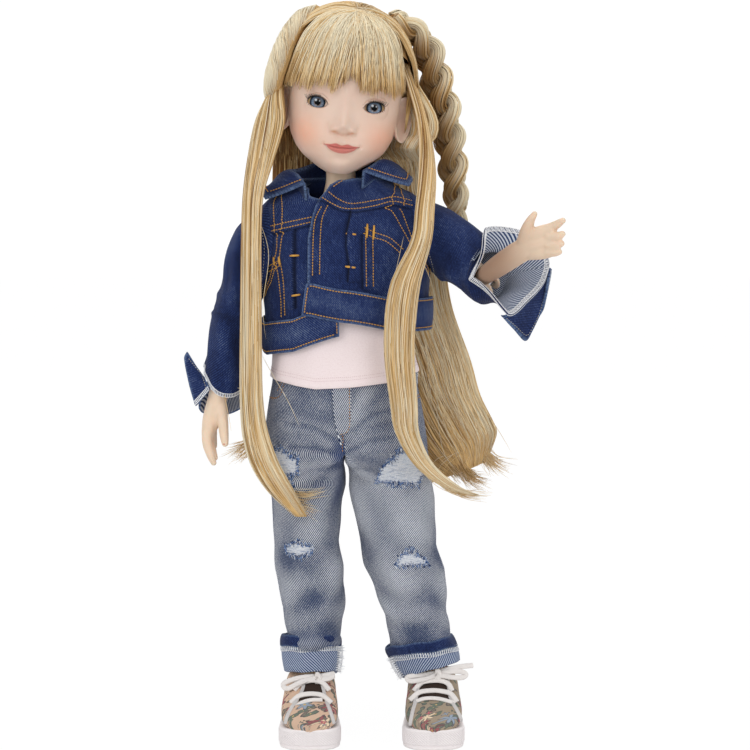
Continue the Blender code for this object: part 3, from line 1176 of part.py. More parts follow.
def make_jeans_leg(side):
    sign = 1 if side == "left" else -1
    top, knee, ankle = leg_points(side)
    way = (ankle - top).normalized()
    hint = Vector((0, 1, 0))
    fork = JEANS_FORK - GAP
    up = Vector((0, 0, 1))
    # The leg's top ring is level under the seat, and the rings below turn square to the leg
    centre = Vector((MIDLINE_X + sign * (JEANS_LEG_RADIUS + GAP), BODY_Y, fork))
    hem = top + way * ((top.z - TURNUP_LOW - TURNUP_HEIGHT) / -way.z)
    fold = JEANS_FOLD
    stations = [(centre, -up, hint, JEANS_LEG_RADIUS, JEANS_DEPTH * 0.9)]
    thigh_end = knee - way * GAP
    leg_shares = ((0.25, 0.985), (0.5, 0.95), (0.75, 0.9))
    for share, radius in leg_shares:
        place = centre.lerp(thigh_end, share)
        turn = (-up).lerp(way, min(1, share * 1.6)).normalized()
        size = JEANS_LEG_RADIUS * radius
        stations.append((place, turn, hint, size, size))
    stations.append((thigh_end, way, hint, JEANS_KNEE_RADIUS, JEANS_KNEE_RADIUS))
    cloth_tube("jeans_upper_" + side, stations, DENIM_WALL, "washed_denim")
    start = knee + way * GAP
    stations = []
    steps = 5
    for k in range(steps + 1):
        share = k / steps
        size = JEANS_KNEE_RADIUS + (JEANS_HEM_RADIUS - JEANS_KNEE_RADIUS) * share
        size += fold * math.sin(share * math.pi * 4) * math.sin(math.pi * share)
        stations.append((start.lerp(hem, share), way, hint, size, size))
    cloth_tube("jeans_lower_" + side, stations, DENIM_WALL, "washed_denim")
    # Turned-up hem: a wider band below, closed to the leg by its own wall
    band_start, band_end = hem + way * GAP, hem + way * TURNUP_HEIGHT
    size = JEANS_HEM_RADIUS + HEM_WALL
    stations = [(band_start, way, hint, size, size), (band_start.lerp(band_end, 0.5), way, hint, size + fold, size + fold),
                (band_end, way, hint, size, size)]
    cloth_tube("jeans_turnup_" + side, stations, HEM_WALL, "washed_denim")


def build_doll():
    clear_scene()
    make_torso()
    make_neck()
    make_head()
    make_hair_cap()
    make_fringe()
    make_long_hair(make_braids())
    make_shirt()
    make_jacket()
    make_collar()
    for side in ("left", "right"):
        make_arm(side)
        make_sleeve(side)
        make_leg(side)
    make_jeans()


build_doll()
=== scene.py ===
# Fashion doll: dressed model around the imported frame. Metres, +Z up, the doll faces -Y and its left is +X.
import json
import math

import bmesh
import bpy
import numpy as np
from mathutils import Matrix, Vector
from mathutils.bvhtree import BVHTree

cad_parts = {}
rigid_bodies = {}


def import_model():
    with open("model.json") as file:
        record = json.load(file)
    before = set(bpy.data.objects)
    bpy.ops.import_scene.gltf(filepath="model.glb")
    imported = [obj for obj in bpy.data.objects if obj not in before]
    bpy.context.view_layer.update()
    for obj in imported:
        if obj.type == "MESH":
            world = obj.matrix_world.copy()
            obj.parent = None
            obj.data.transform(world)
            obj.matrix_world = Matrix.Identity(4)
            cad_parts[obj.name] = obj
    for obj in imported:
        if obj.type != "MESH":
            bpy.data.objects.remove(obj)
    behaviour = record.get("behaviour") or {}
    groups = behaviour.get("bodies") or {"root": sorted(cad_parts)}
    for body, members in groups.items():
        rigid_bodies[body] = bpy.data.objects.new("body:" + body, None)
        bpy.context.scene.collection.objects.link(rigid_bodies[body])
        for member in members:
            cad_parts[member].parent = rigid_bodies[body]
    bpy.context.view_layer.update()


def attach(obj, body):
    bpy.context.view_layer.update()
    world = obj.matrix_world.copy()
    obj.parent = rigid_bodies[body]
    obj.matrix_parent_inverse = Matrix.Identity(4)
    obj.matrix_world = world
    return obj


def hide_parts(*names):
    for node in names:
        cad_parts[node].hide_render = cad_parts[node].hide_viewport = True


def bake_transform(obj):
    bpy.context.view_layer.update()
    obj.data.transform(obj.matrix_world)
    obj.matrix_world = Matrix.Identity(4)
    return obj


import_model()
mm = 0.001

# The doll's own stance, as the frame holds it
stance = {
    "middleX": -15 * mm, "bodyY": 12 * mm, "lean": -2.5 * mm,
    "hipHeight": 151.8 * mm, "neckPivot": 302 * mm, "headTilt": 6,
    "shoulderSpan": 39 * mm, "shoulderHeight": 262 * mm, "upperArm": 47 * mm, "foreArm": 46 * mm, "hand": 30 * mm,
    "armOut": {"right": (18, 11.5, 9), "left": (49.5, 136.6, 123.3)},
    "armForward": {"right": (2, 11, 12), "left": (13.8, 57.3, 44)},
    "hipSpan": 16.5 * mm, "thigh": 66 * mm, "shin": 60 * mm, "legOut": {"right": 1, "left": 13.2},
}


def middleX(height):
    share = (height - stance["hipHeight"]) / (stance["neckPivot"] - stance["hipHeight"])
    return stance["middleX"] + stance["lean"] * np.maximum(share, 0)


bodyDepth = stance["bodyY"] / mm  # the body's plane, in millimetres
neckPivot = Vector((float(middleX(stance["neckPivot"])), stance["bodyY"], stance["neckPivot"]))
headTurn = Matrix.Rotation(math.radians(stance["headTilt"]), 3, "Y")


def sideSign(side):
    return 1 if side == "left" else -1


def limbWay(side, out, forward):
    out, forward = math.radians(out), math.radians(forward)
    flat = math.cos(forward)
    return Vector((sideSign(side) * math.sin(out) * flat, -math.sin(forward), -math.cos(out) * flat))


def armJoints(side):
    height = stance["shoulderHeight"]
    points = [Vector((float(middleX(height)) + sideSign(side) * stance["shoulderSpan"], stance["bodyY"], height))]
    lengths = (stance["upperArm"], stance["foreArm"], stance["hand"])
    for out, forward, length in zip(stance["armOut"][side], stance["armForward"][side], lengths):
        points.append(points[-1] + limbWay(side, out, forward) * length)
    return points


def legJoints(side):
    top = Vector((stance["middleX"] + sideSign(side) * stance["hipSpan"], stance["bodyY"], stance["hipHeight"]))
    way = limbWay(side, stance["legOut"][side], 0)
    return [top, top + way * stance["thigh"], top + way * (stance["thigh"] + stance["shin"])]


# Small tools for meshes

def smoothStep(low, high, value):
    t = np.clip((np.asarray(value, float) - low) / (high - low), 0, 1)
    return t * t * (3 - 2 * t)


def bell(x, z, cx, cz, wx, wz):
    return np.exp(-((x - cx) / wx) ** 2 - ((z - cz) / wz) ** 2)


def unit(vectors):
    # vectors along the last axis, brought to length one
    return vectors / (np.linalg.norm(vectors, axis=-1, keepdims=True) + 1e-12)


def runOf(path):
    # how far each point lies along a line
    return np.concatenate([[0], np.cumsum(np.linalg.norm(np.diff(path, axis=0), axis=1))])


def readAt(spots, known, rows):
    # points read between known places along a line
    return np.stack([np.interp(spots, known, rows[:, c]) for c in range(3)], -1)


def lineAt(value, line):
    # second number of a short table, read at its first
    return np.interp(value, [p[0] for p in line], [p[1] for p in line])


def fullTurn(count):
    return np.linspace(0, 2 * math.pi, count, endpoint=False)


def smoothedLine(line, kernel):
    # mirrored about the end values, so that the ends stay where they are
    reach = len(kernel) // 2
    padded = np.concatenate([2 * line[0] - line[reach:0:-1], line, 2 * line[-1] - line[-2:-reach - 2:-1]])
    return np.convolve(padded, kernel, "valid")


def bellKernel(reach, step, width):
    kernel = np.exp(-(np.arange(-reach, reach + 1) * step / width) ** 2)
    return kernel / kernel.sum()


def splineAt(points, t):
    # smooth curve through rows of points; t counts the rows
    k = np.minimum(t.astype(int), len(points) - 2)
    f = (t - k).reshape((-1,) + (1,) * (points.ndim - 1))
    ends = np.concatenate([[2 * points[0] - points[1]], points, [2 * points[-1] - points[-2]]])
    p0, p1, p2, p3 = ends[k], ends[k + 1], ends[k + 2], ends[k + 3]
    return 0.5 * (2 * p1 + (p2 - p0) * f + (2 * p0 - 5 * p1 + 4 * p2 - p3) * f ** 2 + (3 * p1 - p0 - 3 * p2 + p3)
                  * f ** 3)


def makePiece(name, points, faces, material, uv=None, masks=None, body=None, instead=(), slot=None, blend=None):
    # points in metres, uv in millimetres of cloth or fibre, masks are values from 0 to 1 at each point
    points = np.asarray(points, float).reshape(-1, 3)
    mesh = bpy.data.meshes.new(name)
    mesh.from_pydata(points.tolist(), [], [tuple(int(i) for i in f) for f in faces])
    if uv is not None:
        layer = mesh.uv_layers.new(name="cloth")
        loops = np.empty(len(mesh.loops), np.int64)
        mesh.loops.foreach_get("vertex_index", loops)
        layer.data.foreach_set("uv", np.asarray(uv, float).reshape(-1, 2)[loops].ravel())
    for key, values in (masks or {}).items():
        attribute = mesh.attributes.new(key, "FLOAT", "POINT")
        attribute.data.foreach_set("value", np.asarray(values, float).ravel())
    mesh.materials.append(material)
    mesh.shade_smooth()
    piece = bpy.data.objects.new(name, mesh)
    bpy.context.scene.collection.objects.link(piece)
    if body:
        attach(piece, body)
    if instead:
        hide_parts(*instead)
    if blend:
        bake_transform(piece)
    return piece


def gridFaces(rows, columns, closed=False):
    r, c = np.meshgrid(np.arange(rows - 1), np.arange(columns if closed else columns - 1), indexing="ij")
    a = r * columns + c
    b = r * columns + (c + 1) % columns
    return np.stack([a, b, b + columns, a + columns], -1).reshape(-1, 4)


def endCaps(rows, columns):
    return [tuple(range(columns))[::-1], tuple(range((rows - 1) * columns, rows * columns))]


def addModifier(piece, kind, **settings):
    step = piece.modifiers.new(kind.title(), kind)
    for key, value in settings.items():
        setattr(step, key, value)
    return step


# Materials

def colour(text):
    # sRGB hex to linear
    parts = [int(text[i:i + 2], 16) / 255 for i in (1, 3, 5)]
    return tuple(p / 12.92 if p <= 0.04045 else ((p + 0.055) / 1.055) ** 2.4 for p in parts) + (1,)


def addNode(tree, kind, settings=None, links=None):
    node = tree.nodes.new(kind)
    for key, value in (settings or {}).items():
        if isinstance(key, str) and hasattr(node, key):
            setattr(node, key, value)
        else:
            node.inputs[key].default_value = value
    for key, source in (links or {}).items():
        tree.links.new(source.outputs[0] if hasattr(source, "outputs") else source, node.inputs[key])
    return node


def newMaterial(name, **sockets):
    material = bpy.data.materials.new(name)
    material.use_nodes = True
    shader = material.node_tree.nodes["Principled BSDF"]
    for key, value in sockets.items():
        shader.inputs[key.replace("_", " ")].default_value = value
    return material, material.node_tree, shader


def ramp(tree, source, stops):
    node = addNode(tree, "ShaderNodeValToRGB", links={0: source})
    while len(node.color_ramp.elements) < len(stops):
        node.color_ramp.elements.new(0.5)
    for element, (place, tint) in zip(node.color_ramp.elements, stops):
        element.position = place
        element.color = colour(tint) if isinstance(tint, str) else (tint, tint, tint, 1)
    return node


def mixed(tree, factor, low, high, blend="MIX"):
    node = addNode(tree, "ShaderNodeMix", {"data_type": "RGBA", "blend_type": blend})
    for index, value in ((0, factor), (6, low), (7, high)):
        if isinstance(value, (int, float)):
            node.inputs[index].default_value = value
        elif isinstance(value, (tuple, str)):
            node.inputs[index].default_value = colour(value) if isinstance(value, str) else value
        else:
            tree.links.new(value.outputs[0] if hasattr(value, "outputs") else value, node.inputs[index])
    return node.outputs[2]


def maths(tree, operation, first, second=0.0, third=0.0):
    node = addNode(tree, "ShaderNodeMath", {"operation": operation})
    for index, value in enumerate((first, second, third)):
        if isinstance(value, (int, float)):
            node.inputs[index].default_value = value
        else:
            tree.links.new(value.outputs[0] if hasattr(value, "outputs") else value, node.inputs[index])
    return node


def mask(tree, name):
    return addNode(tree, "ShaderNodeAttribute", {"attribute_name": name}).outputs["Fac"]


def clothPlace(tree, turn=0.0, scale=(1, 1, 1)):
    # cloth coordinates in millimetres, turned by some degrees
    coordinates = addNode(tree, "ShaderNodeUVMap", {"uv_map": "cloth"})
    return addNode(tree, "ShaderNodeMapping", {"Rotation": (0, 0, math.radians(turn)), "Scale": scale},
                   {0: coordinates})


def bands(tree, place, period, distortion=0.0, detail=0.0):
    # stripes of a real period in millimetres across the place's first axis
    return addNode(tree, "ShaderNodeTexWave", {"Scale": 2 * math.pi / (20 * period), "Distortion": distortion,
                                               "Detail": detail, "Detail Scale": 1.0}, {0: place})


def noise(tree, place, size, detail=2.0, rough=0.5):
    # cloudy pattern whose features are about `size` millimetres across
    return addNode(tree, "ShaderNodeTexNoise", {"Scale": 1 / size, "Detail": detail, "Roughness": rough}, {0: place})


def bump(tree, shader, height, depth, strength=1.0, below=None):
    node = addNode(tree, "ShaderNodeBump", {"Strength": strength, "Distance": depth * mm}, {"Height": height})
    if below:
        tree.links.new(below.outputs[0], node.inputs["Normal"])
    tree.links.new(node.outputs[0], shader.inputs["Normal"])
    return node


# Light, floor and camera

whiteStrength = 1.03  # the background and the floor's glow, a little over white


def makeStudio():
    scene = bpy.context.scene
    scene.view_settings.view_transform = "Standard"
    studio = {"ambient": 0.68, "key": 5.6, "fill": 2.9, "top": 2.6, "back": 1.8}
    world = bpy.data.worlds.new("studioWhite")
    scene.world = world
    world.use_nodes = True
    tree = world.node_tree
    tree.nodes.clear()
    soft = addNode(tree, "ShaderNodeBackground", {"Color": (1, 1, 1, 1), "Strength": studio["ambient"]})
    plain = addNode(tree, "ShaderNodeBackground", {"Color": (1, 1, 1, 1), "Strength": whiteStrength})
    rays = addNode(tree, "ShaderNodeLightPath")
    seen = maths(tree, "MAXIMUM", rays.outputs["Is Camera Ray"],
                 maths(tree, "MAXIMUM", rays.outputs["Is Glossy Ray"], rays.outputs["Is Transmission Ray"]))
    blend = addNode(tree, "ShaderNodeMixShader", links={0: seen, 1: soft, 2: plain})
    addNode(tree, "ShaderNodeOutputWorld", links={0: blend})
    lamps = {  # place, what it faces, size in metres
        "key": ((-0.75, -1.5, 1.0), (0, 0, 0.22), 0.9), "fill": ((0.95, -1.3, 0.6), (0, 0, 0.2), 0.9),
        "top": ((0.0, -0.2, 1.5), (0, 0, 0.2), 0.8), "back": ((0.2, 1.4, 0.9), (0, 0, 0.25), 0.8)}
    for name, (place, aim, size) in lamps.items():
        light = bpy.data.lights.new("softbox_" + name, "AREA")
        light.energy, light.size = studio[name], size
        lamp = bpy.data.objects.new("softbox_" + name, light)
        lamp.location = place
        lamp.rotation_euler = (Vector(aim) - Vector(place)).to_track_quat("-Z", "Y").to_euler()
        scene.collection.objects.link(lamp)
    # Pale paper floor: white to the camera, with the doll's shadow kept
    paper, tree, shader = newMaterial("paleStudioPaper", Base_Color=colour("#f2f2f2"), Roughness=0.9)
    glow = addNode(tree, "ShaderNodeEmission", {"Color": (1, 1, 1, 1), "Strength": whiteStrength})
    rays = addNode(tree, "ShaderNodeLightPath")
    share = maths(tree, "MULTIPLY", rays.outputs["Is Camera Ray"], 0.93)
    both = addNode(tree, "ShaderNodeMixShader", links={0: share, 1: shader, 2: glow})
    tree.links.new(both.outputs[0], tree.nodes["Material Output"].inputs["Surface"])
    reach = 4.0
    floor = bpy.data.meshes.new("studioFloor")
    floor.from_pydata([(-reach, -reach, 0), (reach, -reach, 0), (reach, reach, 0),
        (-reach, reach, 0)], [], [(0, 1, 2, 3)])
    floor.materials.append(paper)
    ground = bpy.data.objects.new("studioFloor", floor)
    scene.collection.objects.link(ground)
    # The photograph was taken 1.1 m away at 0.3 m, looking down by 6 degrees
    lens = bpy.data.cameras.new("studioCamera")
    lens.sensor_width, lens.lens = 36, 104.2
    camera = bpy.data.objects.new("studioCamera", lens)
    camera.location = (0, stance["bodyY"] - 1.1, 0.3)
    camera.rotation_euler = (math.radians(90 - 5.96), 0, 0)
    scene.collection.objects.link(camera)
    scene.camera = camera


makeStudio()
print("studio ready")


# Head: soft vinyl, cast and painted by hand

head = {  # sizes as in the frame, measured from the neck pivot
    "halfWidth": 28.8, "front": 30.0, "back": 38.0, "chinDrop": 14.4, "crownRise": 65.2, "hair": 6.0, "power": 2.15,
    "shares": ((0, 0.2, 0.66, 0.26), (0.02, 0.32, 0.78, 0.38), (0.055, 0.47, 0.88, 0.5), (0.10, 0.65, 0.95, 0.62),
               (0.16, 0.79, 0.98, 0.74), (0.24, 0.9, 0.985, 0.85), (0.33, 0.955, 0.985, 0.94),
            (0.44, 0.985, 0.985, 1),
               (0.56, 0.99, 0.975, 1), (0.68, 0.94, 0.93, 0.95), (0.79, 0.83, 0.81, 0.83), (0.88, 0.67, 0.62, 0.64),
               (0.95, 0.45, 0.38, 0.40), (0.99, 0.2, 0.15, 0.18), (1.0, 0.06, 0.05, 0.06)),
}
face = {  # millimetres across and above the neck pivot
    "shift": 1.2, "eyeAcross": 13.9, "eyeRise": 19.2, "eyeBall": 6.4, "eyeDepth": -18.9, "lid": 0.75,
    "openHalfWidth": 5.1, "openTop": 2.9, "openBottom": 2.55, "iris": 4.0, "pupil": 1.45,
    "noseRise": 8.4, "mouthRise": -1.8, "mouthHalfWidth": 8.9, "browRise": 30.0,
    "skin": "#e6cab8", "blush": "#f8b08e", "lip": "#c4584f", "lowerLip": "#cf6a60", "brow": "#b98e62",
}


def smoothTable(shares, count=400, width=0.012):
    rows = np.array(shares, float)
    at = np.linspace(rows[0, 0], rows[-1, 0], count)
    columns = [np.interp(at, rows[:, 0], rows[:, k]) for k in range(1, rows.shape[1])]
    kernel = bellKernel(int(width * count * 3), 1, width * count * math.sqrt(2))
    return at, np.array([smoothedLine(column, kernel) for column in columns])


headAt, headSizes = smoothTable(head["shares"])
headTall = head["chinDrop"] + head["crownRise"]


def headSizesAt(share):
    return [np.interp(share, headAt, column) for column in headSizes]


def headShape(angle, share, lift=0.0):
    # head-local millimetres; lift is square to the surface where the scalp turns towards the crown
    angle, share = np.broadcast_arrays(np.asarray(angle, float), np.asarray(share, float))
    width, front, back = headSizesAt(share)
    step = 0.02
    narrowing = head["halfWidth"] * (headSizesAt(share - step)[0] - headSizesAt(share + step)[0])
    slope = np.arctan2(np.maximum(narrowing, 0) * (share > 0.5), 2 * step * headTall)
    grow = lift * np.cos(slope)
    c, s = np.cos(np.radians(angle)), np.sin(np.radians(angle))
    depth = np.where(s < 0, front * head["front"], back * head["back"]) + grow
    power = 2 / head["power"]
    x = (width * head["halfWidth"] + grow) * np.sign(c) * np.abs(c) ** power
    y = depth * np.sign(s) * np.abs(s) ** power
    z = -head["chinDrop"] + share * headTall + lift * np.sin(slope)
    return np.stack([x, y, z], -1)


def placeHead(local):
    # head-local millimetres to metres in the frame
    local = np.asarray(local, float)
    return local.reshape(-1, 3) @ np.array(headTurn).T * mm + np.array(neckPivot)


def mouthLine(x):
    return face["mouthRise"] + 0.0155 * x ** 2


def upperLip(x):
    fade = np.clip(1 - (np.abs(x) / face["mouthHalfWidth"]) ** 2.4, 0, 1) ** 0.8
    return (1.25 + 0.85 * np.exp(-((np.abs(x) - 3.0) / 2.0) ** 2)) * fade


def lowerLip(x):
    return 2.6 * np.clip(1 - (np.abs(x) / (face["mouthHalfWidth"] * 0.86)) ** 2.2, 0, 1) ** 0.75


def lidLines(x):
    # heights of the upper and lower lid's edge about the eye's middle; x runs outwards
    u = np.clip(np.abs(x - 0.1) / face["openHalfWidth"], 0, 1)
    peak = face["openTop"] * (1 - u ** 2.3) ** 0.62
    low = face["openBottom"] * (1 - u ** 2.1) ** 0.68
    return peak + 0.07 * x, -low + 0.07 * x


def sculptFace(local):
    # the features lie a little to the doll's left, as the head is turned slightly
    x, y, z = local[:, 0] - face["shift"], local[:, 1], local[:, 2]
    ahead = smoothStep(6, 16, -y)
    ax = np.abs(x)
    out = np.zeros(len(x))  # how far the surface stands forward
    out -= 1.5 * bell(ax, z, 13.6, 21.5, 8.5, 6.0)            # eye sockets
    out += 0.8 * bell(ax, z, 12.0, 31.0, 10.0, 4.0)           # brow
    out += 1.3 * bell(x, z, 0, 17.5, 3.4, 7.5)                # bridge
    out += 3.2 * bell(x, z, 0, 10.6, 3.6, 4.8)                # nose
    out += 3.1 * bell(x, z, 0, 8.4, 3.9, 2.7)                 # tip
    out += 2.1 * bell(ax, z, 4.6, 7.0, 1.9, 1.8)              # wings
    out -= 0.8 * bell(ax, z, 7.4, 7.4, 1.3, 2.4)              # crease beside the wings
    out -= 0.9 * bell(x, z, 0, 4.0, 4.6, 1.0)
    out -= 1.5 * bell(ax, z, 2.5, 5.2, 1.25, 0.7)             # nostrils
    out += 1.5 * bell(ax, z, 17.0, 3.0, 8.0, 8.5)             # cheeks
    out += 0.9 * bell(x, z, 0, -1.5, 9.5, 5.0)                # mouth mound
    out -= 0.35 * bell(x, z, 0, 1.8, 0.9, 1.9)                # philtrum
    line = mouthLine(x)
    top, low = upperLip(x), lowerLip(x)
    within = smoothStep(face["mouthHalfWidth"] + 0.4, face["mouthHalfWidth"] - 1.5, ax)
    out += within * 1.05 * np.exp(-((z - line - 0.45 * top) / (0.62 * top + 0.25)) ** 2)
    out += within * 1.35 * np.exp(-((z - line + 0.52 * low) / (0.6 * low + 0.3)) ** 2)
    out -= within * 0.75 * np.exp(-((z - line) / 0.33) ** 2)
    out -= 0.8 * bell(ax, z, face["mouthHalfWidth"] + 0.3, mouthLine(face["mouthHalfWidth"]), 0.9, 0.9)
    out -= 0.9 * bell(x, z, 0, -7.0, 5.0, 1.5)                # under the lower lip
    out += 1.7 * bell(x, z, 0, -10.3, 6.5, 3.6)               # chin
    y = y - out * ahead
    # lids: skin drawn over the eyeball, with a crease above and the opening cut in
    for sign in (-1, 1):
        ex, ez = (x * sign - face["eyeAcross"]), z - face["eyeRise"]
        radius = face["eyeBall"] + face["lid"]
        under = np.clip(radius ** 2 - ex ** 2 - (ez * 0.96) ** 2, 0, None)
        lidY = face["eyeDepth"] - np.sqrt(under)
        near = (under > 0) & (y < 0)
        k = 1.3
        h = np.clip(0.5 + 0.5 * (lidY - y) / k, 0, 1)
        smooth = lidY * (1 - h) + y * h - k * h * (1 - h)
        y = np.where(near, np.minimum(smooth, y), y)
        upper, lower = lidLines(ex)
        crease = upper + 1.75
        span = smoothStep(6.2, 4.6, np.abs(ex))
        y = y + np.where(near, 0.4 * span * np.exp(-((ez - crease) / 0.36) ** 2), 0)
        inside = np.minimum(upper - ez, ez - lower)
        inside = np.where(np.abs(ex - 0.1) < face["openHalfWidth"], inside, -1)
        y = y + np.where(near, 3.2 * smoothStep(-0.02, 0.3, inside), 0)
    return np.stack([x + face["shift"], y, z], -1)


def paintFace(local):
    x, z = local[:, 0] - face["shift"], local[:, 2]
    ahead = (local[:, 1] < -4).astype(float)
    ax = np.abs(x)
    line, top, low = mouthLine(x), upperLip(x), lowerLip(x)
    within = (ax < face["mouthHalfWidth"])
    edge = 0.28
    upper = within * smoothStep(-edge, edge, line + top - z) * smoothStep(-0.1, 0.1, z - line)
    lower = within * smoothStep(-edge, edge, z - line + low) * smoothStep(-0.1, 0.1, line - z)
    masks = {"upperLip": upper * ahead, "lowerLip": lower * ahead,
             "mouthGap": 0.6 * within * np.exp(-((z - line) / 0.3) ** 2) * ahead}
    masks["blush"] = (0.95 * bell(ax, z, 20.5, 3.6, 9.2, 8.6) + 0.12 * bell(ax, z, 16.0, 25.5, 6, 3)) * ahead
    # painted shade under the nose's wings and under its tip
    masks["noseShade"] = (bell(ax, z, 4.5, 5.9, 1.7, 0.6) + 0.45 * bell(ax, z, 0, 4.9, 4.0, 0.8)) * ahead
    browLine = face["browRise"] + 1.2 - 0.035 * (ax - 13.5) ** 2
    masks["brow"] = np.exp(-((z - browLine) / 0.75) ** 2) * smoothStep(6.5, 8.5, ax) * smoothStep(21.5, 17, ax) * ahead
    lids = np.zeros(len(x))
    warm = np.zeros(len(x))
    for sign in (-1, 1):
        ex, ez = x * sign - face["eyeAcross"], z - face["eyeRise"]
        upperEdge, lowerEdge = lidLines(ex)
        span = smoothStep(5.9, 4.7, np.abs(ex))
        lids = np.maximum(lids, span * np.exp(-((ez - upperEdge - 0.1) / (0.58 + 0.05 * ex)) ** 2))
        inside = np.minimum(upperEdge - ez, ez - lowerEdge)
        warm = np.maximum(warm, span * smoothStep(-0.5, -0.05, inside) * smoothStep(0.35, 0.1, inside))
        warm = np.maximum(warm, 0.55 * span * np.exp(-((ez - upperEdge - 1.75) / 0.3) ** 2))
    masks["lidLine"] = lids * ahead
    masks["lidWarm"] = warm * ahead
    return masks


def skinVinyl():
    # Rotocast soft vinyl, satin, with a little light passing into it; face paint is sprayed and brushed on
    material, tree, shader = newMaterial("rotocastVinylSkin", Roughness=0.46, IOR=1.5, Subsurface_Weight=0.22,
                                         Subsurface_Scale=0.004)
    shader.inputs["Subsurface Radius"].default_value = (1.0, 0.45, 0.3)
    place = addNode(tree, "ShaderNodeTexCoord")
    cloudy = addNode(tree, "ShaderNodeTexNoise", {"Scale": 90.0, "Detail": 3.0}, {0: place.outputs["Object"]})
    base = ramp(tree, cloudy, ((0.35, "#e1c3b0"), (0.65, face["skin"]))).outputs[0]
    speck = addNode(tree, "ShaderNodeTexNoise", {"Scale": 900.0, "Detail": 2.0}, {0: place.outputs["Object"]})
    rosy = maths(tree, "MULTIPLY", mask(tree, "blush"), ramp(tree, speck, ((0.3, 0.78), (0.7, 1.0))).outputs[0])
    base = mixed(tree, maths(tree, "MULTIPLY", rosy, 0.72), base, face["blush"])
    lip = ramp(tree, speck, ((0.3, "#b94f47"), (0.75, face["lip"]))).outputs[0]
    base = mixed(tree, maths(tree, "MULTIPLY", mask(tree, "upperLip"), 0.9), base, lip)
    lower = ramp(tree, speck, ((0.3, "#c65d54"), (0.75, face["lowerLip"]))).outputs[0]
    base = mixed(tree, maths(tree, "MULTIPLY", mask(tree, "lowerLip"), 0.85), base, lower)
    base = mixed(tree, maths(tree, "MULTIPLY", mask(tree, "mouthGap"), 0.75), base, "#8c2f2c")
    # painted shade under the nose
    base = mixed(tree, maths(tree, "MULTIPLY", mask(tree, "noseShade"), 0.75), base, "#c98862")
    hairs = addNode(tree, "ShaderNodeTexNoise", {"Scale": 2600.0, "Detail": 2.0}, {0: place.outputs["Object"]})
    brow = maths(tree, "MULTIPLY", mask(tree, "brow"), ramp(tree, hairs, ((0.35, 0.35), (0.7, 0.85))).outputs[0])
    base = mixed(tree, brow, base, face["brow"])
    base = mixed(tree, maths(tree, "MULTIPLY", mask(tree, "lidWarm"), 0.6), base, "#c78f74")
    base = mixed(tree, maths(tree, "MULTIPLY", mask(tree, "lidLine"), 0.96), base, "#1c110d")
    tree.links.new(base, shader.inputs["Base Color"])
    wet = maths(tree, "MAXIMUM", mask(tree, "upperLip"), mask(tree, "lowerLip"))
    tree.links.new(maths(tree, "MULTIPLY_ADD", wet, -0.14, 0.46).outputs[0], shader.inputs["Roughness"])
    bump(tree, shader, speck, 0.03, 0.35)
    return material


vinyl = skinVinyl()


def makeHead():
    # columns run round the head, closest together over the face
    front = np.linspace(-172, -8, 330)
    behind = np.linspace(-8, 188, 92)[1:-1]
    angles = np.concatenate([front, behind])
    rises = np.concatenate([np.linspace(-head["chinDrop"], 34, 250), np.linspace(34, head["crownRise"], 40)[1:]])
    shares = (rises + head["chinDrop"]) / headTall
    local = sculptFace(headShape(angles[None, :], shares[:, None]).reshape(-1, 3))
    faces = gridFaces(len(rises), len(angles), closed=True).tolist()
    masks = paintFace(local)
    # underside from the jaw's edge to the neck hole, and the crown's cap
    count, base = len(angles), len(local)
    ring = local[:count].copy()
    under = [ring * (share, share, 1) + (0, 0, lift) for share, lift in ((0.8, 0.7), (0.55, 1.5))]
    points = np.concatenate([local] + under)
    for k in range(2):
        low = base + (k - 1) * count if k else 0
        high = base + k * count
        for c in range(count):
            d = (c + 1) % count
            faces.append((low + d, low + c, high + c, high + d))
    top = len(points)
    points = np.concatenate([points, local[base - count:].mean(0, keepdims=True)])
    for c in range(count):
        faces.append((base - count + c, base - count + (c + 1) % count, top))
    masks = {key: np.concatenate([value, np.zeros(len(points) - base)]) for key, value in masks.items()}
    return makePiece("headSkin", placeHead(points), faces, vinyl, masks=masks, body="head", instead=["head_shell"],
                     slot="vinyl_skin")


def earShape(sign):
    # a shallow bowl with a rolled rim, its plane turned a little forwards
    ear = {"halfDepth": 7.6, "halfHeight": 12.2, "rise": 15.3, "back": -3.5, "stand": 5.2, "turnOut": 46}
    rings, sides = 14, 40
    points = []
    for r in range(rings):
        radius = 1 - r / (rings - 1) * 0.92
        rim = 0.9 * math.exp(-((radius - 0.9) / 0.12) ** 2) - 2.2 * (1 - radius) ** 0.8 * smoothStep(0.1, 0.6,
                                                                                                     1 - radius)
        for k in range(sides):
            turn = 2 * math.pi * k / sides
            lobe = 0.78 if math.sin(turn) < 0 else 1.0
            inner = 0.9 * math.exp(-((radius - 0.55) / 0.12) ** 2) * max(0, math.sin(turn + 0.5))
            u = ear["halfDepth"] * radius * math.cos(turn) * lobe
            v = ear["halfHeight"] * radius * math.sin(turn)
            points.append((rim + float(inner), u, v))
    points = np.array(points)
    # skirt down to the head
    skirt = points[:sides].copy()
    skirt[:, 0] -= 7
    skirt[:, 1:] *= 0.55
    points = np.concatenate([skirt, points])
    turnOut = math.radians(ear["turnOut"])
    x = points[:, 0] * math.cos(turnOut) + points[:, 1] * math.sin(turnOut)
    y = points[:, 1] * math.cos(turnOut) - points[:, 0] * math.sin(turnOut)
    local = np.stack([sign * (head["halfWidth"] - 4.0 + ear["stand"] + x), ear["back"] + y,
                      ear["rise"] + points[:, 2]], -1)
    faces = gridFaces(rings + 1, sides, closed=True).tolist()
    faces.append(tuple(range(rings * sides, (rings + 1) * sides)))
    if sign < 0:
        faces = [tuple(reversed(f)) for f in faces]
    return local, faces


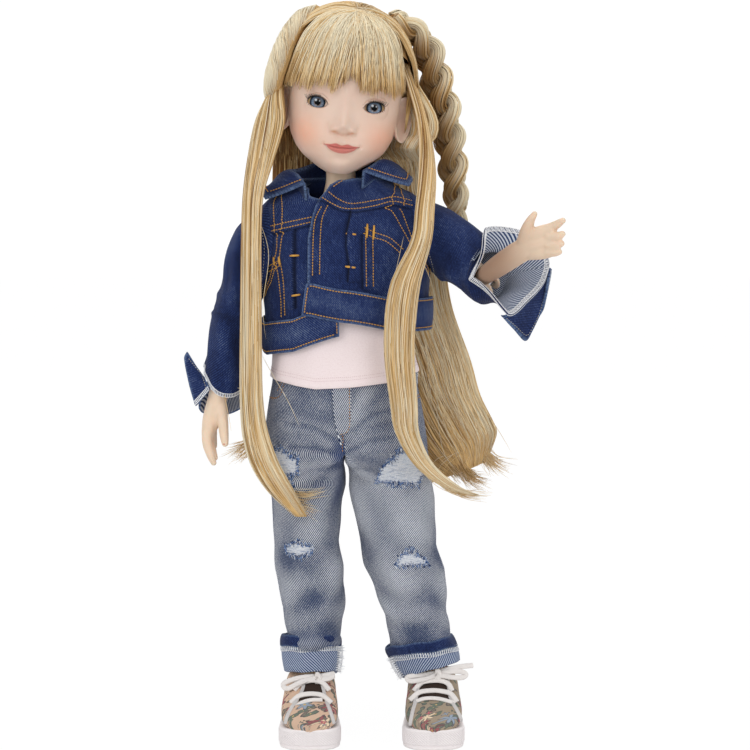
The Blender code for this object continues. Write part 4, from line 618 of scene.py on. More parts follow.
def eyeGlass():
    # Cast acrylic eye: painted iris under a clear dome; uv holds millimetres from the middle of the iris
    material, tree, shader = newMaterial("castAcrylicEye", Roughness=0.35, IOR=1.49, Specular_IOR_Level=0.06)
    spot = addNode(tree, "ShaderNodeUVMap", {"uv_map": "cloth"})
    radius = addNode(tree, "ShaderNodeVectorMath", {"operation": "LENGTH"}, {0: spot}).outputs["Value"]
    split = addNode(tree, "ShaderNodeSeparateXYZ", links={0: spot})
    turn = maths(tree, "ARCTAN2", split.outputs[1], split.outputs[0])
    rays = addNode(tree, "ShaderNodeCombineXYZ", links={0: maths(tree, "MULTIPLY", turn, 7.0),
                                                        1: maths(tree, "MULTIPLY", radius, 0.35)})
    fibres = noise(tree, rays, 1.0, 3.0, 0.6)
    blue = ramp(tree, fibres, ((0.3, "#3f5368"), (0.5, "#7488a0"), (0.72, "#b9c4cf"))).outputs[0]
    warm = mixed(tree, ramp(tree, maths(tree, "DIVIDE", radius, 3.0), ((0.48, 0.95),
        (0.74, 0.0))).outputs[0], blue, "#6b4f35")
    dark = ramp(tree, maths(tree, "DIVIDE", radius, face["iris"]), ((0.68, 0.0), (0.84, 0.95),
        (0.92, 1.0))).outputs[0]
    iris = mixed(tree, dark, warm, "#1c2430")
    shade = ramp(tree, maths(tree, "MULTIPLY_ADD", split.outputs[1], 0.16, 0.5), ((0.35, 0.0),
        (0.85, 0.55))).outputs[0]
    iris = mixed(tree, shade, iris, "#141b24")
    iris = mixed(tree, ramp(tree, maths(tree, "DIVIDE", radius, face["pupil"] * 2), ((0.46, 1.0),
        (0.54, 0.0))).outputs[0], iris, "#06070a")
    white = ramp(tree, maths(tree, "DIVIDE", radius, 8.0), ((0.5, "#cdb48e"), (0.62, "#b58a4e"))).outputs[0]
    edge = ramp(tree, maths(tree, "DIVIDE", radius, face["iris"] * 2), ((0.47, 0.0), (0.53, 1.0))).outputs[0]
    tint = mixed(tree, edge, iris, white)
    for x, y, size, share in ((-0.95, 1.05, 0.62, 0.75), (0.95, 0.75, 0.34, 0.6), (-0.6, -1.5, 0.3, 0.4)):
        # painted highlights, standing in for reflections on the eye
        gap = addNode(tree, "ShaderNodeVectorMath", {"operation": "DISTANCE", 1: (x, y, 0)}, {0: spot}).outputs["Value"]
        tint = mixed(tree, ramp(tree, gap, ((size * 0.7, share), (size * 1.2, 0.0))).outputs[0], tint, "#dfe5ea")
    tree.links.new(tint, shader.inputs["Base Color"])
    return material


def makeEyes():
    glass = eyeGlass()
    lashFibre, _, _ = newMaterial("blackNylonLash", Base_Color=colour("#160d0a"), Roughness=0.55)
    for side in ("left", "right"):
        sign = sideSign(side)
        rings, sides = 44, 48
        polar = np.linspace(0.02, math.pi - 0.02, rings)[:, None]
        turn = fullTurn(sides)[None, :]
        flat, ahead = np.sin(polar), np.cos(polar)
        ball = face["eyeBall"]
        local = np.stack([ball * flat * np.cos(turn), -ball * ahead + 0 * turn, ball * flat * np.sin(turn)], -1)
        uv = np.stack([local[..., 0] - sign * 0.1, local[..., 2] - 0.15], -1)
        behind = local[..., 1] > 0
        uv[behind] = 9.0
        local = local.reshape(-1, 3) + (face["shift"] + sign * face["eyeAcross"], face["eyeDepth"], face["eyeRise"])
        faces = gridFaces(rings, sides, closed=True).tolist()
        faces += endCaps(rings, sides)
        makePiece("eyeball_" + side, placeHead(local), faces, glass, uv=uv, body="head", instead=["eye_" + side],
                  slot="eye_acrylic")
        # lashes: fine tapered fibres along the lids' edges
        generator = np.random.default_rng(3 if side == "left" else 4)
        paths, radii = [], []
        for rowCount, upperRow, length in ((34, True, 2.5), (14, False, 0.9)):
            for k in range(rowCount):
                u = -0.9 + 1.86 * k / (rowCount - 1)
                ex = u * face["openHalfWidth"]
                top, low = lidLines(np.array([ex]))
                ez = float(top[0] if upperRow else low[0])
                r2 = (face["eyeBall"] + face["lid"]) ** 2 - ex ** 2 - ez ** 2
                y = face["eyeDepth"] - math.sqrt(max(r2, 0)) + 0.05
                lean = u * 0.9 + generator.normal(0, 0.1)
                reach = length * (0.7 + 0.7 * max(u, 0) ** 2) * (0.85 + 0.3 * generator.random())
                way = 1 if upperRow else -1
                root = np.array([face["shift"] + sign * (face["eyeAcross"] + ex), y, face["eyeRise"] + ez])
                t = np.linspace(0, 1, 7)[:, None]
                bend = np.concatenate([sign * lean * 0.62 * t * reach, -0.75 * reach * t + 0.25 * reach * t ** 2,
                                       way * reach * (0.18 * t + 0.42 * t ** 2)], 1)
                paths.append(placeHead(root + bend))
                radii.append(np.linspace(0.15, 0.04, 7) * mm)
        tubes(f"lashes_{side}", np.array(paths), np.array(radii), lashFibre, body="head", sides=4)


def tubePoints(paths, radii, sides):
    # rings of points round many paths: count x steps x sides x 3
    way = unit(np.gradient(paths, axis=1))
    hint = np.array((0.1, 1, 0.2))
    along = unit(hint - way * (way @ hint)[..., None])
    across = np.cross(along, way)
    turn = fullTurn(sides)
    ring = (across[:, :, None] * np.cos(turn)[None, None, :, None]
            + along[:, :, None] * np.sin(turn)[None, None, :, None])
    return paths[:, :, None] + ring * np.asarray(radii)[:, :, None, None]


def tubes(name, paths, radii, material, body=None, sides=3, masks=None, **more):
    # one mesh of many thin tapering tubes: paths count x steps x 3 in metres
    count, steps = paths.shape[:2]
    points = tubePoints(paths, radii, sides)
    one = gridFaces(steps, sides, closed=True)
    faces = (one[None] + (np.arange(count) * steps * sides)[:, None, None]).reshape(-1, 4).tolist()
    for k in range(count):
        start = k * steps * sides
        faces.append(tuple(start + i for i in reversed(range(sides))))
        faces.append(tuple(start + (steps - 1) * sides + i for i in range(sides)))
    full = {key: np.repeat(np.broadcast_to(np.asarray(value, float), (count, steps))[..., None], sides, 2)
            for key, value in (masks or {}).items()}
    return makePiece(name, points, faces, material, masks=full, body=body, **more)


skin = makeHead()
for side in ("left", "right"):
    local, faces = earShape(sideSign(side))
    ear = makePiece("ear_" + side, placeHead(local), faces, vinyl, body="head", slot="vinyl_skin")
    addModifier(ear, "SUBSURF", levels=1, render_levels=1)
makeEyes()
print("head ready")


# Hair: combed nylon fibre, rooted and plaited

hair = {  # fibre thickness in millimetres, drawn about three times as thick as it is so that it shows
    "fibre": 0.2, "dark": "#8a5b28", "base": "#efca8b", "light": "#fff3d6",
    "whorl": (2.0, -9.0, 62.5), "fringeEdge": 25.8, "seed": 11,
}


def nylonFibre(name, streaked=False):
    material, tree, shader = newMaterial(name, Roughness=0.45, IOR=1.53, Specular_IOR_Level=0.25)
    if streaked:
        place = clothPlace(tree, scale=(1, 0.05, 1))
        tone = ramp(tree, noise(tree, place, 0.8, 4.0, 0.65), ((0.3, 0.1), (0.7, 0.85))).outputs[0]
        # painted shade: the mass under the fibres is kept darker than they are
        tone = maths(tree, "MULTIPLY", tone, 0.7)
        bump(tree, shader, tone, 0.4, 0.8)
    else:
        tone = mask(tree, "tone")
    tint = ramp(tree, tone, ((0.05, hair["dark"]), (0.5, hair["base"]), (0.95, hair["light"]))).outputs[0]
    # painted shade: fibres deep in a lock, under other strands or near their roots are mixed towards the dark tone
    if not streaked:
        tint = mixed(tree, mask(tree, "fibreShade"), tint, hair["dark"])
    tree.links.new(tint, shader.inputs["Base Color"])
    return material


fibre = nylonFibre("combedNylonFibre")
fibreMass = nylonFibre("combedNylonMass", streaked=True)


def ontoScalp(way, lift):
    # where a ray from inside the head meets the scalp, in head-local millimetres
    middle = np.array([0.0, 4.0, 22.0])
    way = unit(way)
    low, high = np.zeros(way.shape[:-1]), np.full(way.shape[:-1], 70.0)
    for _ in range(24):
        reach = (low + high) / 2
        point = middle + way * reach[..., None]
        share = (point[..., 2] + head["chinDrop"]) / headTall
        width, front, back = headSizesAt(share)
        depth = np.where(point[..., 1] < 0, front * head["front"], back * head["back"])
        size = (np.abs(point[..., 0] / (width * head["halfWidth"])) ** head["power"]
                + np.abs(point[..., 1] / depth) ** head["power"])
        inside = (size < 1) & (share > 0) & (share < 0.995)
        low, high = np.where(inside, reach, low), np.where(inside, high, reach)
    return middle + way * (low + lift)[..., None]


def slerp(first, last, t):
    first, last = unit(first), unit(last)
    angle = np.arccos(np.clip((first * last).sum(-1), -0.9999, 0.9999))[..., None, None]
    t = t[None, :, None]
    return (np.sin((1 - t) * angle) * first[:, None] + np.sin(t * angle) * last[:, None]) / np.sin(angle)


def curveThrough(points, count):
    # smooth curve through a few places, evenly spread by length
    points = np.asarray(points, float)
    spans = len(points) - 1
    fine = splineAt(points, np.linspace(0, spans, 40 * spans + 1))
    length = runOf(fine[:, :3])
    at = np.linspace(0, length[-1], count)
    return np.stack([np.interp(at, length, fine[:, c]) for c in range(fine.shape[1])], 1)


def strandTones(generator, count, middle=0.55, spread=0.2):
    # neighbours differ a little and clumps differ more
    clump = np.interp(np.arange(count), np.linspace(0, count, max(count // 5, 3)),
                      generator.normal(0, 1, max(count // 5, 3)))
    return np.clip(middle + spread * (0.6 * clump + 0.75 * generator.normal(0, 1, count)), 0, 1)


longHairCuts = {"levels": (263 * mm, 243 * mm),
                "blends": (("head", "head_plug", 292, 270), ("head_plug", "neck_link", 258, 248),
                           ("neck_link", "torso", 240, 218))}


def hangingPieces(name, points, cutAt, steps, sides, count, material, masks, instead, uv=None):
    # splits long hair across the three neck joints at shared rings
    ends = [0] + list(cutAt) + [steps - 1]
    for part, (low, high) in enumerate(zip(ends, ends[1:])):
        rows = high - low + 1
        cutPoints = points[:, low:high + 1].reshape(-1, 3)
        one = gridFaces(rows, sides, closed=True)
        faces = (one[None] + (np.arange(count) * rows * sides)[:, None, None]).reshape(-1, 4).tolist()
        for k in range(count):
            start = k * rows * sides
            if part == 0:
                faces.append(tuple(start + i for i in reversed(range(sides))))
            if part == len(ends) - 2:
                faces.append(tuple(start + (rows - 1) * sides + i for i in range(sides)))
        cutMasks = {key: np.repeat(value[:, low:high + 1, None], sides, 2) for key, value in masks.items()}
        cutUv = None if uv is None else uv[:, low:high + 1].reshape(-1, 2)
        first, second, top, bottom = longHairCuts["blends"][part]
        makePiece(f"{name}_{part + 1}", cutPoints, faces, material, masks=cutMasks, uv=cutUv,
                  instead=instead if part == 0 else (), slot="blond_hair",
                  blend=(first, second, (0, 0, top * mm), (0, 0, bottom * mm)))


def fibreLoft(name, rings, count, seed, instead, tone, spread, ragged, wander=0.5, steps=56, core=0.86, fill=0.35,
              lean=0.0, pale=0.0):
    # fibres that follow a lofted lock: rings are rows of points round it, in metres
    generator = np.random.default_rng(hair["seed"] + seed)
    rings = np.asarray(rings, float)
    rows, around = rings.shape[:2]
    shape = splineAt(rings, np.linspace(0, rows - 1, steps))
    length = runOf(shape.mean(1))
    length /= length[-1]
    even = np.linspace(0, 1, steps)
    shape = np.stack([[np.interp(even, length, shape[:, i, c]) for c in range(3)] for i in range(around)],
                     0).transpose(2, 0, 1)
    middle = shape.mean(1)
    wrapped = np.concatenate([shape, shape[:, :1]], 1)
    place = np.sort(generator.random(count) * around)
    depth = 1 - fill * generator.random(count) ** 1.6
    drift = generator.normal(0, wander, count)[:, None] * np.sin(even[None] * generator.uniform(2, 6, count)[:, None]
                                                                 + generator.random(count)[:, None] * 6.3)
    spot = (place[:, None] + drift) % around
    base = spot.astype(int) % around
    share = (spot - spot.astype(int))[..., None]
    row = np.arange(steps)[None]
    rim = wrapped[row, base] * (1 - share) + wrapped[row, base + 1] * share
    paths = middle[None] + (rim - middle[None]) * depth[:, None, None]
    # ragged ends: some fibres stop short
    stop = 1 - ragged * generator.random(count) ** 1.5
    pull = 0.68
    at = np.where(even[None] > pull, pull + (even[None] - pull) * ((stop[:, None] - pull) / (1 - pull)), even[None])
    lower = np.minimum((at * (steps - 1)).astype(int), steps - 2)
    part = (at * (steps - 1) - lower)[..., None]
    index = np.arange(count)[:, None]
    paths = paths[index, lower] * (1 - part) + paths[index, lower + 1] * part
    radius = hair["fibre"] * mm * generator.uniform(0.75, 1.25, count)[:, None]
    taper = np.clip(np.minimum(even * 14 + 0.35, (1 - even) * 9 + 0.25), 0, 1)[None]
    tones = strandTones(generator, count, tone, spread)[:, None] + 0.07 * np.sin(even[None] * 9 + place[:, None])
    angle = 2 * math.pi * place[:, None] / around
    tones += lean * np.cos(angle) * (1 - smoothStep(-0.6, 0.3, np.sin(angle))) + pale * even[None] ** 1.5
    # painted shade: fibres that lie deeper inside the lock are darker
    fibreShade = 0.9 * np.clip(1 - depth, 0, 1)[:, None] * 1.2
    masks = {"tone": np.clip(tones, 0, 1), "fibreShade": np.clip(fibreShade + 0 * tones, 0, 0.85)}
    # the core keeps light from showing through
    coreRings = middle[:, None] + (shape - middle[:, None]) * core
    cuts = [int(np.argmin(np.abs(middle[:, 2] - level))) for level in longHairCuts["levels"]]
    hangingPieces(name, tubePoints(paths, radius * taper, 3), cuts, steps, 3, count, fibre, masks, instead)
    uv = np.stack(np.broadcast_arrays(np.arange(around)[None, None] * 3.0, even[None, :, None] * 150), -1)
    hangingPieces(name + "_core", coreRings[None], cuts, steps, around, 1, fibreMass, {}, (), uv=uv)


def lockRings(stations, around=14):
    # stations: x, y, z of the middle, half width, half depth and how far the flat side turns, in mm and degrees
    rings = []
    for x, y, z, wide, deep, turned in stations:
        turn = fullTurn(around)
        u, v = wide * np.cos(turn), deep * np.sin(turn)
        c, s = math.cos(math.radians(turned)), math.sin(math.radians(turned))
        rings.append(np.stack([x + u * c - v * s, y + u * s + v * c, np.full(around, float(z))], -1) * mm)
    return rings


def plait(name, route, width, period, count, seed, instead, tone, flat=0.62):
    # three-strand plait: each strand weaves from side to side and over the middle
    generator = np.random.default_rng(hair["seed"] + seed)
    steps = len(route)
    route = np.asarray(route)
    way = unit(np.gradient(route, axis=0))
    outward = route - (np.array(neckPivot) + np.array([0, 4, 25]) * mm)
    outward -= way * (outward * way).sum(1)[:, None]
    outward = unit(outward)
    across = np.cross(outward, way)
    length = runOf(route) / mm
    size = np.interp(np.arange(steps), np.arange(len(width)) * (steps - 1) / (len(width) - 1), width)
    paths, tones, fibreShades, cores = [], [], [], []
    for k in range(3):
        phase = 2 * math.pi * (length / period + k / 3)
        side, over = size * 0.52 * np.sin(phase), size * flat * 0.55 * np.sin(2 * phase)
        centre = route + (across * side[:, None] + outward * over[:, None]) * mm
        lie = unit(np.gradient(centre, axis=0))
        up = unit(outward - lie * (outward * lie).sum(1)[:, None])
        flatWay = np.cross(up, lie)
        strand = strandTones(generator, count, tone, 0.17)
        for i in range(count):
            turn, reach = 2 * math.pi * i / count, math.sqrt(generator.uniform(0.45, 1.0))
            u = size * 0.46 * reach * math.cos(turn)
            v = size * 0.33 * reach * math.sin(turn)
            paths.append(centre + (flatWay * u[:, None] + up * v[:, None]) * mm)
            # painted light and shade: a strand is lighter where it rides over the others and darker where it passes
            # under; fibres on its under side are darker too
            tones.append(np.full(steps, strand[i]) + 0.25 * np.clip(np.sin(2 * phase), -1, 1))
            fibreShades.append(np.clip(0.25 - 0.5 * np.sin(2 * phase), 0, 0.7) * 0.7 + 0.2 * (math.sin(turn) < -0.2))
        # one thick fibre in the middle of each strand keeps light from showing through; its dark tone is painted shade
        cores.append(centre)
    radius = np.concatenate([np.full((len(paths), steps), 0.34 * mm), np.tile(size * 0.27 * mm, (3, 1))])
    paths += cores
    masks = {"tone": np.clip(np.array(tones + [np.full(steps, 0.25)] * 3), 0, 1),
             "fibreShade": np.clip(np.array(fibreShades + [np.full(steps, 0.6)] * 3), 0, 0.85)}
    tubes(name, np.array(paths), radius, fibre, body="head", masks=masks, instead=instead, slot="blond_hair")


def makeScalpHair():
    generator = np.random.default_rng(hair["seed"])
    middle = np.array([0.0, 4.0, 22.0])
    # under layer: a smooth cap that the fibres lie on
    turn = np.radians(np.linspace(0, 360, 72, endpoint=False))[None]
    rows = 30
    heights = np.linspace(88, -22, rows)[:, None]
    frontLimit = np.radians(np.clip(46 - 10 * np.abs(np.degrees(turn) - 270) / 60, 24, 60))
    tilt = np.radians(heights) + 0 * turn
    facing = np.sin(turn) < -0.3
    tilt = np.where(facing & (tilt < frontLimit), frontLimit, tilt)
    way = np.stack([np.cos(tilt) * np.cos(turn), np.cos(tilt) * np.sin(turn), np.sin(tilt)], -1)
    local = ontoScalp(way, 5.0)
    uv = np.stack(np.broadcast_arrays(np.degrees(turn) * 0.6, heights), -1)
    faces = gridFaces(rows, 72, closed=True).tolist() + [tuple(range(72))]
    makePiece("scalpHair_core", placeHead(local), [tuple(reversed(f)) for f in faces], fibreMass, uv=uv, body="head",
              slot="blond_hair")
    # fibres from the whorl to the hairline
    whorl = np.array(hair["whorl"]) - middle
    count = 1500
    place = np.sort(generator.uniform(-20, 200, count))
    ends = []
    for angle in place:
        a = math.radians(angle)
        # behind the ears down to the nape, in front of them to the temples
        low = -0.42 if 12 < angle < 168 else (-0.1 if -4 < angle < 184 else 0.32)
        ends.append((math.cos(a), math.sin(a), low + generator.uniform(-0.06, 0.06)))
    ends = np.array(ends)
    roots = whorl + generator.normal(0, 1.6, (count, 3)) * (1, 1.8, 0.3)
    t = np.linspace(0, 1, 34)
    path = slerp(roots, ends, t)
    lift = 4.6 + 3.4 * np.sin(np.clip(t * 2.4, 0, 1) * math.pi / 2)[None] + generator.uniform(-0.8, 0.4, count)[:, None]
    local = ontoScalp(path, lift)
    tones = strandTones(generator, count, 0.56, 0.2)
    radius = (hair["fibre"] * mm * generator.uniform(0.8, 1.3, count))[:, None] * np.clip(t * 8 + 0.4, 0, 1)[None]
    # painted shade: darker close to the roots at the whorl
    fibreShade = np.clip(0.9 - t * 9, 0, 0.75)[None] * np.ones((count, 1))
    tubes("scalpHair", placeHead(local).reshape(count, -1, 3), radius, fibre, body="head", instead=["hair_cap"],
          masks={"tone": tones[:, None] - 0.16 * smoothStep(0.5, 1, t)[None], "fibreShade": fibreShade}, slot="blond_hair")
    # fringe: from the whorl over the brow, uneven at its edge, with a gap near the middle
    count = 760
    place = np.sort(generator.uniform(-160, -20, count))
    x = np.cos(np.radians(place))
    gap = np.exp(-((place + 87) / 5.5) ** 2) * 5.5
    edge = hair["fringeEdge"] + gap + 1.0 * np.sin(place * 0.21) + 0.9 * np.sin(place * 0.53 + 1) \
        + generator.uniform(-1.1, 1.6, count) + 1.2 * smoothStep(0.75, 0.95, np.abs(x))
    share = (edge + head["chinDrop"]) / headTall
    hem = headShape(place, share) - middle
    roots = whorl + generator.normal(0, 1.4, (count, 3)) * (1.6, 0.6, 0.3)
    path = slerp(roots, hem, t)
    bulge = 4.2 + 3.4 * np.sin(np.clip(t * 1.5, 0, 1) * math.pi) - 1.6 * smoothStep(0.6, 1.0, t)
    lift = bulge[None] * 0.8 + 1.0 + generator.uniform(-0.7, 0.9, count)[:, None]
    local = ontoScalp(path, lift)
    sway = (generator.normal(0, 0.55, count)[:, None] * np.sin(t * 5 + place[:, None] * 0.3) * t[None])
    local[..., 0] += sway
    # painted highlight: a lighter band a third of the way down the fringe; the tone darkens towards the ends, and
    # painted shade darkens the roots
    tones = strandTones(generator, count, 0.84, 0.28)[:, None] - 0.36 * smoothStep(0.55, 1.0, t)[None] \
        + 0.16 * np.exp(-((t - 0.35) / 0.2) ** 2)[None]
    radius = (hair["fibre"] * mm * generator.uniform(0.75, 1.15,
                                                     count))[:, None] * np.clip(np.minimum(t * 8 + 0.4,
                                                                                           (1 - t) * 7 + 0.22), 0,
                                                                                           1)[None]
    tubes("fringeHair", placeHead(local).reshape(count, -1, 3), radius, fibre, body="head", instead=["fringe"],
          masks={"tone": np.clip(tones, 0, 1), "fibreShade": np.clip(0.8 - t * 9, 0, 0.6)[None] * np.ones((count, 1))},
          slot="blond_hair")


def crownTwist(route):
    # hair rolled back from the face: fibres cross the roll in arcs and run on along it
    generator = np.random.default_rng(hair["seed"] + 31)
    steps = len(route)
    way = unit(np.gradient(route, axis=0))
    outward = route - (np.array(neckPivot) + np.array([0, 4, 22]) * mm)
    outward -= way * (outward * way).sum(1)[:, None]
    outward = unit(outward)
    across = np.cross(outward, way)
    size = np.interp(np.linspace(0, 1, steps), (0, 0.12, 0.4, 0.75, 0.9, 1), (3.0, 5.6, 6.4, 6.0, 4.6, 2.6)) * mm
    count, length = 620, 26
    start = np.sort(generator.uniform(-0.12, 0.9, count))
    t = np.linspace(0, 1, length)
    along = np.clip(start[:, None] + (0.16 + 0.12 * t[None]) * t[None] * generator.uniform(0.8, 1.2, count)[:, None],
                    0, 1)
    turn = np.radians(205 - 215 * t[None] + generator.uniform(-14, 14, count)[:, None])
    clump = 0.5 + 0.5 * np.sin(start * 95)
    reach = (1 + 0.10 * clump - 0.08 * generator.random(count))[:, None] * (1 - 0.3 * t[None] ** 4)
    spot = along * (steps - 1)
    on, over, out = (readAt(spot, np.arange(steps), rows) for rows in (route, across, outward))
    wide = (np.interp(spot, np.arange(steps), size) * reach)[..., None]
    paths = on + over * wide * np.cos(turn)[..., None] + out * wide * np.sin(turn)[..., None] * 0.8
    tones = strandTones(generator, count, 0.95, 0.16)[:, None] + 0.3 * (clump[:, None] - 0.5) + 0 * t[None]
    # painted shade: darker on one side of the roll and between clumps
    fibreShades = 0.3 * (np.abs(np.cos(turn)) ** 3) * (np.cos(turn) > 0) * (t[None] > 0.4) + 0.3 * (1 - clump[:, None]) ** 3
    radius = hair["fibre"] * mm * np.ones((count, 1)) * np.clip(np.minimum(t * 9 + 0.4, (1 - t) * 9 + 0.3), 0, 1)[None]
    tubes("crownTwist", paths, radius, fibre, body="head", masks={"tone": np.clip(tones, 0, 1),
                                                                  "fibreShade": np.clip(fibreShades, 0, 0.8)},
          instead=["braid_right"], slot="blond_hair")
    turnRing = fullTurn(16)
    core = route[:, None] + across[:, None] * (size[:, None] * 0.86 * np.cos(turnRing)[None])[..., None] \
        + outward[:, None] * (size[:, None] * 0.68 * np.sin(turnRing)[None])[..., None]
    uv = np.stack(np.broadcast_arrays(np.arange(16)[None] * 2.4, np.linspace(0, 60, steps)[:, None]), -1)
    makePiece("crownTwist_core", core, gridFaces(steps, 16, closed=True).tolist(), fibreMass, uv=uv, body="head",
              slot="blond_hair")


def makePlaits():
    # crown twist on the doll's right, along the hairline
    route = curveThrough(((-28.5, 10.0, 369.3), (-35.8, 4.0, 364.0), (-42.1, -1.0, 354.9), (-46.5, -3.0, 344.0),
        (-49.7, 0.0, 333.8), (-50.0, 16.0, 325.3), (-43.6, 34.0, 320.6)), 90) * mm
    crownTwist(route)
    # hanging plait on the doll's left
    route = curveThrough(((8.5, 16.0, 365.7), (15.7, 21.0, 362.0), (22.9, 26.0, 355.8), (28.1, 30.0, 345.9),
        (32.2, 32.0, 331.8), (35.9, 33.0, 318.6), (38.6, 35.0, 302.8), (40.8, 37.0, 286.3), (42.0, 41.0, 273.4),
            (42.8, 46.0, 263.4)), 160) * mm
    plait("hangingPlait", route, (6.5, 10, 11.4, 11.8, 11.6, 11.2, 10.6, 9.8, 8.6), 45.0, 40, 37, ["braid_left"],
          tone=0.7)


def makeLocks():
    # front lock on the doll's right, straight and pale, curling in at its end
    stations = [(-47.5, 5, 334, 3, 2, -66), (-50, 2, 325, 7.5, 3, -55), (-52.5, -2, 312, 9.5, 3.4, -35),
                (-57, -7, 293, 6.8, 3.3, -14), (-60, -12, 278, 5.2, 3.1, -4), (-61, -13, 262, 4.9, 3.0, 0),
            (-61.5, -13, 222, 5.2, 2.9, 0),
                (-61.5, -12, 173, 5.8, 2.8, 0), (-57, -13, 148, 7.2, 2.8, 0), (-48, -15, 131, 7, 2.6, 0),
            (-37, -16, 117, 3.5, 1.6, 0)]
    fibreLoft("frontLockRight", lockRings(stations), 420, 1, ["hair_front_right"], tone=0.46, spread=0.32, ragged=0.3,
              pale=0.3)
    stations = [(14.5, 6, 342, 2.4, 1.6, 66), (18.2, 5, 332, 3.2, 2.0, 62), (22.6, 3, 318, 3.4, 2.2, 55),
        (25.2, -1, 304, 3.8, 2.5, 40),
                (26, -8, 288, 4.4, 2.7, 15), (24.6, -16, 270, 4.8, 2.8, 0), (22.8, -21, 255, 5.2, 2.8, 0),
            (14.5, -23, 232, 7.6, 2.9, 0),
                (12, -24, 203, 7.6, 2.9, 0), (14.5, -23, 173, 6.8, 2.7, 0), (16, -21, 160, 6, 2.5, 0),
            (24, -19, 144, 5, 2.3, 0),
                (38, -16, 132, 4.6, 2.0, 0), (51, -12, 127, 1.8, 1.0, 0)]
    fibreLoft("frontLockLeft", lockRings(stations), 400, 2, ["hair_front_left"], tone=0.47, spread=0.32, ragged=0.3,
              pale=0.36)
    # back hair: hugs the head, then hangs behind the jacket and sweeps to the doll's left
    around = 40
    turn = fullTurn(around)
    rings = []
    for share, over, wrap, aside in ((0.62, 3.6, 2.0, 4), (0.5, 6.4, 3.2, 8), (0.4, 8.6, 4.0, 11),
        (0.3, 10.2, 4.6, 11), (0.2, 10.8, 5.0, 8.5)):
        rise = -head["chinDrop"] + share * headTall
        width, _, back = headSizesAt(share)
        wide, deep = width * head["halfWidth"] + over, back * head["back"] + over
        c, s = np.cos(turn), np.sin(turn)
        x = wide * np.sign(c) * np.abs(c) ** 0.93 + aside * np.clip(c, 0, 1)
        y = np.where(s < 0, wrap, deep) * np.sign(s) * np.abs(s) ** 0.93
        # the fall's thickness is that of a shell: its inner side follows the head from behind
        y = np.where(s < 0, deep - 9 - (deep - 5) * np.clip(np.abs(x) / wide, 0, 1) ** 2.2, y)
        rings.append(placeHead(np.stack([x, y, np.full(around, rise)], -1)))
    for z, x, wide, y, deep in ((292, -12, 41, 43, 7.5), (276, -11.5, 41.5, 43, 6.5), (250, -6.5, 42, 43, 6),
        (219, 1.5, 38.5, 43, 6),
                                (190, 12, 38, 43, 6), (172, 18.5, 36.5, 42.5, 6), (153, 28, 34, 42, 5.5),
            (141, 36, 28, 41, 4), (131, 44, 15, 40, 1.2)):
        c, s = np.cos(turn), np.sin(turn)
        rings.append(np.stack([x + wide * np.sign(c) * np.abs(c) ** 0.8, y + deep * s,
                               z + 0.4 * smoothStep(165, 135, z) * wide * c], -1) * mm)
    fibreLoft("backHair", rings, 1800, 3, ["hair_back"], tone=0.38, spread=0.34, ragged=0.2, wander=0.8, steps=60,
              fill=0.12, core=0.94, lean=0.5)


wisps = {  # fly-away hairs: a line, how many, how far they fan out in millimetres, tone
    "rightEnd": (((-61.1, -1.0, 161.1), (-62.1, -1.0, 154.5), (-68.3, 0.0, 149.3),
        (-75.5, 1.0, 145.6)), 46, 2.6, 0.62),
    "rightFan": (((-60.1, 0.0, 157.5), (-62.2, 0.0, 151.3), (-66.8, 0.0, 145.7), (-71.9, 1.0, 142.5)), 30, 2.6, 0.55),
    "rightTip": (((-54.1, -2.0, 137.3), (-45.9, -6.0, 129.8), (-35.7, -9.0, 126.7),
        (-23.6, -12.0, 129.7)), 34, 2.2, 0.72),
    "rightLow": (((-52.1, -2.0, 134.3), (-44.9, -6.0, 126.7), (-37.7, -9.0, 121.6),
        (-28.6, -12.0, 118.1)), 34, 2.6, 0.66),
    "leftTip": (((27.7, -6.0, 138.9), (35.3, -4.0, 130.5), (45.0, -2.0, 126.1), (58.3, 0.0, 125.3)), 40, 1.8, 0.7),
    "backEnd": (((49.8, 41.0, 153.1), (56.2, 41.0, 143.6), (61.4, 40.0, 136.3), (68.7, 39.0, 132.8)), 130, 3.4, 0.6),
    "backLow": (((39.3, 40.0, 148.0), (44.6, 39.0, 136.5), (49.8, 39.0, 128.5), (58.2, 38.0, 125.0)), 150, 3.4, 0.45),
    "backInner": (((33.0, 40.0, 153.3), (36.2, 39.0, 140.2), (40.4, 39.0, 132.3),
        (47.7, 38.0, 126.0)), 110, 3.0, 0.4),
    "backLoops": (((49.7, 39.0, 152.3), (43.5, 38.0, 141.9), (36.6, 37.0, 136.8), (33.0, 37.0, 128.3)), 9, 4.5, 0.85),
}
strays = (  # single thin hairs lying over the clothes
    ((-56.5, -7.0, 197.2), (-44.4, -11.0, 176.0), (-37.4, -13.0, 161.2)), ((-79.1, 6.0, 184.8),
        (-74.7, -7.0, 174.5), (-71.7, -8.0, 160.5), (-69.9, -6.0, 151.1)),
    ((-82.0, -2.0, 184.1), (-67.9, -3.0, 180.2), (-56.7, -5.0, 184.4)), ((-62.5, 0.0, 274.3),
        (-53.0, -12.0, 249.9), (-56.0, -14.0, 220.3), (-52.4, -10.0, 189.0)),
    ((14.4, -8.0, 256.7), (8.4, -15.0, 230.3), (4.5, -16.0, 200.6)), ((21.5, -4.0, 249.6), (30.6, -2.0, 224.4),
        (27.6, -2.0, 198.2)),
    ((-52.8, -8.0, 131.1), (-37.6, -13.0, 130.4), (-22.0, -13.0, 130.9)), ((31.7, 32.0, 167.4),
        (36.5, 34.0, 140.9), (49.7, 36.0, 127.4)),
    ((49.7, 40.0, 174.4), (64.4, 39.0, 153.4), (76.0, 38.0, 132.4)), ((37.1, 38.0, 153.5), (49.7, 38.0, 143.0),
        (40.4, 38.0, 127.1)),
)


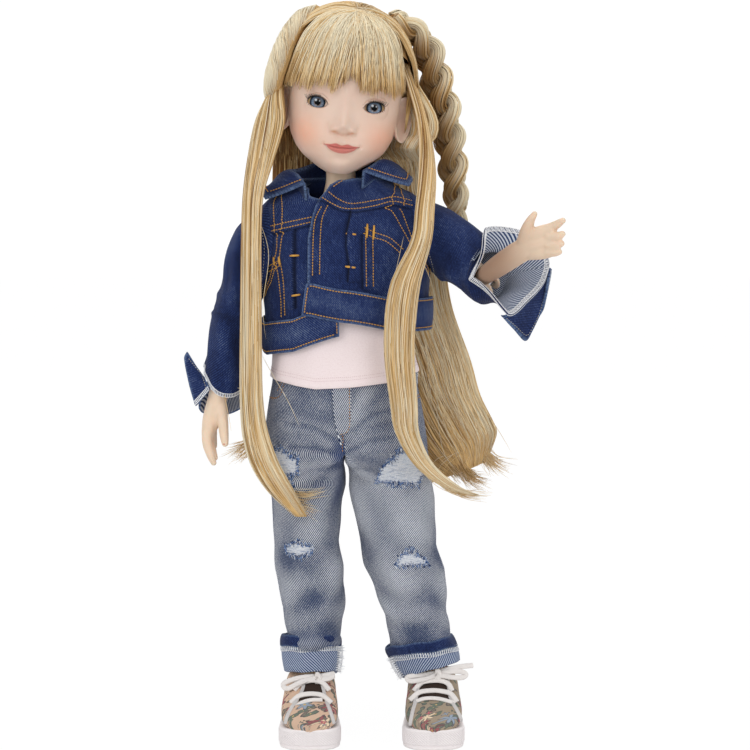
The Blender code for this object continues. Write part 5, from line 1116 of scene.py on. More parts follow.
def makeWisps():
    generator = np.random.default_rng(hair["seed"] + 40)
    paths, radii, tones = [], [], []
    t = np.linspace(0, 1, 26)
    for line, count, fan, tone in list(wisps.values()) + [(line, 1, 0.4, 0.85) for line in strays]:
        core = curveThrough(line, 26)
        for _ in range(count):
            root, tip = generator.normal(0, 1, 3) * (1.3, 0.6, 1.0), generator.normal(0, 1, 3) * (fan, fan * 0.5, fan)
            wave = np.sin(t * generator.uniform(3, 7) + generator.uniform(0,
                                                                          6)) * generator.normal(0, 0.3 * min(fan, 3))
            reach = generator.uniform(0.72, 1.0)
            path = core + root * (1 - t)[:, None] * (count > 1) + tip * (t ** 1.7)[:, None] + np.stack([wave,
                                                                                                        0 * wave,
                                                                                                        wave * 0.5], 1)
            paths.append(readAt(t * reach, t, path))
            radii.append(hair["fibre"] * generator.uniform(0.5,
                                                           0.8) * np.clip(np.minimum(t * 8 + 0.3, (1 - t) * 3 + 0.25),
                                                                          0, 1))
            tones.append(np.full(26, np.clip(tone + generator.normal(0, 0.2), 0, 1)))
    tubes("hairWisps", np.array(paths) * mm, np.array(radii) * mm, fibre, body="torso",
          masks={"tone": np.array(tones), "fibreShade": np.zeros((len(paths), 26))}, slot="blond_hair")


makeScalpHair()
makePlaits()
makeLocks()
makeWisps()
print("hair ready")


# Sewn cloth: shells with rounded rims, and what is stitched on them

cloth = {  # walls and stitches in millimetres
    "denim": 0.9, "band": 1.7,
    "stitch": 1.45, "stitchLength": 1.1, "stitchWidth": 0.56,
    "indigo": "#050e2a", "indigoBase": "#11204a", "indigoLight": "#26396b", "worn": "#7c96bd",
    "reverseDark": "#2c3f66", "reverseLight": "#c9d0dc",
    "thread": "#dba64e", "paleThread": "#c9c4bb", "serge": "#ffffff",
}


def denimCloth(name, dark, base, light):
    # indigo warp over white weft, 3/1 twill; the worn mask lets the white weft show
    material, tree, shader = newMaterial(name, Roughness=0.88, Specular_IOR_Level=0.2, Sheen_Weight=0.08,
                                         Sheen_Roughness=0.5)
    place = clothPlace(tree)
    twill = bands(tree, clothPlace(tree, turn=-43), 0.84)
    warp = noise(tree, clothPlace(tree, scale=(1, 0.12, 1)), 0.55, 3.0, 0.7)
    heather = noise(tree, place, 1.1, 4.0, 0.75)
    cloud = noise(tree, place, 16.0, 3.0, 0.5)
    tone = maths(tree, "ADD", maths(tree, "MULTIPLY", warp, 0.42), maths(tree, "MULTIPLY", heather, 0.42))
    tone = maths(tree, "ADD", tone, maths(tree, "MULTIPLY", cloud, 0.3))
    tone = maths(tree, "ADD", tone, maths(tree, "MULTIPLY", twill, 0.2))
    # the fade mask lightens the cloth: wash wear, and painted light where it follows raised seams and fold crests
    tone = maths(tree, "ADD", tone, maths(tree, "MULTIPLY", mask(tree, "fade"), 0.34))
    tint = ramp(tree, tone, ((0.5, dark), (0.67, base), (0.83, light), (1.0, "#6b788f"))).outputs[0]
    edge = maths(tree, "MULTIPLY", mask(tree, "edge"), ramp(tree, heather, ((0.38, 0.1), (0.62, 1.0))).outputs[0])
    tint = mixed(tree, maths(tree, "MULTIPLY", edge, 0.62), tint, cloth["worn"])
    # painted shade in fold hollows and along folded seams and pleats
    tint = mixed(tree, maths(tree, "MULTIPLY", mask(tree, "shade"), 0.85), tint, "#070d20")
    tree.links.new(tint, shader.inputs["Base Color"])
    low = bump(tree, shader, maths(tree, "ADD", maths(tree, "MULTIPLY", heather, 0.6),
                                   maths(tree, "MULTIPLY", warp, 0.4)), 0.22, 0.9)
    bump(tree, shader, twill, 0.10, 0.8, low)
    return material


def reverseDenim(name, dark, light, period=0.98, turn=28):
    # the inner side, where the white weft lies on top in raised diagonals
    material, tree, shader = newMaterial(name, Roughness=0.88, Specular_IOR_Level=0.25)
    stripes = bands(tree, clothPlace(tree, turn=turn), period)
    fuzz = noise(tree, clothPlace(tree), 0.7, 3.0, 0.7)
    tone = maths(tree, "ADD", maths(tree, "MULTIPLY", stripes, 0.75), maths(tree, "MULTIPLY", fuzz, 0.5))
    tree.links.new(ramp(tree, tone, ((0.48, dark), (0.84, light))).outputs[0], shader.inputs["Base Color"])
    bump(tree, shader, tone, 0.22, 0.9)
    return material


def spunThread(name, tint, dark):
    # two-ply cotton-wrapped thread
    material, tree, shader = newMaterial(name, Roughness=0.6, Specular_IOR_Level=0.3)
    grain = noise(tree, clothPlace(tree, scale=(1, 0.3, 1)), 0.5, 2.0, 0.6)
    tree.links.new(ramp(tree, grain, ((0.3, dark), (0.62, tint))).outputs[0], shader.inputs["Base Color"])
    return material


indigoDenim = denimCloth("indigoTwillDenim", cloth["indigo"], cloth["indigoBase"], cloth["indigoLight"])
indigoReverse = reverseDenim("indigoTwillReverse", cloth["reverseDark"], cloth["reverseLight"])
topThread = spunThread("cottonTopThread", cloth["thread"], "#b9853a")
paleThread = spunThread("cottonPaleThread", cloth["paleThread"], "#8f8b86")
sergeThread = spunThread("woollyNylonSerging", cloth["serge"], "#c9ccd4")


def gridNormals(points, closed=False):
    along = (np.roll(points, -1, 1) - np.roll(points, 1, 1)) if closed else np.gradient(points, axis=1)
    normal = np.cross(along, np.gradient(points, axis=0))
    return normal / (np.linalg.norm(normal, axis=2, keepdims=True) + 1e-12)


def outwardNormals(points):
    normal = gridNormals(points, True)
    return normal * np.sign((normal * (points - points.reshape(-1, 3).mean(0))).sum())


def gridLengths(points):
    # distances along rows and columns in millimetres, used as cloth coordinates
    across = np.linalg.norm(np.diff(points, axis=1), axis=2) / mm
    down = np.linalg.norm(np.diff(points, axis=0), axis=2) / mm
    u = np.concatenate([np.zeros((len(points), 1)), np.cumsum(across, 1)], 1)
    v = np.concatenate([np.zeros((1, points.shape[1])), np.cumsum(down, 0)], 0)
    return u, v


def flatWeave(points, turn=0):
    # cloth coordinates of a small flat piece: its own two long directions
    flat = points.reshape(-1, 3) - points.reshape(-1, 3).mean(0)
    axes = np.linalg.svd(flat, full_matrices=False)[2][:2]
    axes = axes * np.sign([axes[0][np.abs(axes[0]).argmax()], axes[1][np.abs(axes[1]).argmax()]])[:, None]
    spin = math.radians(turn)
    axes = np.array([[math.cos(spin), math.sin(spin)], [-math.sin(spin), math.cos(spin)]]) @ axes
    return (flat @ axes.T).reshape(points.shape[:2] + (2,))


def tubeWeave(points):
    # cloth coordinates of a sleeve: even all round and along
    loops = np.concatenate([points, points[:, :1]], 1)
    girth = np.linalg.norm(np.diff(loops, axis=1), axis=2).sum(1).mean()
    down = np.concatenate([[0], np.cumsum(np.linalg.norm(np.diff(points, axis=0), axis=2).mean(1))])
    u = np.linspace(0, girth, points.shape[1], endpoint=False)
    # runs the other way round than the rows, for the same twill
    u = np.where(np.arange(len(u)) > len(u) // 2, u - girth, u)
    return np.stack(np.broadcast_arrays(-u[None] + 0 * down[:, None], down[:, None]), -1)


def clothShell(name, points, wall, material, lining=None, closed=False, outward=None, body=None, instead=(), slot=None,
               masks=None, blend=None, edgeWear=0.9, sharp=None, weave=None):
    points = np.asarray(points, float)
    rows, columns = points.shape[:2]
    normal = gridNormals(points, closed)
    lead = (normal * (points - points.reshape(-1, 3).mean(0) if outward is None else np.asarray(outward, float))).sum()
    flip = lead < 0
    normal = -normal if flip else normal
    thick = wall * mm
    inner = points - normal * thick
    grid = np.arange(rows * columns).reshape(rows, columns)
    total = rows * columns
    one = gridFaces(rows, columns, closed)
    one = one[:, ::-1] if flip else one
    faces = [one, one[:, ::-1] + total]
    count = len(one)
    spread = np.zeros_like(points)
    spread[0] += points[0] - points[1]
    spread[-1] += points[-1] - points[-2]
    if not closed:
        spread[:, 0] += points[:, 0] - points[:, 1]
        spread[:, -1] += points[:, -1] - points[:, -2]
    spread = unit(spread)
    loops = [grid[0], grid[-1, ::-1]] if closed else [
        np.concatenate([grid[0], grid[1:, -1], grid[-1, -2::-1], grid[-2:0:-1, 0]])]
    rims, start = [], 2 * total
    flatPoints, flatInner, flatSpread = points.reshape(-1, 3), inner.reshape(-1, 3), spread.reshape(-1, 3)
    for loop in loops:
        rim = (flatPoints[loop] + flatInner[loop]) / 2 + flatSpread[loop] * thick * 0.45
        ring = start + np.arange(len(loop))
        rims.append((rim, loop))
        following, nextRing = np.roll(loop, -1), np.roll(ring, -1)
        first = np.stack([following, loop, ring, nextRing], 1)
        second = np.stack([nextRing, ring, loop + total, following + total], 1)
        faces += [first[:, ::-1], second[:, ::-1]] if flip else [first, second]
        start += len(loop)
    everything = np.concatenate([flatPoints, flatInner] + [rim for rim, _ in rims])
    u, v = gridLengths(points)
    if closed:
        # measured both ways from the first column, so that the weave stays straight there
        u = np.where(np.arange(columns)[None] > columns // 2, u - u[:, -1:] - u[:, 1:2], u)
    uv = (np.stack([u, v], -1) if weave is None else weave).reshape(-1, 2)
    order = np.concatenate([np.arange(total), np.arange(total)] + [loop for _, loop in rims])
    near = np.minimum(v, v[-1:] - v)
    if not closed:
        near = np.minimum(near, np.minimum(u, u[:, -1:] - u))
    edge = np.exp(-(near / edgeWear) ** 2).ravel()
    allMasks = {"edge": edge[order]}
    for key, value in (masks or {}).items():
        allMasks[key] = np.broadcast_to(value, (rows, columns)).ravel()[order]
    piece = makePiece(name, everything, np.concatenate(faces).tolist(), material, uv=uv[order], masks=allMasks,
                      body=body,
                      instead=instead, slot=slot, blend=blend)
    if lining:
        piece.data.materials.append(lining)
        index = np.zeros(len(piece.data.polygons), np.int32)
        index[count:2 * count] = 1
        piece.data.polygons.foreach_set("material_index", index)
    if sharp:
        piece.data.set_sharp_from_angle(angle=math.radians(sharp))
    return piece, BVHTree.FromPolygons(flatPoints.tolist(), one.tolist())


def layOn(trees, points, way):
    # drops points on the nearest cloth along a direction; those that miss are left out
    way = Vector(way).normalized()
    found, normals = [], []
    for point in points:
        start = Vector(point) - way * 0.12
        best = None
        for tree in trees:
            place, normal, _, reach = tree.ray_cast(start, way, 0.4)
            if place is not None and (best is None or reach < best[2]):
                best = (place, normal, reach)
        if best:
            found.append(best[0])
            normals.append(best[1] if best[1].dot(way) < 0 else -best[1])
    return np.array(found).reshape(-1, 3), np.array(normals).reshape(-1, 3)


def drawnOn(trees, line, way=(0, 1, 0), step=0.35, smooth=True):
    # a line given by x and z in millimetres, or by full places, laid on cloth
    line = [(p[0], bodyDepth, p[1]) if len(p) == 2 else p for p in line]
    length = sum(math.dist(a, b) for a, b in zip(line, line[1:]))
    count = max(int(length / step), 4)
    if smooth and len(line) > 2:
        path = curveThrough(line, count)
    else:
        at = np.linspace(0, len(line) - 1, count)
        path = np.stack([np.interp(at, np.arange(len(line)), [p[c] for p in line]) for c in range(3)], 1)
    return layOn(trees, path * mm, way)


def beads(name, starts, ends, normals, widths, material, rise=0.22, sides=5, **more):
    # short raised threads between pairs of places
    starts, ends, normals = (np.asarray(v, float) for v in (starts, ends, normals))
    way = ends - starts
    long = np.linalg.norm(way, axis=1, keepdims=True)
    way = way / (long + 1e-12)
    across = unit(np.cross(way, normals))
    widths = np.broadcast_to(widths, len(starts))[:, None] * mm / 2
    turn = fullTurn(sides)
    rings = []
    for share, size, lift in ((0.0, 0.5, -0.1), (0.22, 0.95, 0.7), (0.5, 1.0, 1.0), (0.78, 0.95, 0.7),
        (1.0, 0.5, -0.1)):
        centre = starts + way * long * share + normals * (widths * lift * (0.55 + rise))
        ring = centre[:, None] + (across[:, None] * np.cos(turn)[None, :, None] * size
                                  + normals[:, None] * np.sin(turn)[None, :, None] * size * 0.8) * widths[:, None]
        rings.append(ring)
    points = np.stack(rings, 1)
    one = gridFaces(5, sides, closed=True).tolist() + endCaps(5, sides)
    faces = [tuple(i + k * 5 * sides for i in face) for k in range(len(starts)) for face in one]
    u = np.broadcast_to(np.arange(5)[None, :, None] * 0.5 + np.arange(len(starts))[:, None, None] * 1.7,
                        points.shape[:3])
    v = np.broadcast_to(np.arange(sides)[None, None] * 0.4, points.shape[:3])
    makePiece(name, points, faces, material, uv=np.stack([u, v], -1), **more)


def stitched(lines, period=None, length=None):
    # splits laid lines into single stitches
    period, length = period or cloth["stitch"], length or cloth["stitchLength"]
    starts, ends, normals = [], [], []
    for points, facing in lines:
        if len(points) < 3:
            continue
        run = runOf(points) / mm
        at = np.arange(0.2, run[-1] - length, period)
        read = lambda spots, rows: readAt(spots, run, rows)
        a, b, n = read(at, points), read(at + length, points), read(at + length / 2, facing)
        keep = np.linalg.norm(b - a, axis=1) < length * mm * 1.3
        starts.append(a[keep]), ends.append(b[keep]), normals.append(n[keep])
    if not starts:
        return [], [], []
    return np.concatenate(starts), np.concatenate(ends), np.concatenate(normals)


def serging(name, lines, width, period, thread, **more):
    # overlocked edge: thread loops across the edge and a chain along it; each line runs along the raw edge,
    # with the way into the cloth beside it
    starts, ends, normals = [], [], []
    for edge, inside, facing in lines:
        run = runOf(edge) / mm
        read = lambda spots, rows: readAt(spots, run, rows)
        at = np.arange(0.1, run[-1] - 0.5, period)
        out, into, n = read(at, edge), read(at, inside), read(at, facing)
        into = unit(into)
        n = unit(n)
        lean = read(at + 0.45, edge) - out
        starts += [out - into * 0.25 * mm, out + into * (width * 0.9) * mm - n * 0.05 * mm, out - into * 0.2 * mm]
        ends += [out + into * width * mm + lean, out + into * (width * 0.9) * mm + lean * 2.1,
                 out - into * 0.2 * mm + lean * 2.2]
        normals += [n, n, n]
    beads(name, np.concatenate(starts), np.concatenate(ends), np.concatenate(normals), thread, sergeThread, **more)


def clothTable(shares, low, high, wide, deep, blur=3.5):
    rows = np.array([(r[0], r[1], r[2], r[-1]) for r in shares], float)
    heights = np.linspace(low, high, 240)
    step = heights[1] - heights[0]
    kernel = bellKernel(int(3 * blur / step), step, blur)
    return heights, [smoothedLine(np.interp(heights, low + rows[:, 0] * (high - low), rows[:, column]) * size, kernel)
                     for column, size in ((1, wide), (2, deep), (3, deep))]


def roundBody(table, angle, height, lift=0.0, shift=0.0, power=2.4):
    # a place on a garment around the trunk: angle from the doll's left, front at -90; all in millimetres
    heights, sizes = table
    wide, front, back = (np.interp(height, heights, s) for s in sizes)
    c, s = np.cos(np.radians(angle)), np.sin(np.radians(angle))
    x = (wide + lift) * np.sign(c) * np.abs(c) ** (2 / power)
    y = (np.where(s < 0, front, back) + lift) * np.sign(s) * np.abs(s) ** (2 / power)
    middle = middleX(np.asarray(height) * mm) / mm
    return np.stack(np.broadcast_arrays(middle + shift + x, bodyDepth + y, height + 0 * x), -1)


def evenAngles(table, height, start, end, count, shift=0.0):
    # angles that space points evenly around the garment
    dense = np.linspace(start, end, 720)
    points = roundBody(table, dense, height, shift=shift)
    run = runOf(points)
    return np.interp(np.linspace(0, run[-1], count), run, dense)


def acrossGap(x, z, line):
    # signed distance in height from a line that runs across
    return z - lineAt(x, sorted(line))


def upGap(x, z, line):
    # signed distance sideways from a line that runs up, zero outside its own heights
    line = sorted(line, key=lambda p: p[1])
    heights = [p[1] for p in line]
    within = smoothStep(heights[0] - 1.5, heights[0], z) * (1 - smoothStep(heights[-1], heights[-1] + 1.5, z))
    return x - np.interp(z, heights, [p[0] for p in line]), within


# Denim jacket

jacket = {  # heights, widths and places in millimetres; x and z as seen from the front
    "halfWidth": 43.5, "shift": 1.7, "depth": 24.5, "hem": 195, "top": 285, "band": 16.5,
    "shares": ((0, 0.95, 0.95, 1), (0.12, 0.95, 0.97, 0.98), (0.25, 0.955, 0.99, 0.95), (0.4, 0.97, 1, 0.93),
               (0.55, 0.99, 0.97, 0.91), (0.7, 1, 0.89, 0.87), (0.79, 1, 0.79, 0.79), (0.856, 0.96, 0.67, 0.7),
               (0.89, 0.88, 0.59, 0.65), (0.922, 0.74, 0.53, 0.59), (0.955, 0.58, 0.5, 0.56), (1, 0.48, 0.48, 0.54)),
    "hemHeights": ((-110, 217), (-60, 209), (0, 209), (90, 204), (180, 198), (200, 196.5), (235, 199), (267, 207)),
    "armhole": {"right": (252, 14.6, 23.8), "left": (259, 14, 19.5)},
    "neckHeights": ((-118, 275), (-113, 276), (-104, 280.8), (-95, 283.8), (-82, 285), (0, 285), (200, 285),
        (212, 283),
                    (224, 281.4), (236, 280), (246, 276.2), (268, 273)),
    "frontEdge": ((217, -116), (230, -110.5), (245, -109.5), (255, -109), (264, -106.5), (270, -104.5), (276, -101),
                  (281, -98)),
    "yokeLeft": ((-25.3, 274.5), (-20.3, 271.3), (-15.9, 269.3), (-9.9, 268.9), (-0.5, 270.2), (9.4, 272.3),
        (19.1, 270.1)),
    "yokeRight": ((-56.2, 256.2), (-43.0, 259.7), (-32.8, 262.2)),
    "pleatLeft": ((-11.9, 268.7), (-13.9, 258.3), (-14.1, 251.4), (-12.6, 242.5), (-13.2, 235.0)),
    "pleatRight": ((-40.4, 259.3), (-40.2, 221.0)),
    "pocketFoldLeft": ((-6.2, 256.8), (-6.3, 243.9), (-6.0, 231.0)),
    "lines": {
        "left": [
            ((-23.3, 278.7), (-18.8, 275.3), (-13.2, 272.8), (-6.8, 273.1), (2.6, 274.7), (10.2, 275.9),
            (19.1, 273.7)),
            ((-26.5, 275.9), (-21.4, 272.8), (-16.4, 270.6), (-10.0, 270.2), (-0.5, 271.5), (9.0, 273.7),
            (19.1, 271.5)),
            ((-26.4, 271.6), (-29.0, 266.6), (-30.2, 261.5), (-30.7, 251.4), (-30.9, 237.0)),
            ((-23.3, 272.1), (-25.8, 266.6), (-26.7, 261.5), (-27.2, 251.4), (-27.4, 236.5)),
            ((-3.7, 262.3), (-4.7, 258.8), (-4.5, 244.9), (-4.3, 231.1)),
            ((-0.5, 261.5), (-1.1, 257.8), (-1.0, 244.9), (-0.8, 230.8)),
            ((-5.3, 261.1), (-0.5, 258.6), (6.5, 256.2), (9.9, 253.8), (14.1, 250.0)),
            ((-6.0, 258.2), (-0.5, 256.0), (5.8, 253.9), (13.4, 247.5)),
            ((-20.9, 280.9), (-16.4, 284.0), (-11.5, 285.9), (-5.6, 286.3)),
        ],
        "right": [
            ((-58.2, 259.9), (-55.1, 260.7), (-43.0, 263.6), (-31.0, 266.1)),
            ((-58.2, 257.3), (-54.5, 258.2), (-43.0, 261.0), (-31.6, 263.6)),
            ((-49.7, 242.4), (-48.3, 237.4), (-47.0, 225.0), (-46.9, 215.5)),
            ((-47.4, 245.0), (-46.2, 238.7), (-45.3, 229.8), (-45.0, 216.5)),
            ((-59.3, 237.5), (-55.2, 240.1), (-46.6, 245.2)),
            ((-59.3, 235.0), (-55.2, 237.5), (-46.6, 242.3)),
            ((-37.4, 279.9), (-34.4, 280.4), (-30.8, 280.9), (-28.9, 276.4)),
        ],
    },
    "tacks": {
        "left": [((-14.4, 258.0), (-9.4, 257.5)), ((-14.8, 241.9), (-9.7, 241.3)),
                 ((-3.8, 262.7), (-4.2, 255.8)), ((-0.5, 262.0), (-1.0, 254.8))],
        "right": [((-42.4, 246.9), (-37.6, 247.1)), ((-41.5, 227.1), (-37.0, 227.8)),
                  ((-50.4, 246.1), (-49.9, 241.8)), ((-47.9, 246.3), (-47.3, 242.1))],
    },
}
jacketTable = clothTable(jacket["shares"], jacket["hem"], jacket["top"], jacket["halfWidth"], jacket["depth"])


def hemHeight(angle):
    return lineAt(angle, jacket["hemHeights"])


def neckTop(angle):
    # the neckline dips to the throat, where the left front's edge crosses the right front
    return lineAt(angle, jacket["neckHeights"])


def jacketRelief(side, x, z):
    # raised seams, folds and the tightness of stitching, in millimetres
    low = np.zeros_like(x)
    yoke = acrossGap(x, z, jacket["yokeLeft" if side == "left" else "yokeRight"])
    low += 0.85 * smoothStep(-0.45, 0.2, yoke) - 0.35 * np.exp(-((yoke + 1.0) / 0.9) ** 2)
    gap, within = upGap(x, z, jacket["pleatLeft" if side == "left" else "pleatRight"])
    turned = gap if side == "left" else -gap
    low += within * (1.5 * smoothStep(-0.3, 0.25, turned) * np.exp(-np.maximum(turned, 0) / 5) - 0.7
                     * np.exp(-((turned + 0.7) / 0.7) ** 2))
    if side == "left":
        gap, within = upGap(x, z, jacket["pocketFoldLeft"])
        low += within * (1.2 * smoothStep(-0.3, 0.25, gap) * np.exp(-np.maximum(gap, 0) / 6) - 0.6
                         * np.exp(-((gap + 0.7) / 0.7) ** 2))
    for line in jacket["lines"][side]:
        spans = (max(p[0] for p in line) - min(p[0] for p in line), max(p[1] for p in line) - min(p[1] for p in line))
        if spans[0] > spans[1]:
            ends = sorted(p[0] for p in line)
            gap = acrossGap(x, z, line)
            within = smoothStep(ends[0] - 1, ends[0], x) * (1 - smoothStep(ends[-1], ends[-1] + 1, x))
            ripple = np.sin(x * 1.9 + 0.6 * np.sin(x * 0.7))
        else:
            gap, within = upGap(x, z, line)
            ripple = np.sin(z * 1.9 + 0.6 * np.sin(z * 0.7))
        low -= within * (0.26 + 0.08 * ripple) * np.exp(-(gap / 0.55) ** 2)
        low += within * 0.09 * ripple * np.exp(-(gap / 2.4) ** 2)
    return low


def foldShade(side, x, z):
    # painted shade: darker along the yoke seam, the pleats and the pocket fold, where the cloth folds under
    yoke = acrossGap(x, z, jacket["yokeLeft" if side == "left" else "yokeRight"])
    shade = 0.7 * np.exp(-((yoke + 0.5) / 0.6) ** 2)
    gap, within = upGap(x, z, jacket["pleatLeft" if side == "left" else "pleatRight"])
    shade = np.maximum(shade, within * np.exp(-(((gap if side == "left" else -gap) + 0.35) / 0.5) ** 2))
    if side == "left":
        gap, within = upGap(x, z, jacket["pocketFoldLeft"])
        shade = np.maximum(shade, within * 0.9 * np.exp(-((gap + 0.35) / 0.5) ** 2))
    return shade


def jacketFolds(angle, z):
    # soft drape: a few slanting folds, stronger towards the sides
    a = np.radians(angle)
    folds = 0.55 * np.sin(a * 5 + z * 0.05 + 0.4) * smoothStep(205, 235, z) * (1 - smoothStep(262, 276, z))
    folds += 0.5 * np.sin(a * 9 - z * 0.11) * np.exp(-((z - 238) / 22) ** 2) * np.abs(np.cos(a)) ** 2
    folds += 0.22 * np.sin(a * 17 + z * 0.21)
    return folds


def jacketPanel(name, side, start, end, layer, columns, rows, instead):
    angle = even = evenAngles(jacketTable, 245, start, end, columns, jacket["shift"])[None]
    low = hemHeight(angle) + jacket["band"] - 1.5
    t = np.linspace(0, 1, rows)[:, None]
    z = low + (neckTop(angle) - low) * t
    if side == "left":
        edge = lineAt(z[:, :1], jacket["frontEdge"])
        angle = even + (edge - start) * (1 - (even - start) / (end - start)) ** 3
        z = low + (neckTop(angle) - low) * t
    plain = roundBody(jacketTable, angle + 0 * z, z, shift=jacket["shift"])
    lift = jacketFolds(angle, z) * (1 - 0.85 * smoothStep(0.93, 1, t)) * smoothStep(0, 0.05, t)
    if side:
        lift = lift * 0.7 + jacketRelief(side, plain[..., 0], z)
    lift = lift + layer(angle, z)
    points = roundBody(jacketTable, angle + 0 * z, z, lift=lift, shift=jacket["shift"]) * mm
    # the fade follows the relief and folds: raised seams and fold crests are lighter, partly wear and partly painted
    # light
    fade = 0.5 + 0.5 * np.clip(lift - layer(angle, z), -0.8, 0.9) + 0 * z
    width = np.linalg.norm(np.diff(plain[rows // 2], axis=0), axis=1).sum()
    known, run = even[0], np.linspace(0, width, columns)
    slopes = (run[1] / (known[1] - known[0]), (run[-1] - run[-2]) / (known[-1] - known[-2]))
    u = np.interp(angle + 0 * z, np.concatenate([[known[0] - 20], known, [known[-1] + 20]]),
                  np.concatenate([[-20 * slopes[0]], run, [width + 20 * slopes[1]]]))
    return clothShell(name, points, cloth["denim"], indigoDenim, indigoDenim, body="torso", instead=instead,
                      slot="blue_denim", weave=np.stack([u, z + 0 * u], -1), masks={"fade": np.clip(fade * 0.3, 0, 1),
                                                  "shade": foldShade(side, plain[..., 0],
                                                                     z) if side else np.zeros((1, 1))})


def openArmholes(piece):
    # takes out what lies inside the armholes, where the sleeves are set in
    shell = bmesh.new()
    shell.from_mesh(piece.data)
    gone = []
    for face in shell.faces:
        centre = face.calc_center_median() / mm
        height, deep, tall = jacket["armhole"]["left" if centre.x > stance["middleX"] / mm else "right"]
        middle = float(middleX(height * mm)) / mm + jacket["shift"]
        aside = abs(centre.x - middle)
        inside = ((centre.y - bodyDepth) / deep) ** 2 + ((centre.z - height) / tall) ** 2 < 1
        if inside and aside > 20:
            gone.append(face)
    bmesh.ops.delete(shell, geom=gone, context="FACES")
    shell.to_mesh(piece.data)
    shell.free()


def bandLoft(name, path, normals, ups, high, wall, material, **more):
    # double-folded band: a puffed rounded section swept along a path of its lower edge
    count, sides = len(path), 40
    turn = fullTurn(sides)
    c, s = np.cos(turn), np.sin(turn)
    across = 0.5 + 0.5 * np.sign(s) * np.abs(s) ** 0.35          # 0 at the lower edge, 1 at the upper edge
    out = 0.5 * np.sign(c) * np.abs(c) ** 0.55
    puff = 1 + 0.28 * np.exp(-((across - 0.5) / 0.3) ** 2) - 0.3 * np.exp(-((across - 0.12) / 0.05) ** 2) \
        - 0.3 * np.exp(-((across - 0.88) / 0.05) ** 2)
    run = runOf(path) / mm
    points = path[:, None] + ups[:, None] * (across * high * mm)[None, :, None] \
        + normals[:, None] * ((out * puff)[None, :, None] * wall * mm + wall * mm / 2)
    wave = 0.12 * np.sin(run * 2.1)[:, None] * np.exp(-((across - 0.12) / 0.1) ** 2)[None] \
        + 0.12 * np.sin(run * 1.8 + 1)[:, None] * np.exp(-((across - 0.88) / 0.1) ** 2)[None]
    points = points + normals[:, None] * (wave * np.sign(out)[None])[..., None] * mm
    outer = gridFaces(count, sides, closed=True).tolist()
    u = run[:, None] + 0 * across[None]
    v = across[None] * high + 0 * u
    edge = np.exp(-(np.minimum(across, 1 - across) * high / 0.9) ** 2)[None] + 0 * u
    edge = np.maximum(edge, np.exp(-(np.minimum(run, run[-1] - run) / 0.9) ** 2)[:, None])
    # painted light: lighter along the puffed middle of the band
    fade = 0.2 + 0.25 * np.exp(-((across - 0.5) / 0.3) ** 2)[None] + 0 * u
    piece = makePiece(name, points, outer + endCaps(count, sides), material, uv=np.stack([u, v], -1),
                      masks={"edge": edge, "fade": fade}, **more)
    piece.data.set_sharp_from_angle(angle=math.radians(70))
    return BVHTree.FromPolygons(points.reshape(-1, 3).tolist(), outer)


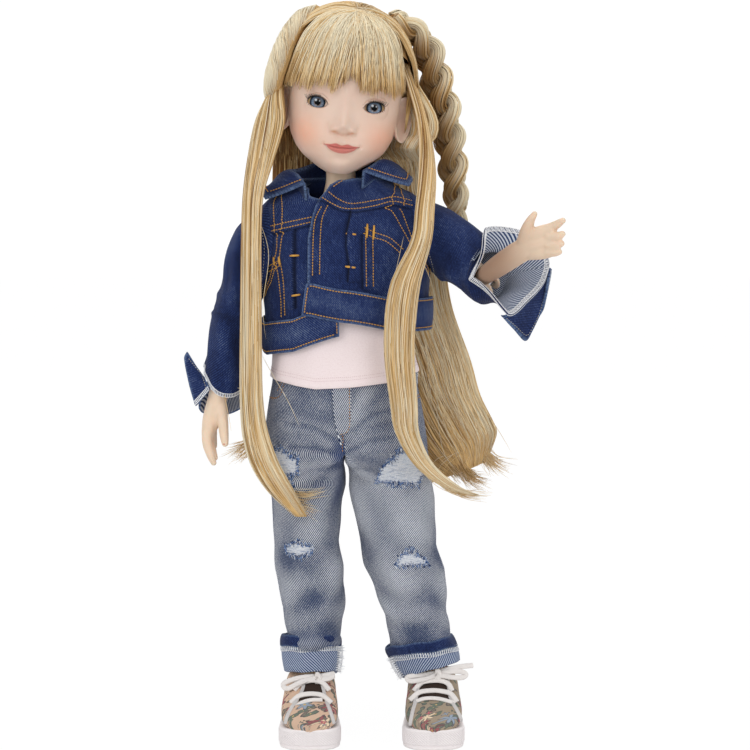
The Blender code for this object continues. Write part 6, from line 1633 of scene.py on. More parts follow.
def makeJacket():
    lap = lambda angle, z: 2.4 * (1 - smoothStep(-92, -72, angle)) + 0 * z
    flat = lambda angle, z: 0 * angle + 0 * z
    trees = {}
    left, trees["left"] = jacketPanel("jacketFrontLeft", "left", -112, 0, lap, 150, 130, ["jacket_front_left"])
    right, trees["right"] = jacketPanel("jacketFrontRight", "right", 180, 267, flat, 130, 130, ["jacket_front_right"])
    back, trees["back"] = jacketPanel("jacketBack", None, 0, 180, flat, 150, 80, ["jacket_back"])
    for piece in (left, right, back):
        openArmholes(piece)
    # waistbands
    for side, start, end, extra in (("left", -116, 90, 1.6), ("right", 90.6, 267, 0.2)):
        angle = evenAngles(jacketTable, 210, start, end, 200, jacket["shift"])
        low = hemHeight(angle)
        over = extra * (1 - smoothStep(-92, -60, angle)) + 0.3 if side == "left" else extra + 0 * angle
        lower = roundBody(jacketTable, angle, low, lift=over, shift=jacket["shift"]) * mm
        upper = roundBody(jacketTable, angle, low + jacket["band"], lift=over + 0.3, shift=jacket["shift"]) * mm
        if side == "left":
            upper[:, 0] += 3.2 * mm * np.exp(-((angle + 116) / 14) ** 2)
        ups = unit(upper - lower)
        normals = unit(np.cross(np.gradient(lower, axis=0), ups))
        band = bandLoft("waistband" + side.title(), lower, normals, ups, jacket["band"], cloth["band"], indigoDenim,
                        body="torso", instead=["waistband_" + side], slot="blue_denim")
        lines = []
        for height in (1.7, jacket["band"] - 1.2):
            place = lower + ups * height * mm + normals * 6 * mm
            keep = slice(3, -3)
            hits = [layOn([band], [p], -n) for p, n in zip(place[keep], normals[keep])]
            lines.append((np.concatenate([h[0] for h in hits]), np.concatenate([h[1] for h in hits])))
        k = 2 if side == "left" else -3
        place = [lower[k] + ups[k] * h * mm + normals[k] * 6 * mm for h in np.linspace(1.7, jacket["band"] - 1.2, 30)]
        lines.append(layOn([band], place, -normals[k]))
        beads("waistbandStitches" + side.title(), *stitched(lines), cloth["stitchWidth"], topThread, body="torso",
              slot="blue_denim")
    # topstitching and bar tacks
    for side in ("left", "right"):
        lines = [drawnOn([trees[side]], line) for line in jacket["lines"][side]]
        beads("jacketStitches" + side.title(), *stitched(lines), cloth["stitchWidth"], topThread, body="torso",
              slot="blue_denim")
        starts, ends, normals = [], [], []
        for a, b in jacket["tacks"][side]:
            points, facing = drawnOn([trees[side]], (a, b), smooth=False)
            if len(points) > 2:
                way = (points[-1] - points[0]) / np.linalg.norm(points[-1] - points[0])
                across = np.cross(way, facing.mean(0))
                for shift in (-0.28, 0.0, 0.28):
                    starts.append(points[0] + across * shift * mm + facing.mean(0) * 0.5 * mm)
                    ends.append(points[-1] + across * shift * mm + facing.mean(0) * 0.5 * mm)
                    normals.append(facing.mean(0))
        beads("jacketTacks" + side.title(), starts, ends, normals, 0.55, topThread, body="torso", slot="blue_denim")
    # stitching round the armholes, on the jacket's side
    lines = []
    for side in ("left", "right"):
        height, deep, tall = jacket["armhole"][side]
        sign = sideSign(side)
        for grow in (2.4, 3.9):
            turn = np.radians(np.linspace(-165, 165, 200))
            y = bodyDepth + (deep + grow) * np.sin(turn)
            z = height + (tall + grow) * np.cos(turn)
            place = np.stack([np.full_like(y, float(middleX(height * mm)) / mm + sign * 60), y, z], -1) * mm
            lines.append(layOn([trees[side], trees["back"]], place, (-sign, 0, 0)))
    split = []
    for points, facing in lines:
        if len(points) > 4:
            breaks = np.where(np.linalg.norm(np.diff(points, axis=0), axis=1) > 3 * mm)[0] + 1
            for a, b in zip(np.split(points, breaks), np.split(facing, breaks)):
                split.append((a, b))
    beads("armholeStitches", *stitched(split), cloth["stitchWidth"], topThread, body="torso", slot="blue_denim")


collar = {  # from the doll's left front, round the nape to its right front: fold line and outer edge
    "fold": ((-5.6, -3.5, 289.1), (-2.0, -1.0, 291.4), (3.0, 6.0, 294.5)) + ((2, 20, 292.5), (-6, 27, 294),
        (-17.5, 30, 294.5), (-29, 27, 293), (-37, 19, 290)) + ((-43.2, 8.0, 289.2), (-39.5, 2.0, 287.8),
            (-35.4, -3.5, 282.9)),
    "edge": ((17.1, 0.5, 282.3), (18.6, 6.0, 284.7), (18.4, 11.0, 286.2)) + ((17, 24, 285), (6, 35, 283),
        (-17.5, 39, 282), (-39, 34, 281), (-49, 23, 279)) + ((-56.9, 9.0, 279.7), (-55.9, 3.0, 277.8),
            (-54.6, 0.0, 275.3)),
    "columns": 120, "rows": 26, "wall": 1.5,
}


def makeCollar():
    count, rows = collar["columns"], collar["rows"]
    fold, edge = curveThrough(collar["fold"], count), curveThrough(collar["edge"], count)
    s = np.linspace(0, 1, count)
    t = np.linspace(0, 1, rows)[:, None, None]
    points = fold[None] * (1 - t) + edge[None] * t
    # the leaves roll over the fold and lift off the shoulders
    up = unit(np.cross(np.gradient(fold + edge, axis=0), edge - fold))
    up *= np.sign(up[:, 2:3])
    roll = np.sin(t ** 0.7 * math.pi)
    tips = np.exp(-(s / 0.1) ** 2) + np.exp(-((1 - s) / 0.1) ** 2)
    points = points + up[None] * roll * (2.3 - 1.9 * tips)[None, :, None]
    wave = 0.35 * np.sin(s * 46)[None, :, None] * t
    points = points + up[None] * wave
    # the front edge of each leaf is slightly hollow
    ends = np.exp(-(s / 0.05) ** 2) + np.exp(-((1 - s) / 0.05) ** 2)
    points = points + up[None] * (ends[None, :, None] * -1.0 * np.sin(t * math.pi))
    leaf, _ = clothShell("jacketCollar", points * mm, collar["wall"], indigoDenim, indigoDenim, outward=(0, 0, 1),
                            body="torso", instead=["jacket_collar"], slot="blue_denim",
                            masks={"fade": 0.25 + 0.1 * np.sin(s * 30)[None]}, edgeWear=1.1)
    normal = gridNormals(points)
    normal *= np.sign(normal[..., 2].mean())
    k = rows - 4
    lines = [(points[k, 3:-3] * mm, normal[k, 3:-3])]
    for column in (3, count - 4):
        lines.append((points[:k + 1, column] * mm, normal[:k + 1, column]))
    beads("collarStitches", *stitched(lines), cloth["stitchWidth"], topThread, body="torso", slot="blue_denim")
    # collar stand behind the neck, inside the fold
    inner = fold + (np.array([-17.5, 14, 0]) - fold) * (0.04, 0.04, 0) - (0, 0, 9)
    stand = np.stack([inner * (1 - a) + (fold - (0, 0, 0.6)) * a for a in np.linspace(0, 1, 8)])
    clothShell("collarStand", stand * mm, 1.2, indigoDenim, indigoDenim, body="torso", slot="blue_denim",
               masks={"fade": np.zeros((1, count))})


makeJacket()
makeCollar()
print("jacket ready")


# Sleeves and undone cuffs

sleeve = {  # millimetres; rim places run round the open end, each with its angle in degrees
    "halfWidth": {"right": 11, "left": 13.8}, "halfDepth": {"right": 13, "left": 15},
    "seat": {"right": 0.35, "left": -0.65}, "upperArmRadius": 7.2, "gap": 0.35,
    "rimAngles": (0, 40, 70, 95, 118, 180, 232, 260, 290, 325, 360),
    "rim": ((86.5, 4.0, 241.1), (84.4, 3.0, 251.2), (77.7, 2.0, 257.3), (65.1, 0.0, 258.9), (54.3, -5.0, 260.1),
        (50.7, -19.0, 241.4), (65.7, -19.0, 218.7), (72.0, -13.0, 221.2), (79.0, -5.0, 226.6), (84.4, 1.0, 233.8),
            (86.5, 4.0, 241.1)),
    "ventLeft": (118, 178, 232),
    "cuffOuter": ((63.2, -18.5, 217.9), (69.4, -15.0, 211.4), (75.2, -11.0, 205.3), (78.6, -8.0, 209.3),
        (82.1, -4.0, 216.5), (84.8, 0.0, 226.3), (87.0, 3.5, 239.2)),
    "rightEnd": ((-86.9, 9.0, 190.1), (-85.9, 3.0, 186.6), (-83.0, -2.0, 181.1), (-78.4, -4.5, 176.8),
        (-71.8, -4.5, 176.0), (-66.6, 0.0, 178.3), (-65.0, 8.0, 180.0), (-67.1, 18.0, 184.0),
            (-73.6, 23.0, 185.6), (-81.7, 22.0, 187.2), (-85.9, 16.0, 189.4)),
    "rightBack": ((-89.0, 3.0, 174.4), (-89.3, 6.0, 168.4), (-85.8, 12.0, 165.4), (-79.5, 17.0, 164.5),
        (-73.3, 17.0, 165.3), (-67.4, 13.0, 168.6), (-64.4, 5.0, 172.1)),
    "rightBackTop": ((-84.4, 2.0, 181.6), (-85.2, 7.0, 182.6), (-84.2, 13.0, 180.4), (-79.4, 17.0, 177.9),
        (-72.7, 17.0, 176.9), (-67.3, 12.0, 178.0), (-65.2, 6.0, 180.2)),
    "flapInner": ((-85.9, 0.0, 185.4), (-85.1, -1.5, 184.0), (-84.2, -3.0, 182.2), (-83.4, -4.5, 179.6)),
    "flapOuter": ((-94.9, 4.0, 197.7), (-96.0, 1.0, 193.4), (-93.6, -2.0, 182.1), (-90.5, -4.5, 171.7)),
}


def framed(way, hint=(0, 1, 0)):
    way = unit(np.asarray(way, float))
    along = unit(np.asarray(hint, float) - way * (way @ np.asarray(hint, float))[..., None])
    return np.cross(along, way), along


def tubeRings(stations, rows, sides):
    # stations: middle, way, half width and half depth in millimetres
    dense = curveThrough([list(c) + list(np.asarray(w) * 8) + [a, b] for c, w, a, b in stations], rows)
    centre, way, wide, deep = dense[:, :3], dense[:, 3:6], dense[:, 6], dense[:, 7]
    across, along = framed(way)
    turn = fullTurn(sides)[None, :, None]
    return centre[:, None] + across[:, None] * wide[:, None, None] * np.cos(turn) \
        + along[:, None] * deep[:, None, None] * np.sin(turn)


def displaced(points, lift):
    return points + outwardNormals(points) * lift[..., None]


def upperSleeveRings(side):
    sign = sideSign(side)
    top, elbow, wrist, _ = [np.array(p) / mm for p in armJoints(side)]
    bone, lower = (elbow - top) / np.linalg.norm(elbow - top), (wrist - elbow) / np.linalg.norm(wrist - elbow)
    height, deepHole, tallHole = jacket["armhole"][side]
    middle = float(middleX(height * mm)) / mm + jacket["shift"]
    armhole = np.array([middle + sign * (jacket["halfWidth"] + sleeve["seat"][side]), bodyDepth, height])
    halfHigh, halfDeep = tallHole + cloth["denim"], deepHole + cloth["denim"]
    bend = (bone + lower) / np.linalg.norm(bone + lower)
    out, hang = np.array([sign, 0, 0.0]), np.array([0, 0, -1.0])
    up = np.array([0, 0, 3.2 if side == "left" else 0.0])
    shift = out * sleeve["upperArmRadius"] * (0.2 if side == "right" else 0)
    first, second = ((0.2, 15, 0.51), (0.68, 55, 1.03)) if side == "right" else ((0.28, 12, 0.51), (0.64, 34, 1.08))
    ways = [out * math.cos(math.radians(a)) + hang * math.sin(math.radians(a)) for _, a, _ in (first, second)]
    wide, deep = sleeve["halfWidth"][side], sleeve["halfDepth"][side]
    stations = [(armhole, out, halfHigh, halfDeep),
                (armhole + (elbow - armhole) * first[0] + shift * 1.8, ways[0], (halfHigh + wide) * first[2], halfDeep),
                (armhole + (elbow - armhole) * second[0] + shift * 0.6 + up * 0.8, ways[1], wide * second[2],
                 (deep + halfDeep) / 2),
                (elbow + shift * 0.4 + up, bend, wide, deep)]
    return stations, bend


def makeSleeve(side):
    stations, bend = upperSleeveRings(side)
    rows, sides = 90, 144
    rings = tubeRings(stations, rows, sides)
    s = np.linspace(0, 1, rows)[:, None]
    turn = fullTurn(sides)[None]
    # the sleeve's head follows the side of the jacket
    y, z = rings[0, :, 1] - bodyDepth, rings[0, :, 2]
    heights, (wideAt, frontAt, backAt) = jacketTable
    depth = np.where(y < 0, np.interp(z, heights, frontAt), np.interp(z, heights, backAt))
    reach = np.interp(z, heights, wideAt) * np.clip(1 - (np.abs(y) / depth) ** 2.4, 0.05, 1) ** (1 / 2.4)
    edge = middleX(z * mm) / mm + jacket["shift"] + sideSign(side) * (reach + 0.7)
    rings[..., 0] += (edge - rings[0, :, 0])[None] * (1 - smoothStep(0, 0.3, s))
    mid = np.sin(s * math.pi) ** 0.8
    if side == "left":
        # folds fan out from the underarm and gather towards the elbow
        folds = 1.25 * np.exp(-(np.angle(np.exp(1j * (turn + 1.15 - 1.0 * s))) / 0.22) ** 2) * smoothStep(0.1, 0.6, s)
        folds -= 0.9 * np.exp(-(np.angle(np.exp(1j * (turn + 0.7 - 0.5 * s))) / 0.2) ** 2) * smoothStep(0.15, 0.7, s)
        folds += 0.8 * np.exp(-(np.angle(np.exp(1j * (turn + 2.2 - 1.5 * s))) / 0.3) ** 2) * mid
        folds += 0.45 * np.sin(3 * turn + 7 * s) * mid + 0.22 * np.sin(7 * turn - 11 * s + 1) * mid
    else:
        folds = 0.9 * np.sin(2 * turn + 4.2 * s + 0.4) * mid * 0.7 + 0.5 * np.sin(5 * turn - 6 * s) * mid
        folds += 0.9 * np.exp(-((s - 0.86) / 0.05) ** 2) * np.cos(turn - 0.4) + 0.25 * np.sin(9 * turn + 9 * s) * mid
    folds = folds * smoothStep(0, 0.08, s) * (1 - 0.7 * smoothStep(0.94, 1.0, s))
    # the set-in seam: the sleeve's head is eased in and puffs a little beside it
    folds += 0.55 * np.exp(-((s - 0.045) / 0.03) ** 2) - 0.35 * np.exp(-(s / 0.012) ** 2)
    folds += 0.16 * np.sin(turn * 46) * np.exp(-(s / 0.05) ** 2)
    points = displaced(rings, folds)
    box = np.array([rings[0].mean(0), rings[-1].mean(0)]) * mm
    begin, finish = box[0] + (box[1] - box[0]) * 0.12, box[0] + (box[1] - box[0]) * 0.75
    if side == "right":  # for the hanging sleeve, the blend's span is set near the armhole
        way = np.array((-0.8, 0, -0.6)) * mm
        begin, finish = box[0] + way * 3.5, box[0] + way * 21
    blend = ("shoulder_" + side, "upper_arm_" + side, tuple(begin), tuple(finish))
    # painted light and shade: fold crests are lighter, with some wash wear, and the fold hollows darker
    upper, _ = clothShell("sleeveUpper" + side.title(), points * mm, cloth["denim"], indigoDenim, indigoReverse,
                          closed=True,
                             instead=["sleeve_upper_" + side], slot="blue_denim", weave=tubeWeave(points),
                             masks={"fade": np.clip(0.1 + 0.24 * folds, 0, 1), "shade": np.clip(-0.4 * folds, 0, 0.5),
                                    "edge": np.zeros((1, 1))},
                             blend=blend)
    # pale seam stitches beside the armhole and under the arm
    k = 9
    normal = outwardNormals(points)
    ring = np.concatenate([points[k], points[k, :1]]) * mm
    facing = np.concatenate([normal[k], normal[k, :1]])
    column = 8 if side == "left" else 72
    lines = [(ring, facing), (points[12:-2, column] * mm, normal[12:-2, column])]
    beads("sleeveSeam" + side.title(), *stitched(lines, 1.6, 0.9), 0.3, paleThread, slot="blue_denim", blend=blend)
    return points[-1], bend


def closedCurve(points, angles, wanted):
    points, angles = np.asarray(points, float), np.asarray(angles, float)
    extended = np.concatenate([points[-3:-1], points, points[1:3]])
    at = np.concatenate([angles[-3:-1] - 360, angles, angles[1:3] + 360])
    dense = np.linspace(at[0], at[-1], 1600)
    soft = readAt(dense, at, extended)
    step = dense[1] - dense[0]
    reach = int(30 / step)
    kernel = bellKernel(reach, step, 11)
    soft = np.stack([np.convolve(np.pad(soft[:, c], reach, "edge"), kernel, "valid") for c in range(3)], 1)
    return readAt(wanted, dense, soft)


def clocked(ring, centre, u, v, angles):
    # a closed ring read at even clock angles about its centre
    clock = np.degrees(np.arctan2((ring - centre) @ v, (ring - centre) @ u)) % 360
    order = np.argsort(clock)
    at, places = clock[order], ring[order]
    return readAt(angles, np.concatenate([at - 360, at, at + 360]), np.tile(places, (3, 1)))


def makeLeftCuff(ring, bend):
    # the sleeve flares to an undone vent whose edges are serged; the cuff band hangs open beside it
    columns, rows = 200, 70
    angles = np.linspace(0, 360, columns + 1)[:-1]
    rim = closedCurve(sleeve["rim"], sleeve["rimAngles"], angles)
    middle = rim.mean(0)
    u = rim[0] - middle
    u -= bend * (u @ bend)
    u = unit(u)
    v = np.cross(bend, u)
    start = ring.mean(0)
    v *= np.sign(((rim[columns // 4] - middle) @ v))
    first = clocked(ring, start, u, v, angles)
    low, apex, high = sleeve["ventLeft"]
    inVent = np.where(angles < apex, (angles - low) / (apex - low), (high - angles) / (high - apex))
    reach = 1 - 0.82 * np.clip(inVent, 0, 1) ** 0.95
    t = np.linspace(0, 1, rows)[:, None] * reach[None]
    points = first[None] * (1 - t)[..., None] + rim[None] * t[..., None]
    out = unit(points - (start + (middle - start) * t[..., None]))
    a = np.radians(angles)[None]
    lift = -2.2 * np.sin(t * math.pi) + 0.8 * np.sin(3 * a + 2 * t) * t + 0.5 * np.sin(7 * a + 1) * t * (1 - t) * 2
    lift += 0.9 * t ** 6 * (1 + 0.4 * np.sin(5 * a))
    points = points + out * lift[..., None]
    blend = ("upper_arm_left", "forearm_left", tuple((start + bend * 1) * mm), tuple((start + bend * 12) * mm))
    # the fade follows the folds: crests lighter, partly wear and partly painted light
    lowerSleeve, _ = clothShell("sleeveLowerLeft", points * mm, cloth["denim"], indigoDenim, indigoReverse, closed=True,
                                   instead=["sleeve_lower_left"], slot="blue_denim", blend=blend,
                                   weave=np.stack(np.broadcast_arrays(angles[None] * 0.19 + 0 * t, t * 22), -1),
                                   masks={"fade": np.clip(0.12 + 0.2 * lift, 0, 1), "edge": np.zeros((1, 1))})
    loop = np.arange(columns + 1) % columns
    normal = gridNormals(points, True)
    normal *= np.sign((normal * out).sum())
    edge, into, facing = points[-1][loop], (points[-5] - points[-1])[loop], normal[-3][loop]
    serging("ventSergingLeft", [(edge * mm, into, facing), ((edge - facing * cloth["denim"]) * mm, into, -facing)],
            2.3, blend=blend, slot="blue_denim", period=0.9, thread=0.5)
    # hanging cuff band outside the rim
    keep = (angles > 234) & (angles <= 359)
    inner = points[-1][keep] - normal[-3][keep] * 0.2
    outer = curveThrough(sleeve["cuffOuter"], keep.sum())
    s = np.linspace(0, 1, 34)[:, None, None]
    band = inner[None] * (1 - s) + outer[None] * s
    push = np.array([0.35, 0.75, -0.4])
    band = band + push * (np.sin(s * math.pi) * 1.6)
    panel, _ = clothShell("cuffLeft", band * mm, 1.5, indigoDenim, indigoReverse, outward=(0.3, -1, -0.3),
                                  instead=["cuff_left"], slot="blue_denim", blend=blend, weave=flatWeave(band),
                                  masks={"fade": np.full((1, 1), 0.12)})
    facing = np.broadcast_to(np.array([0.2, -0.95, 0.1]), band.shape)
    beads("cuffStitchesLeft", *stitched([(band[-5, 2:60] * mm, facing[-5, 2:60])], 1.5, 0.9), 0.34, paleThread,
          blend=blend, slot="blue_denim")


def makeRightCuff(ring):
    columns, rows = 160, 80
    end = np.asarray(sleeve["rightEnd"], float)
    middle = end.mean(0)
    start = ring.mean(0)
    way = (middle - start) / np.linalg.norm(middle - start)
    u = np.array([-1.0, 0, 0])
    u -= way * (u @ way)
    u = unit(u)
    v = np.cross(way, u)
    angles = np.linspace(0, 360, columns + 1)[:-1]
    first = clocked(ring, start, u, v, angles)
    last = clocked(curveThrough(np.concatenate([end, end[:1]]), 121)[:-1], middle, u, v, angles)
    t = np.linspace(0, 1, rows)[:, None, None]
    points = first[None] * (1 - t) + last[None] * t
    a = np.radians(angles)[None]
    t = t[..., 0]
    lift = 0.8 * np.sin(2 * a + 3 * t + 2) * np.sin(t * math.pi) + 0.45 * np.sin(5 * a + 6 * t) * np.sin(t * math.pi)
    lift += 0.8 * np.exp(-((t - 0.1) / 0.05) ** 2) * np.sin(a * 2 + 1) + 0.3 * np.sin(9 * a) * t ** 3
    points = displaced(points, lift * smoothStep(0, 0.1, t))
    blend = ("upper_arm_right", "forearm_right", tuple((start + way * 1) * mm), tuple((start + way * 12) * mm))
    # painted light and shade: fold crests are lighter, with some wash wear, and the fold hollows darker
    tube, _ = clothShell("sleeveLowerRight", points * mm, cloth["denim"], indigoDenim, indigoReverse, closed=True,
                            instead=["sleeve_lower_right"], slot="blue_denim", blend=blend,
                            weave=tubeWeave(points),
                            masks={"fade": np.clip(0.1 + 0.24 * lift, 0, 1), "shade": np.clip(-0.4 * lift, 0, 0.5),
                                   "edge": np.zeros((1, 1))})
    loop = np.arange(columns + 1) % columns
    normal = outwardNormals(points)
    edge, into, facing = points[-1][loop], (points[-5] - points[-1])[loop], normal[-3][loop]
    serging("ventSergingRight", [(edge * mm, into, facing)], 1.6, blend=blend, slot="blue_denim", period=0.9,
            thread=0.45)
    # back of the cuff, seen from its inner side beyond the wrist
    count = 90
    inner, outer = curveThrough(sleeve["rightBackTop"], count), curveThrough(sleeve["rightBack"], count)
    s = np.linspace(0, 1, 22)[:, None, None]
    back = inner[None] * (1 - s) + outer[None] * s
    back = back + np.array([0, 0.9, 0]) * np.sin(s * math.pi)
    backPiece, _ = clothShell("cuffRightBack", back * mm, 1.3, indigoDenim, indigoReverse, outward=(0, 1, 0),
                              slot="blue_denim", blend=blend, weave=flatWeave(back),
                              masks={"fade": np.full((1, 1), 0.1)})
    # front of the cuff, turned back on itself with its corner standing out
    inner, outer = curveThrough(sleeve["flapInner"], 60), curveThrough(sleeve["flapOuter"], 60)
    s = np.linspace(0, 1, 30)[:, None, None]
    flap = inner[None] * (1 - s) + outer[None] * s
    flap = flap + np.array([0, -1.0, 0]) * np.sin(s * math.pi) * 1.4
    front, _ = clothShell("cuffRight", flap * mm, 1.5, indigoDenim, indigoReverse, outward=(0, -1, 0),
                          instead=["cuff_right"], slot="blue_denim", blend=blend, weave=flatWeave(flap),
                          masks={"fade": np.full((1, 1), 0.2)})
    facing = np.broadcast_to(np.array([-0.2, -1.0, 0.1]), flap.shape)
    stitches = [(flap[4:-3, 4] * mm, facing[4:-3, 4]), (flap[4, 4:-5] * mm, facing[4, 4:-5])]
    beads("cuffStitchesRight", *stitched(stitches, 1.4, 0.85), 0.34, paleThread, blend=blend, slot="blue_denim")
    edge, into = flap[:, -1], flap[:, -5] - flap[:, -1]
    serging("cuffSergingRight", [(edge * mm, into, facing[:, -1])], 2.0, blend=blend, slot="blue_denim", period=0.9,
            thread=0.5)


makeLeftCuff(*makeSleeve("left"))
makeRightCuff(makeSleeve("right")[0])
print("sleeves ready")


# T-shirt

shirt = {  # millimetres
    "tint": "#fbecec", "dark": "#ead6d6", "wale": 0.5, "wall": 0.7, "halfWidth": 37.9, "depth": 24, "low": 182,
    "high": 270,
    "shares": ((0, 1, .96, 1), (.1, .98, .92, .96), (.26, .91, .86, .86), (.43, .825, .83, .8), (.6, .825, .84, .8),
               (.75, .83, .8, .775), (.864, .795, .715, .71), (.932, .722, .63, .63), (1, .56, .54, .54)),
    "hem": ((-56.6, 185.5), (-50.4, 184.5), (-40.1, 182.3), (-29.8, 180.5), (-12.5, 181.5), (6.7, 183.8),
        (23.1, 188.6), (27.6, 190.1)),
}
shirtTable = clothTable(shirt["shares"], shirt["low"], shirt["high"], shirt["halfWidth"], shirt["depth"])


def jerseyCloth():
    material, tree, shader = newMaterial("cottonJerseyKnit", Roughness=0.9, Specular_IOR_Level=0.2, Sheen_Weight=0.15)
    wales = bands(tree, clothPlace(tree), shirt["wale"])
    rows = bands(tree, clothPlace(tree, turn=90), shirt["wale"] * 0.8)
    fuzz = noise(tree, clothPlace(tree), 0.8, 3.0, 0.7)
    loops = maths(tree, "ADD", maths(tree, "MULTIPLY", wales, 0.6), maths(tree, "MULTIPLY", rows, 0.3))
    tone = maths(tree, "ADD", maths(tree, "MULTIPLY", loops, 0.5), fuzz)
    tree.links.new(ramp(tree, tone, ((0.35, shirt["dark"]),
        (0.75, shirt["tint"]))).outputs[0], shader.inputs["Base Color"])
    bump(tree, shader, tone, 0.08, 0.8)
    return material


def makeShirt():
    columns, rows = 260, 90
    angle = evenAngles(shirtTable, 190, -270, 90, columns + 1)[None, :-1]
    hem = sorted(shirt["hem"])
    x = roundBody(shirtTable, angle, 186)[..., 0]
    low = lineAt(x, hem)
    t = np.linspace(0, 1, rows)[:, None] ** 0.85
    z = low + (shirt["high"] - low) * t
    a = np.radians(angle)
    lift = 0.55 * np.sin(5 * a + z / 9) * np.exp(-((z - 186)
                                                   / 16) ** 2) + 0.3 * np.sin(11 * a - z
                                                                              / 7) * np.exp(-((z - 190) / 18) ** 2)
    lift += 0.5 * np.exp(-((z - low) / 3.2) ** 2) + 0.6 * np.sin(z / 4.5 + 2
                                                                 * np.sin(2 * a)) * np.exp(-((z - 200) / 10) ** 2)
    points = roundBody(shirtTable, angle, z, lift=lift) * mm
    piece, _ = clothShell("tShirt", points, shirt["wall"], jerseyCloth(), closed=True, body="torso", instead=["tshirt"],
                             slot="pink_knit")
    normal = outwardNormals(points)
    loop = np.arange(columns + 1) % columns
    lines = []
    for height in (3.6, 4.6):
        at = np.abs(z[:, 0] - low[0, 0] - height).argmin()
        lines.append((points[at][loop], normal[at][loop]))
    thread = spunThread("polyesterPinkThread", "#f0dada", "#c9adb0")
    beads("tShirtStitches", *stitched(lines, 1.0, 0.6), 0.3, thread, body="torso", slot="pink_knit")


makeShirt()


# Jeans

jeans = {  # millimetres; outlines as seen from the front
    "top": 190, "fork": 151, "halfWidth": 41.5, "depth": 25, "radii": ((34, 14.2), (60, 15), (90, 17),
        (130, 19.6), (151, 20)),
    "shares": ((0, 1, .88, .98), (.25, .98, .92, 1), (.57, .935, .9, .96), (.73, .905, .87, .93),
        (.84, .882, .85, .91),
               (1, .875, .84, .9)),
    "outer": {"right": ((-55.8, 140.4), (-53.8, 122.3), (-50.4, 89.0), (-48.9, 67.6), (-45.1, 50.8), (-46.0, 42.4)),
              "left": ((28.1, 140.4), (30.2, 122.3), (31.9, 97.4), (35.5, 84.8), (36.6, 62.3), (39.2, 49.2),
            (40.3, 42.4))},
    "inner": {"right": ((-17.1, 145.1), (-16.6, 141.4), (-15.8, 137.8), (-15.6, 134.2), (-15.9, 128.5),
        (-17.2, 121.8), (-17.7, 115.5), (-17.8, 100.0), (-15.9, 86.9), (-15.4, 74.4), (-18.6, 49.2), (-19.1, 42.4)),
              "left": ((-16.8, 145.1), (-15.2, 141.4), (-13.5, 137.8), (-13.1, 134.2), (-12.8, 128.5),
            (-11.5, 120.7), (-5.1, 87.4), (4.1, 62.3), (7.7, 49.2), (8.8, 42.4))},
    "patches": {
        "right": [((-54.7, 146.3), (-47.7, 148.4), (-42.7, 144.8), (-39.2, 144.8), (-39.2, 138.2), (-44.2, 137.2),
            (-40.7, 132.6), (-45.8, 131.6), (-51.8, 138.2)),
                  ((-44.9, 99.0), (-39.3, 101.0), (-32.3, 99.5), (-32.3, 96.9), (-39.4, 95.4), (-44.9, 96.4))],
        "left": [((1.0, 134.2), (4.0, 140.3), (9.0, 143.8), (12.1, 147.4), (17.1, 147.9), (19.1, 144.8),
            (23.1, 142.8), (24.1, 137.2), (21.1, 131.6), (13.6, 133.7), (7.5, 133.2)),
                 ((11.1, 91.6), (14.1, 95.2), (17.2, 96.2), (20.7, 95.2), (24.7, 92.6), (26.8, 89.8),
            (19.7, 91.1), (11.6, 90.3))],
    },
    "worn": ((-3.5, 179.9), (-11.0, 167.6)),
    "flyFold": ((-21.3, 186.0), (-21.1, 180.7), (-20.6, 170.6), (-19.7, 162.8), (-18.3, 157.8), (-16.8, 152.7)),
    "flyStitch": ((-12.8, 186.0), (-12.8, 181.3), (-12.6, 168.8), (-12.6, 163.3), (-13.2, 160.5), (-14.5, 158.5),
        (-16.8, 157.9), (-18.7, 157.9)),
    "pale": [((-46.8, 183.2), (-49.8, 177.2)), ((-45.5, 182.7), (-48.1, 175.9), (-52.6, 173.7)), ((-16.3, 157.3),
        (-15.9, 154.7), (-16.4, 151.0), (-16.1, 148.2)),
             ((14.5, 175.0), (22.5, 175.7)), ((14.0, 173.7), (23.5, 174.4)), ((-55.1, 174.2), (-49.1, 174.9))],
    "loop": ((15.8, 187.8), (21.5, 187.8), (22.0, 176.4), (15.8, 176.2)),
    "turnUp": {"right": ((-48.0, 44.8), (-18.3, 44.8), (-20.2, 31.0), (-45.5, 31.0)),
               "left": ((8.0, 39.0), (41.5, 44.8), (42.5, 36.6), (15.1, 28.2))},
    "whiskers": {"right": [((-19.6, 148.1), (-29.7, 150.6), (-41.7, 150.6)), ((-20.6, 155.7), (-32.7, 161.8),
        (-43.7, 162.3)), ((-18.6, 141.0), (-32.7, 138.9), (-43.8, 133.9))],
                 "left": [((-14.1, 148.1), (-3.5, 154.2), (8.5, 155.7)), ((-11.6, 159.3), (-1.5, 167.4),
            (10.5, 170.4)), ((-12.6, 140.0), (-1.5, 138.9), (11.6, 131.8))]},
}
jeansTable = clothTable(jeans["shares"], jeans["fork"], 188, jeans["halfWidth"], jeans["depth"])


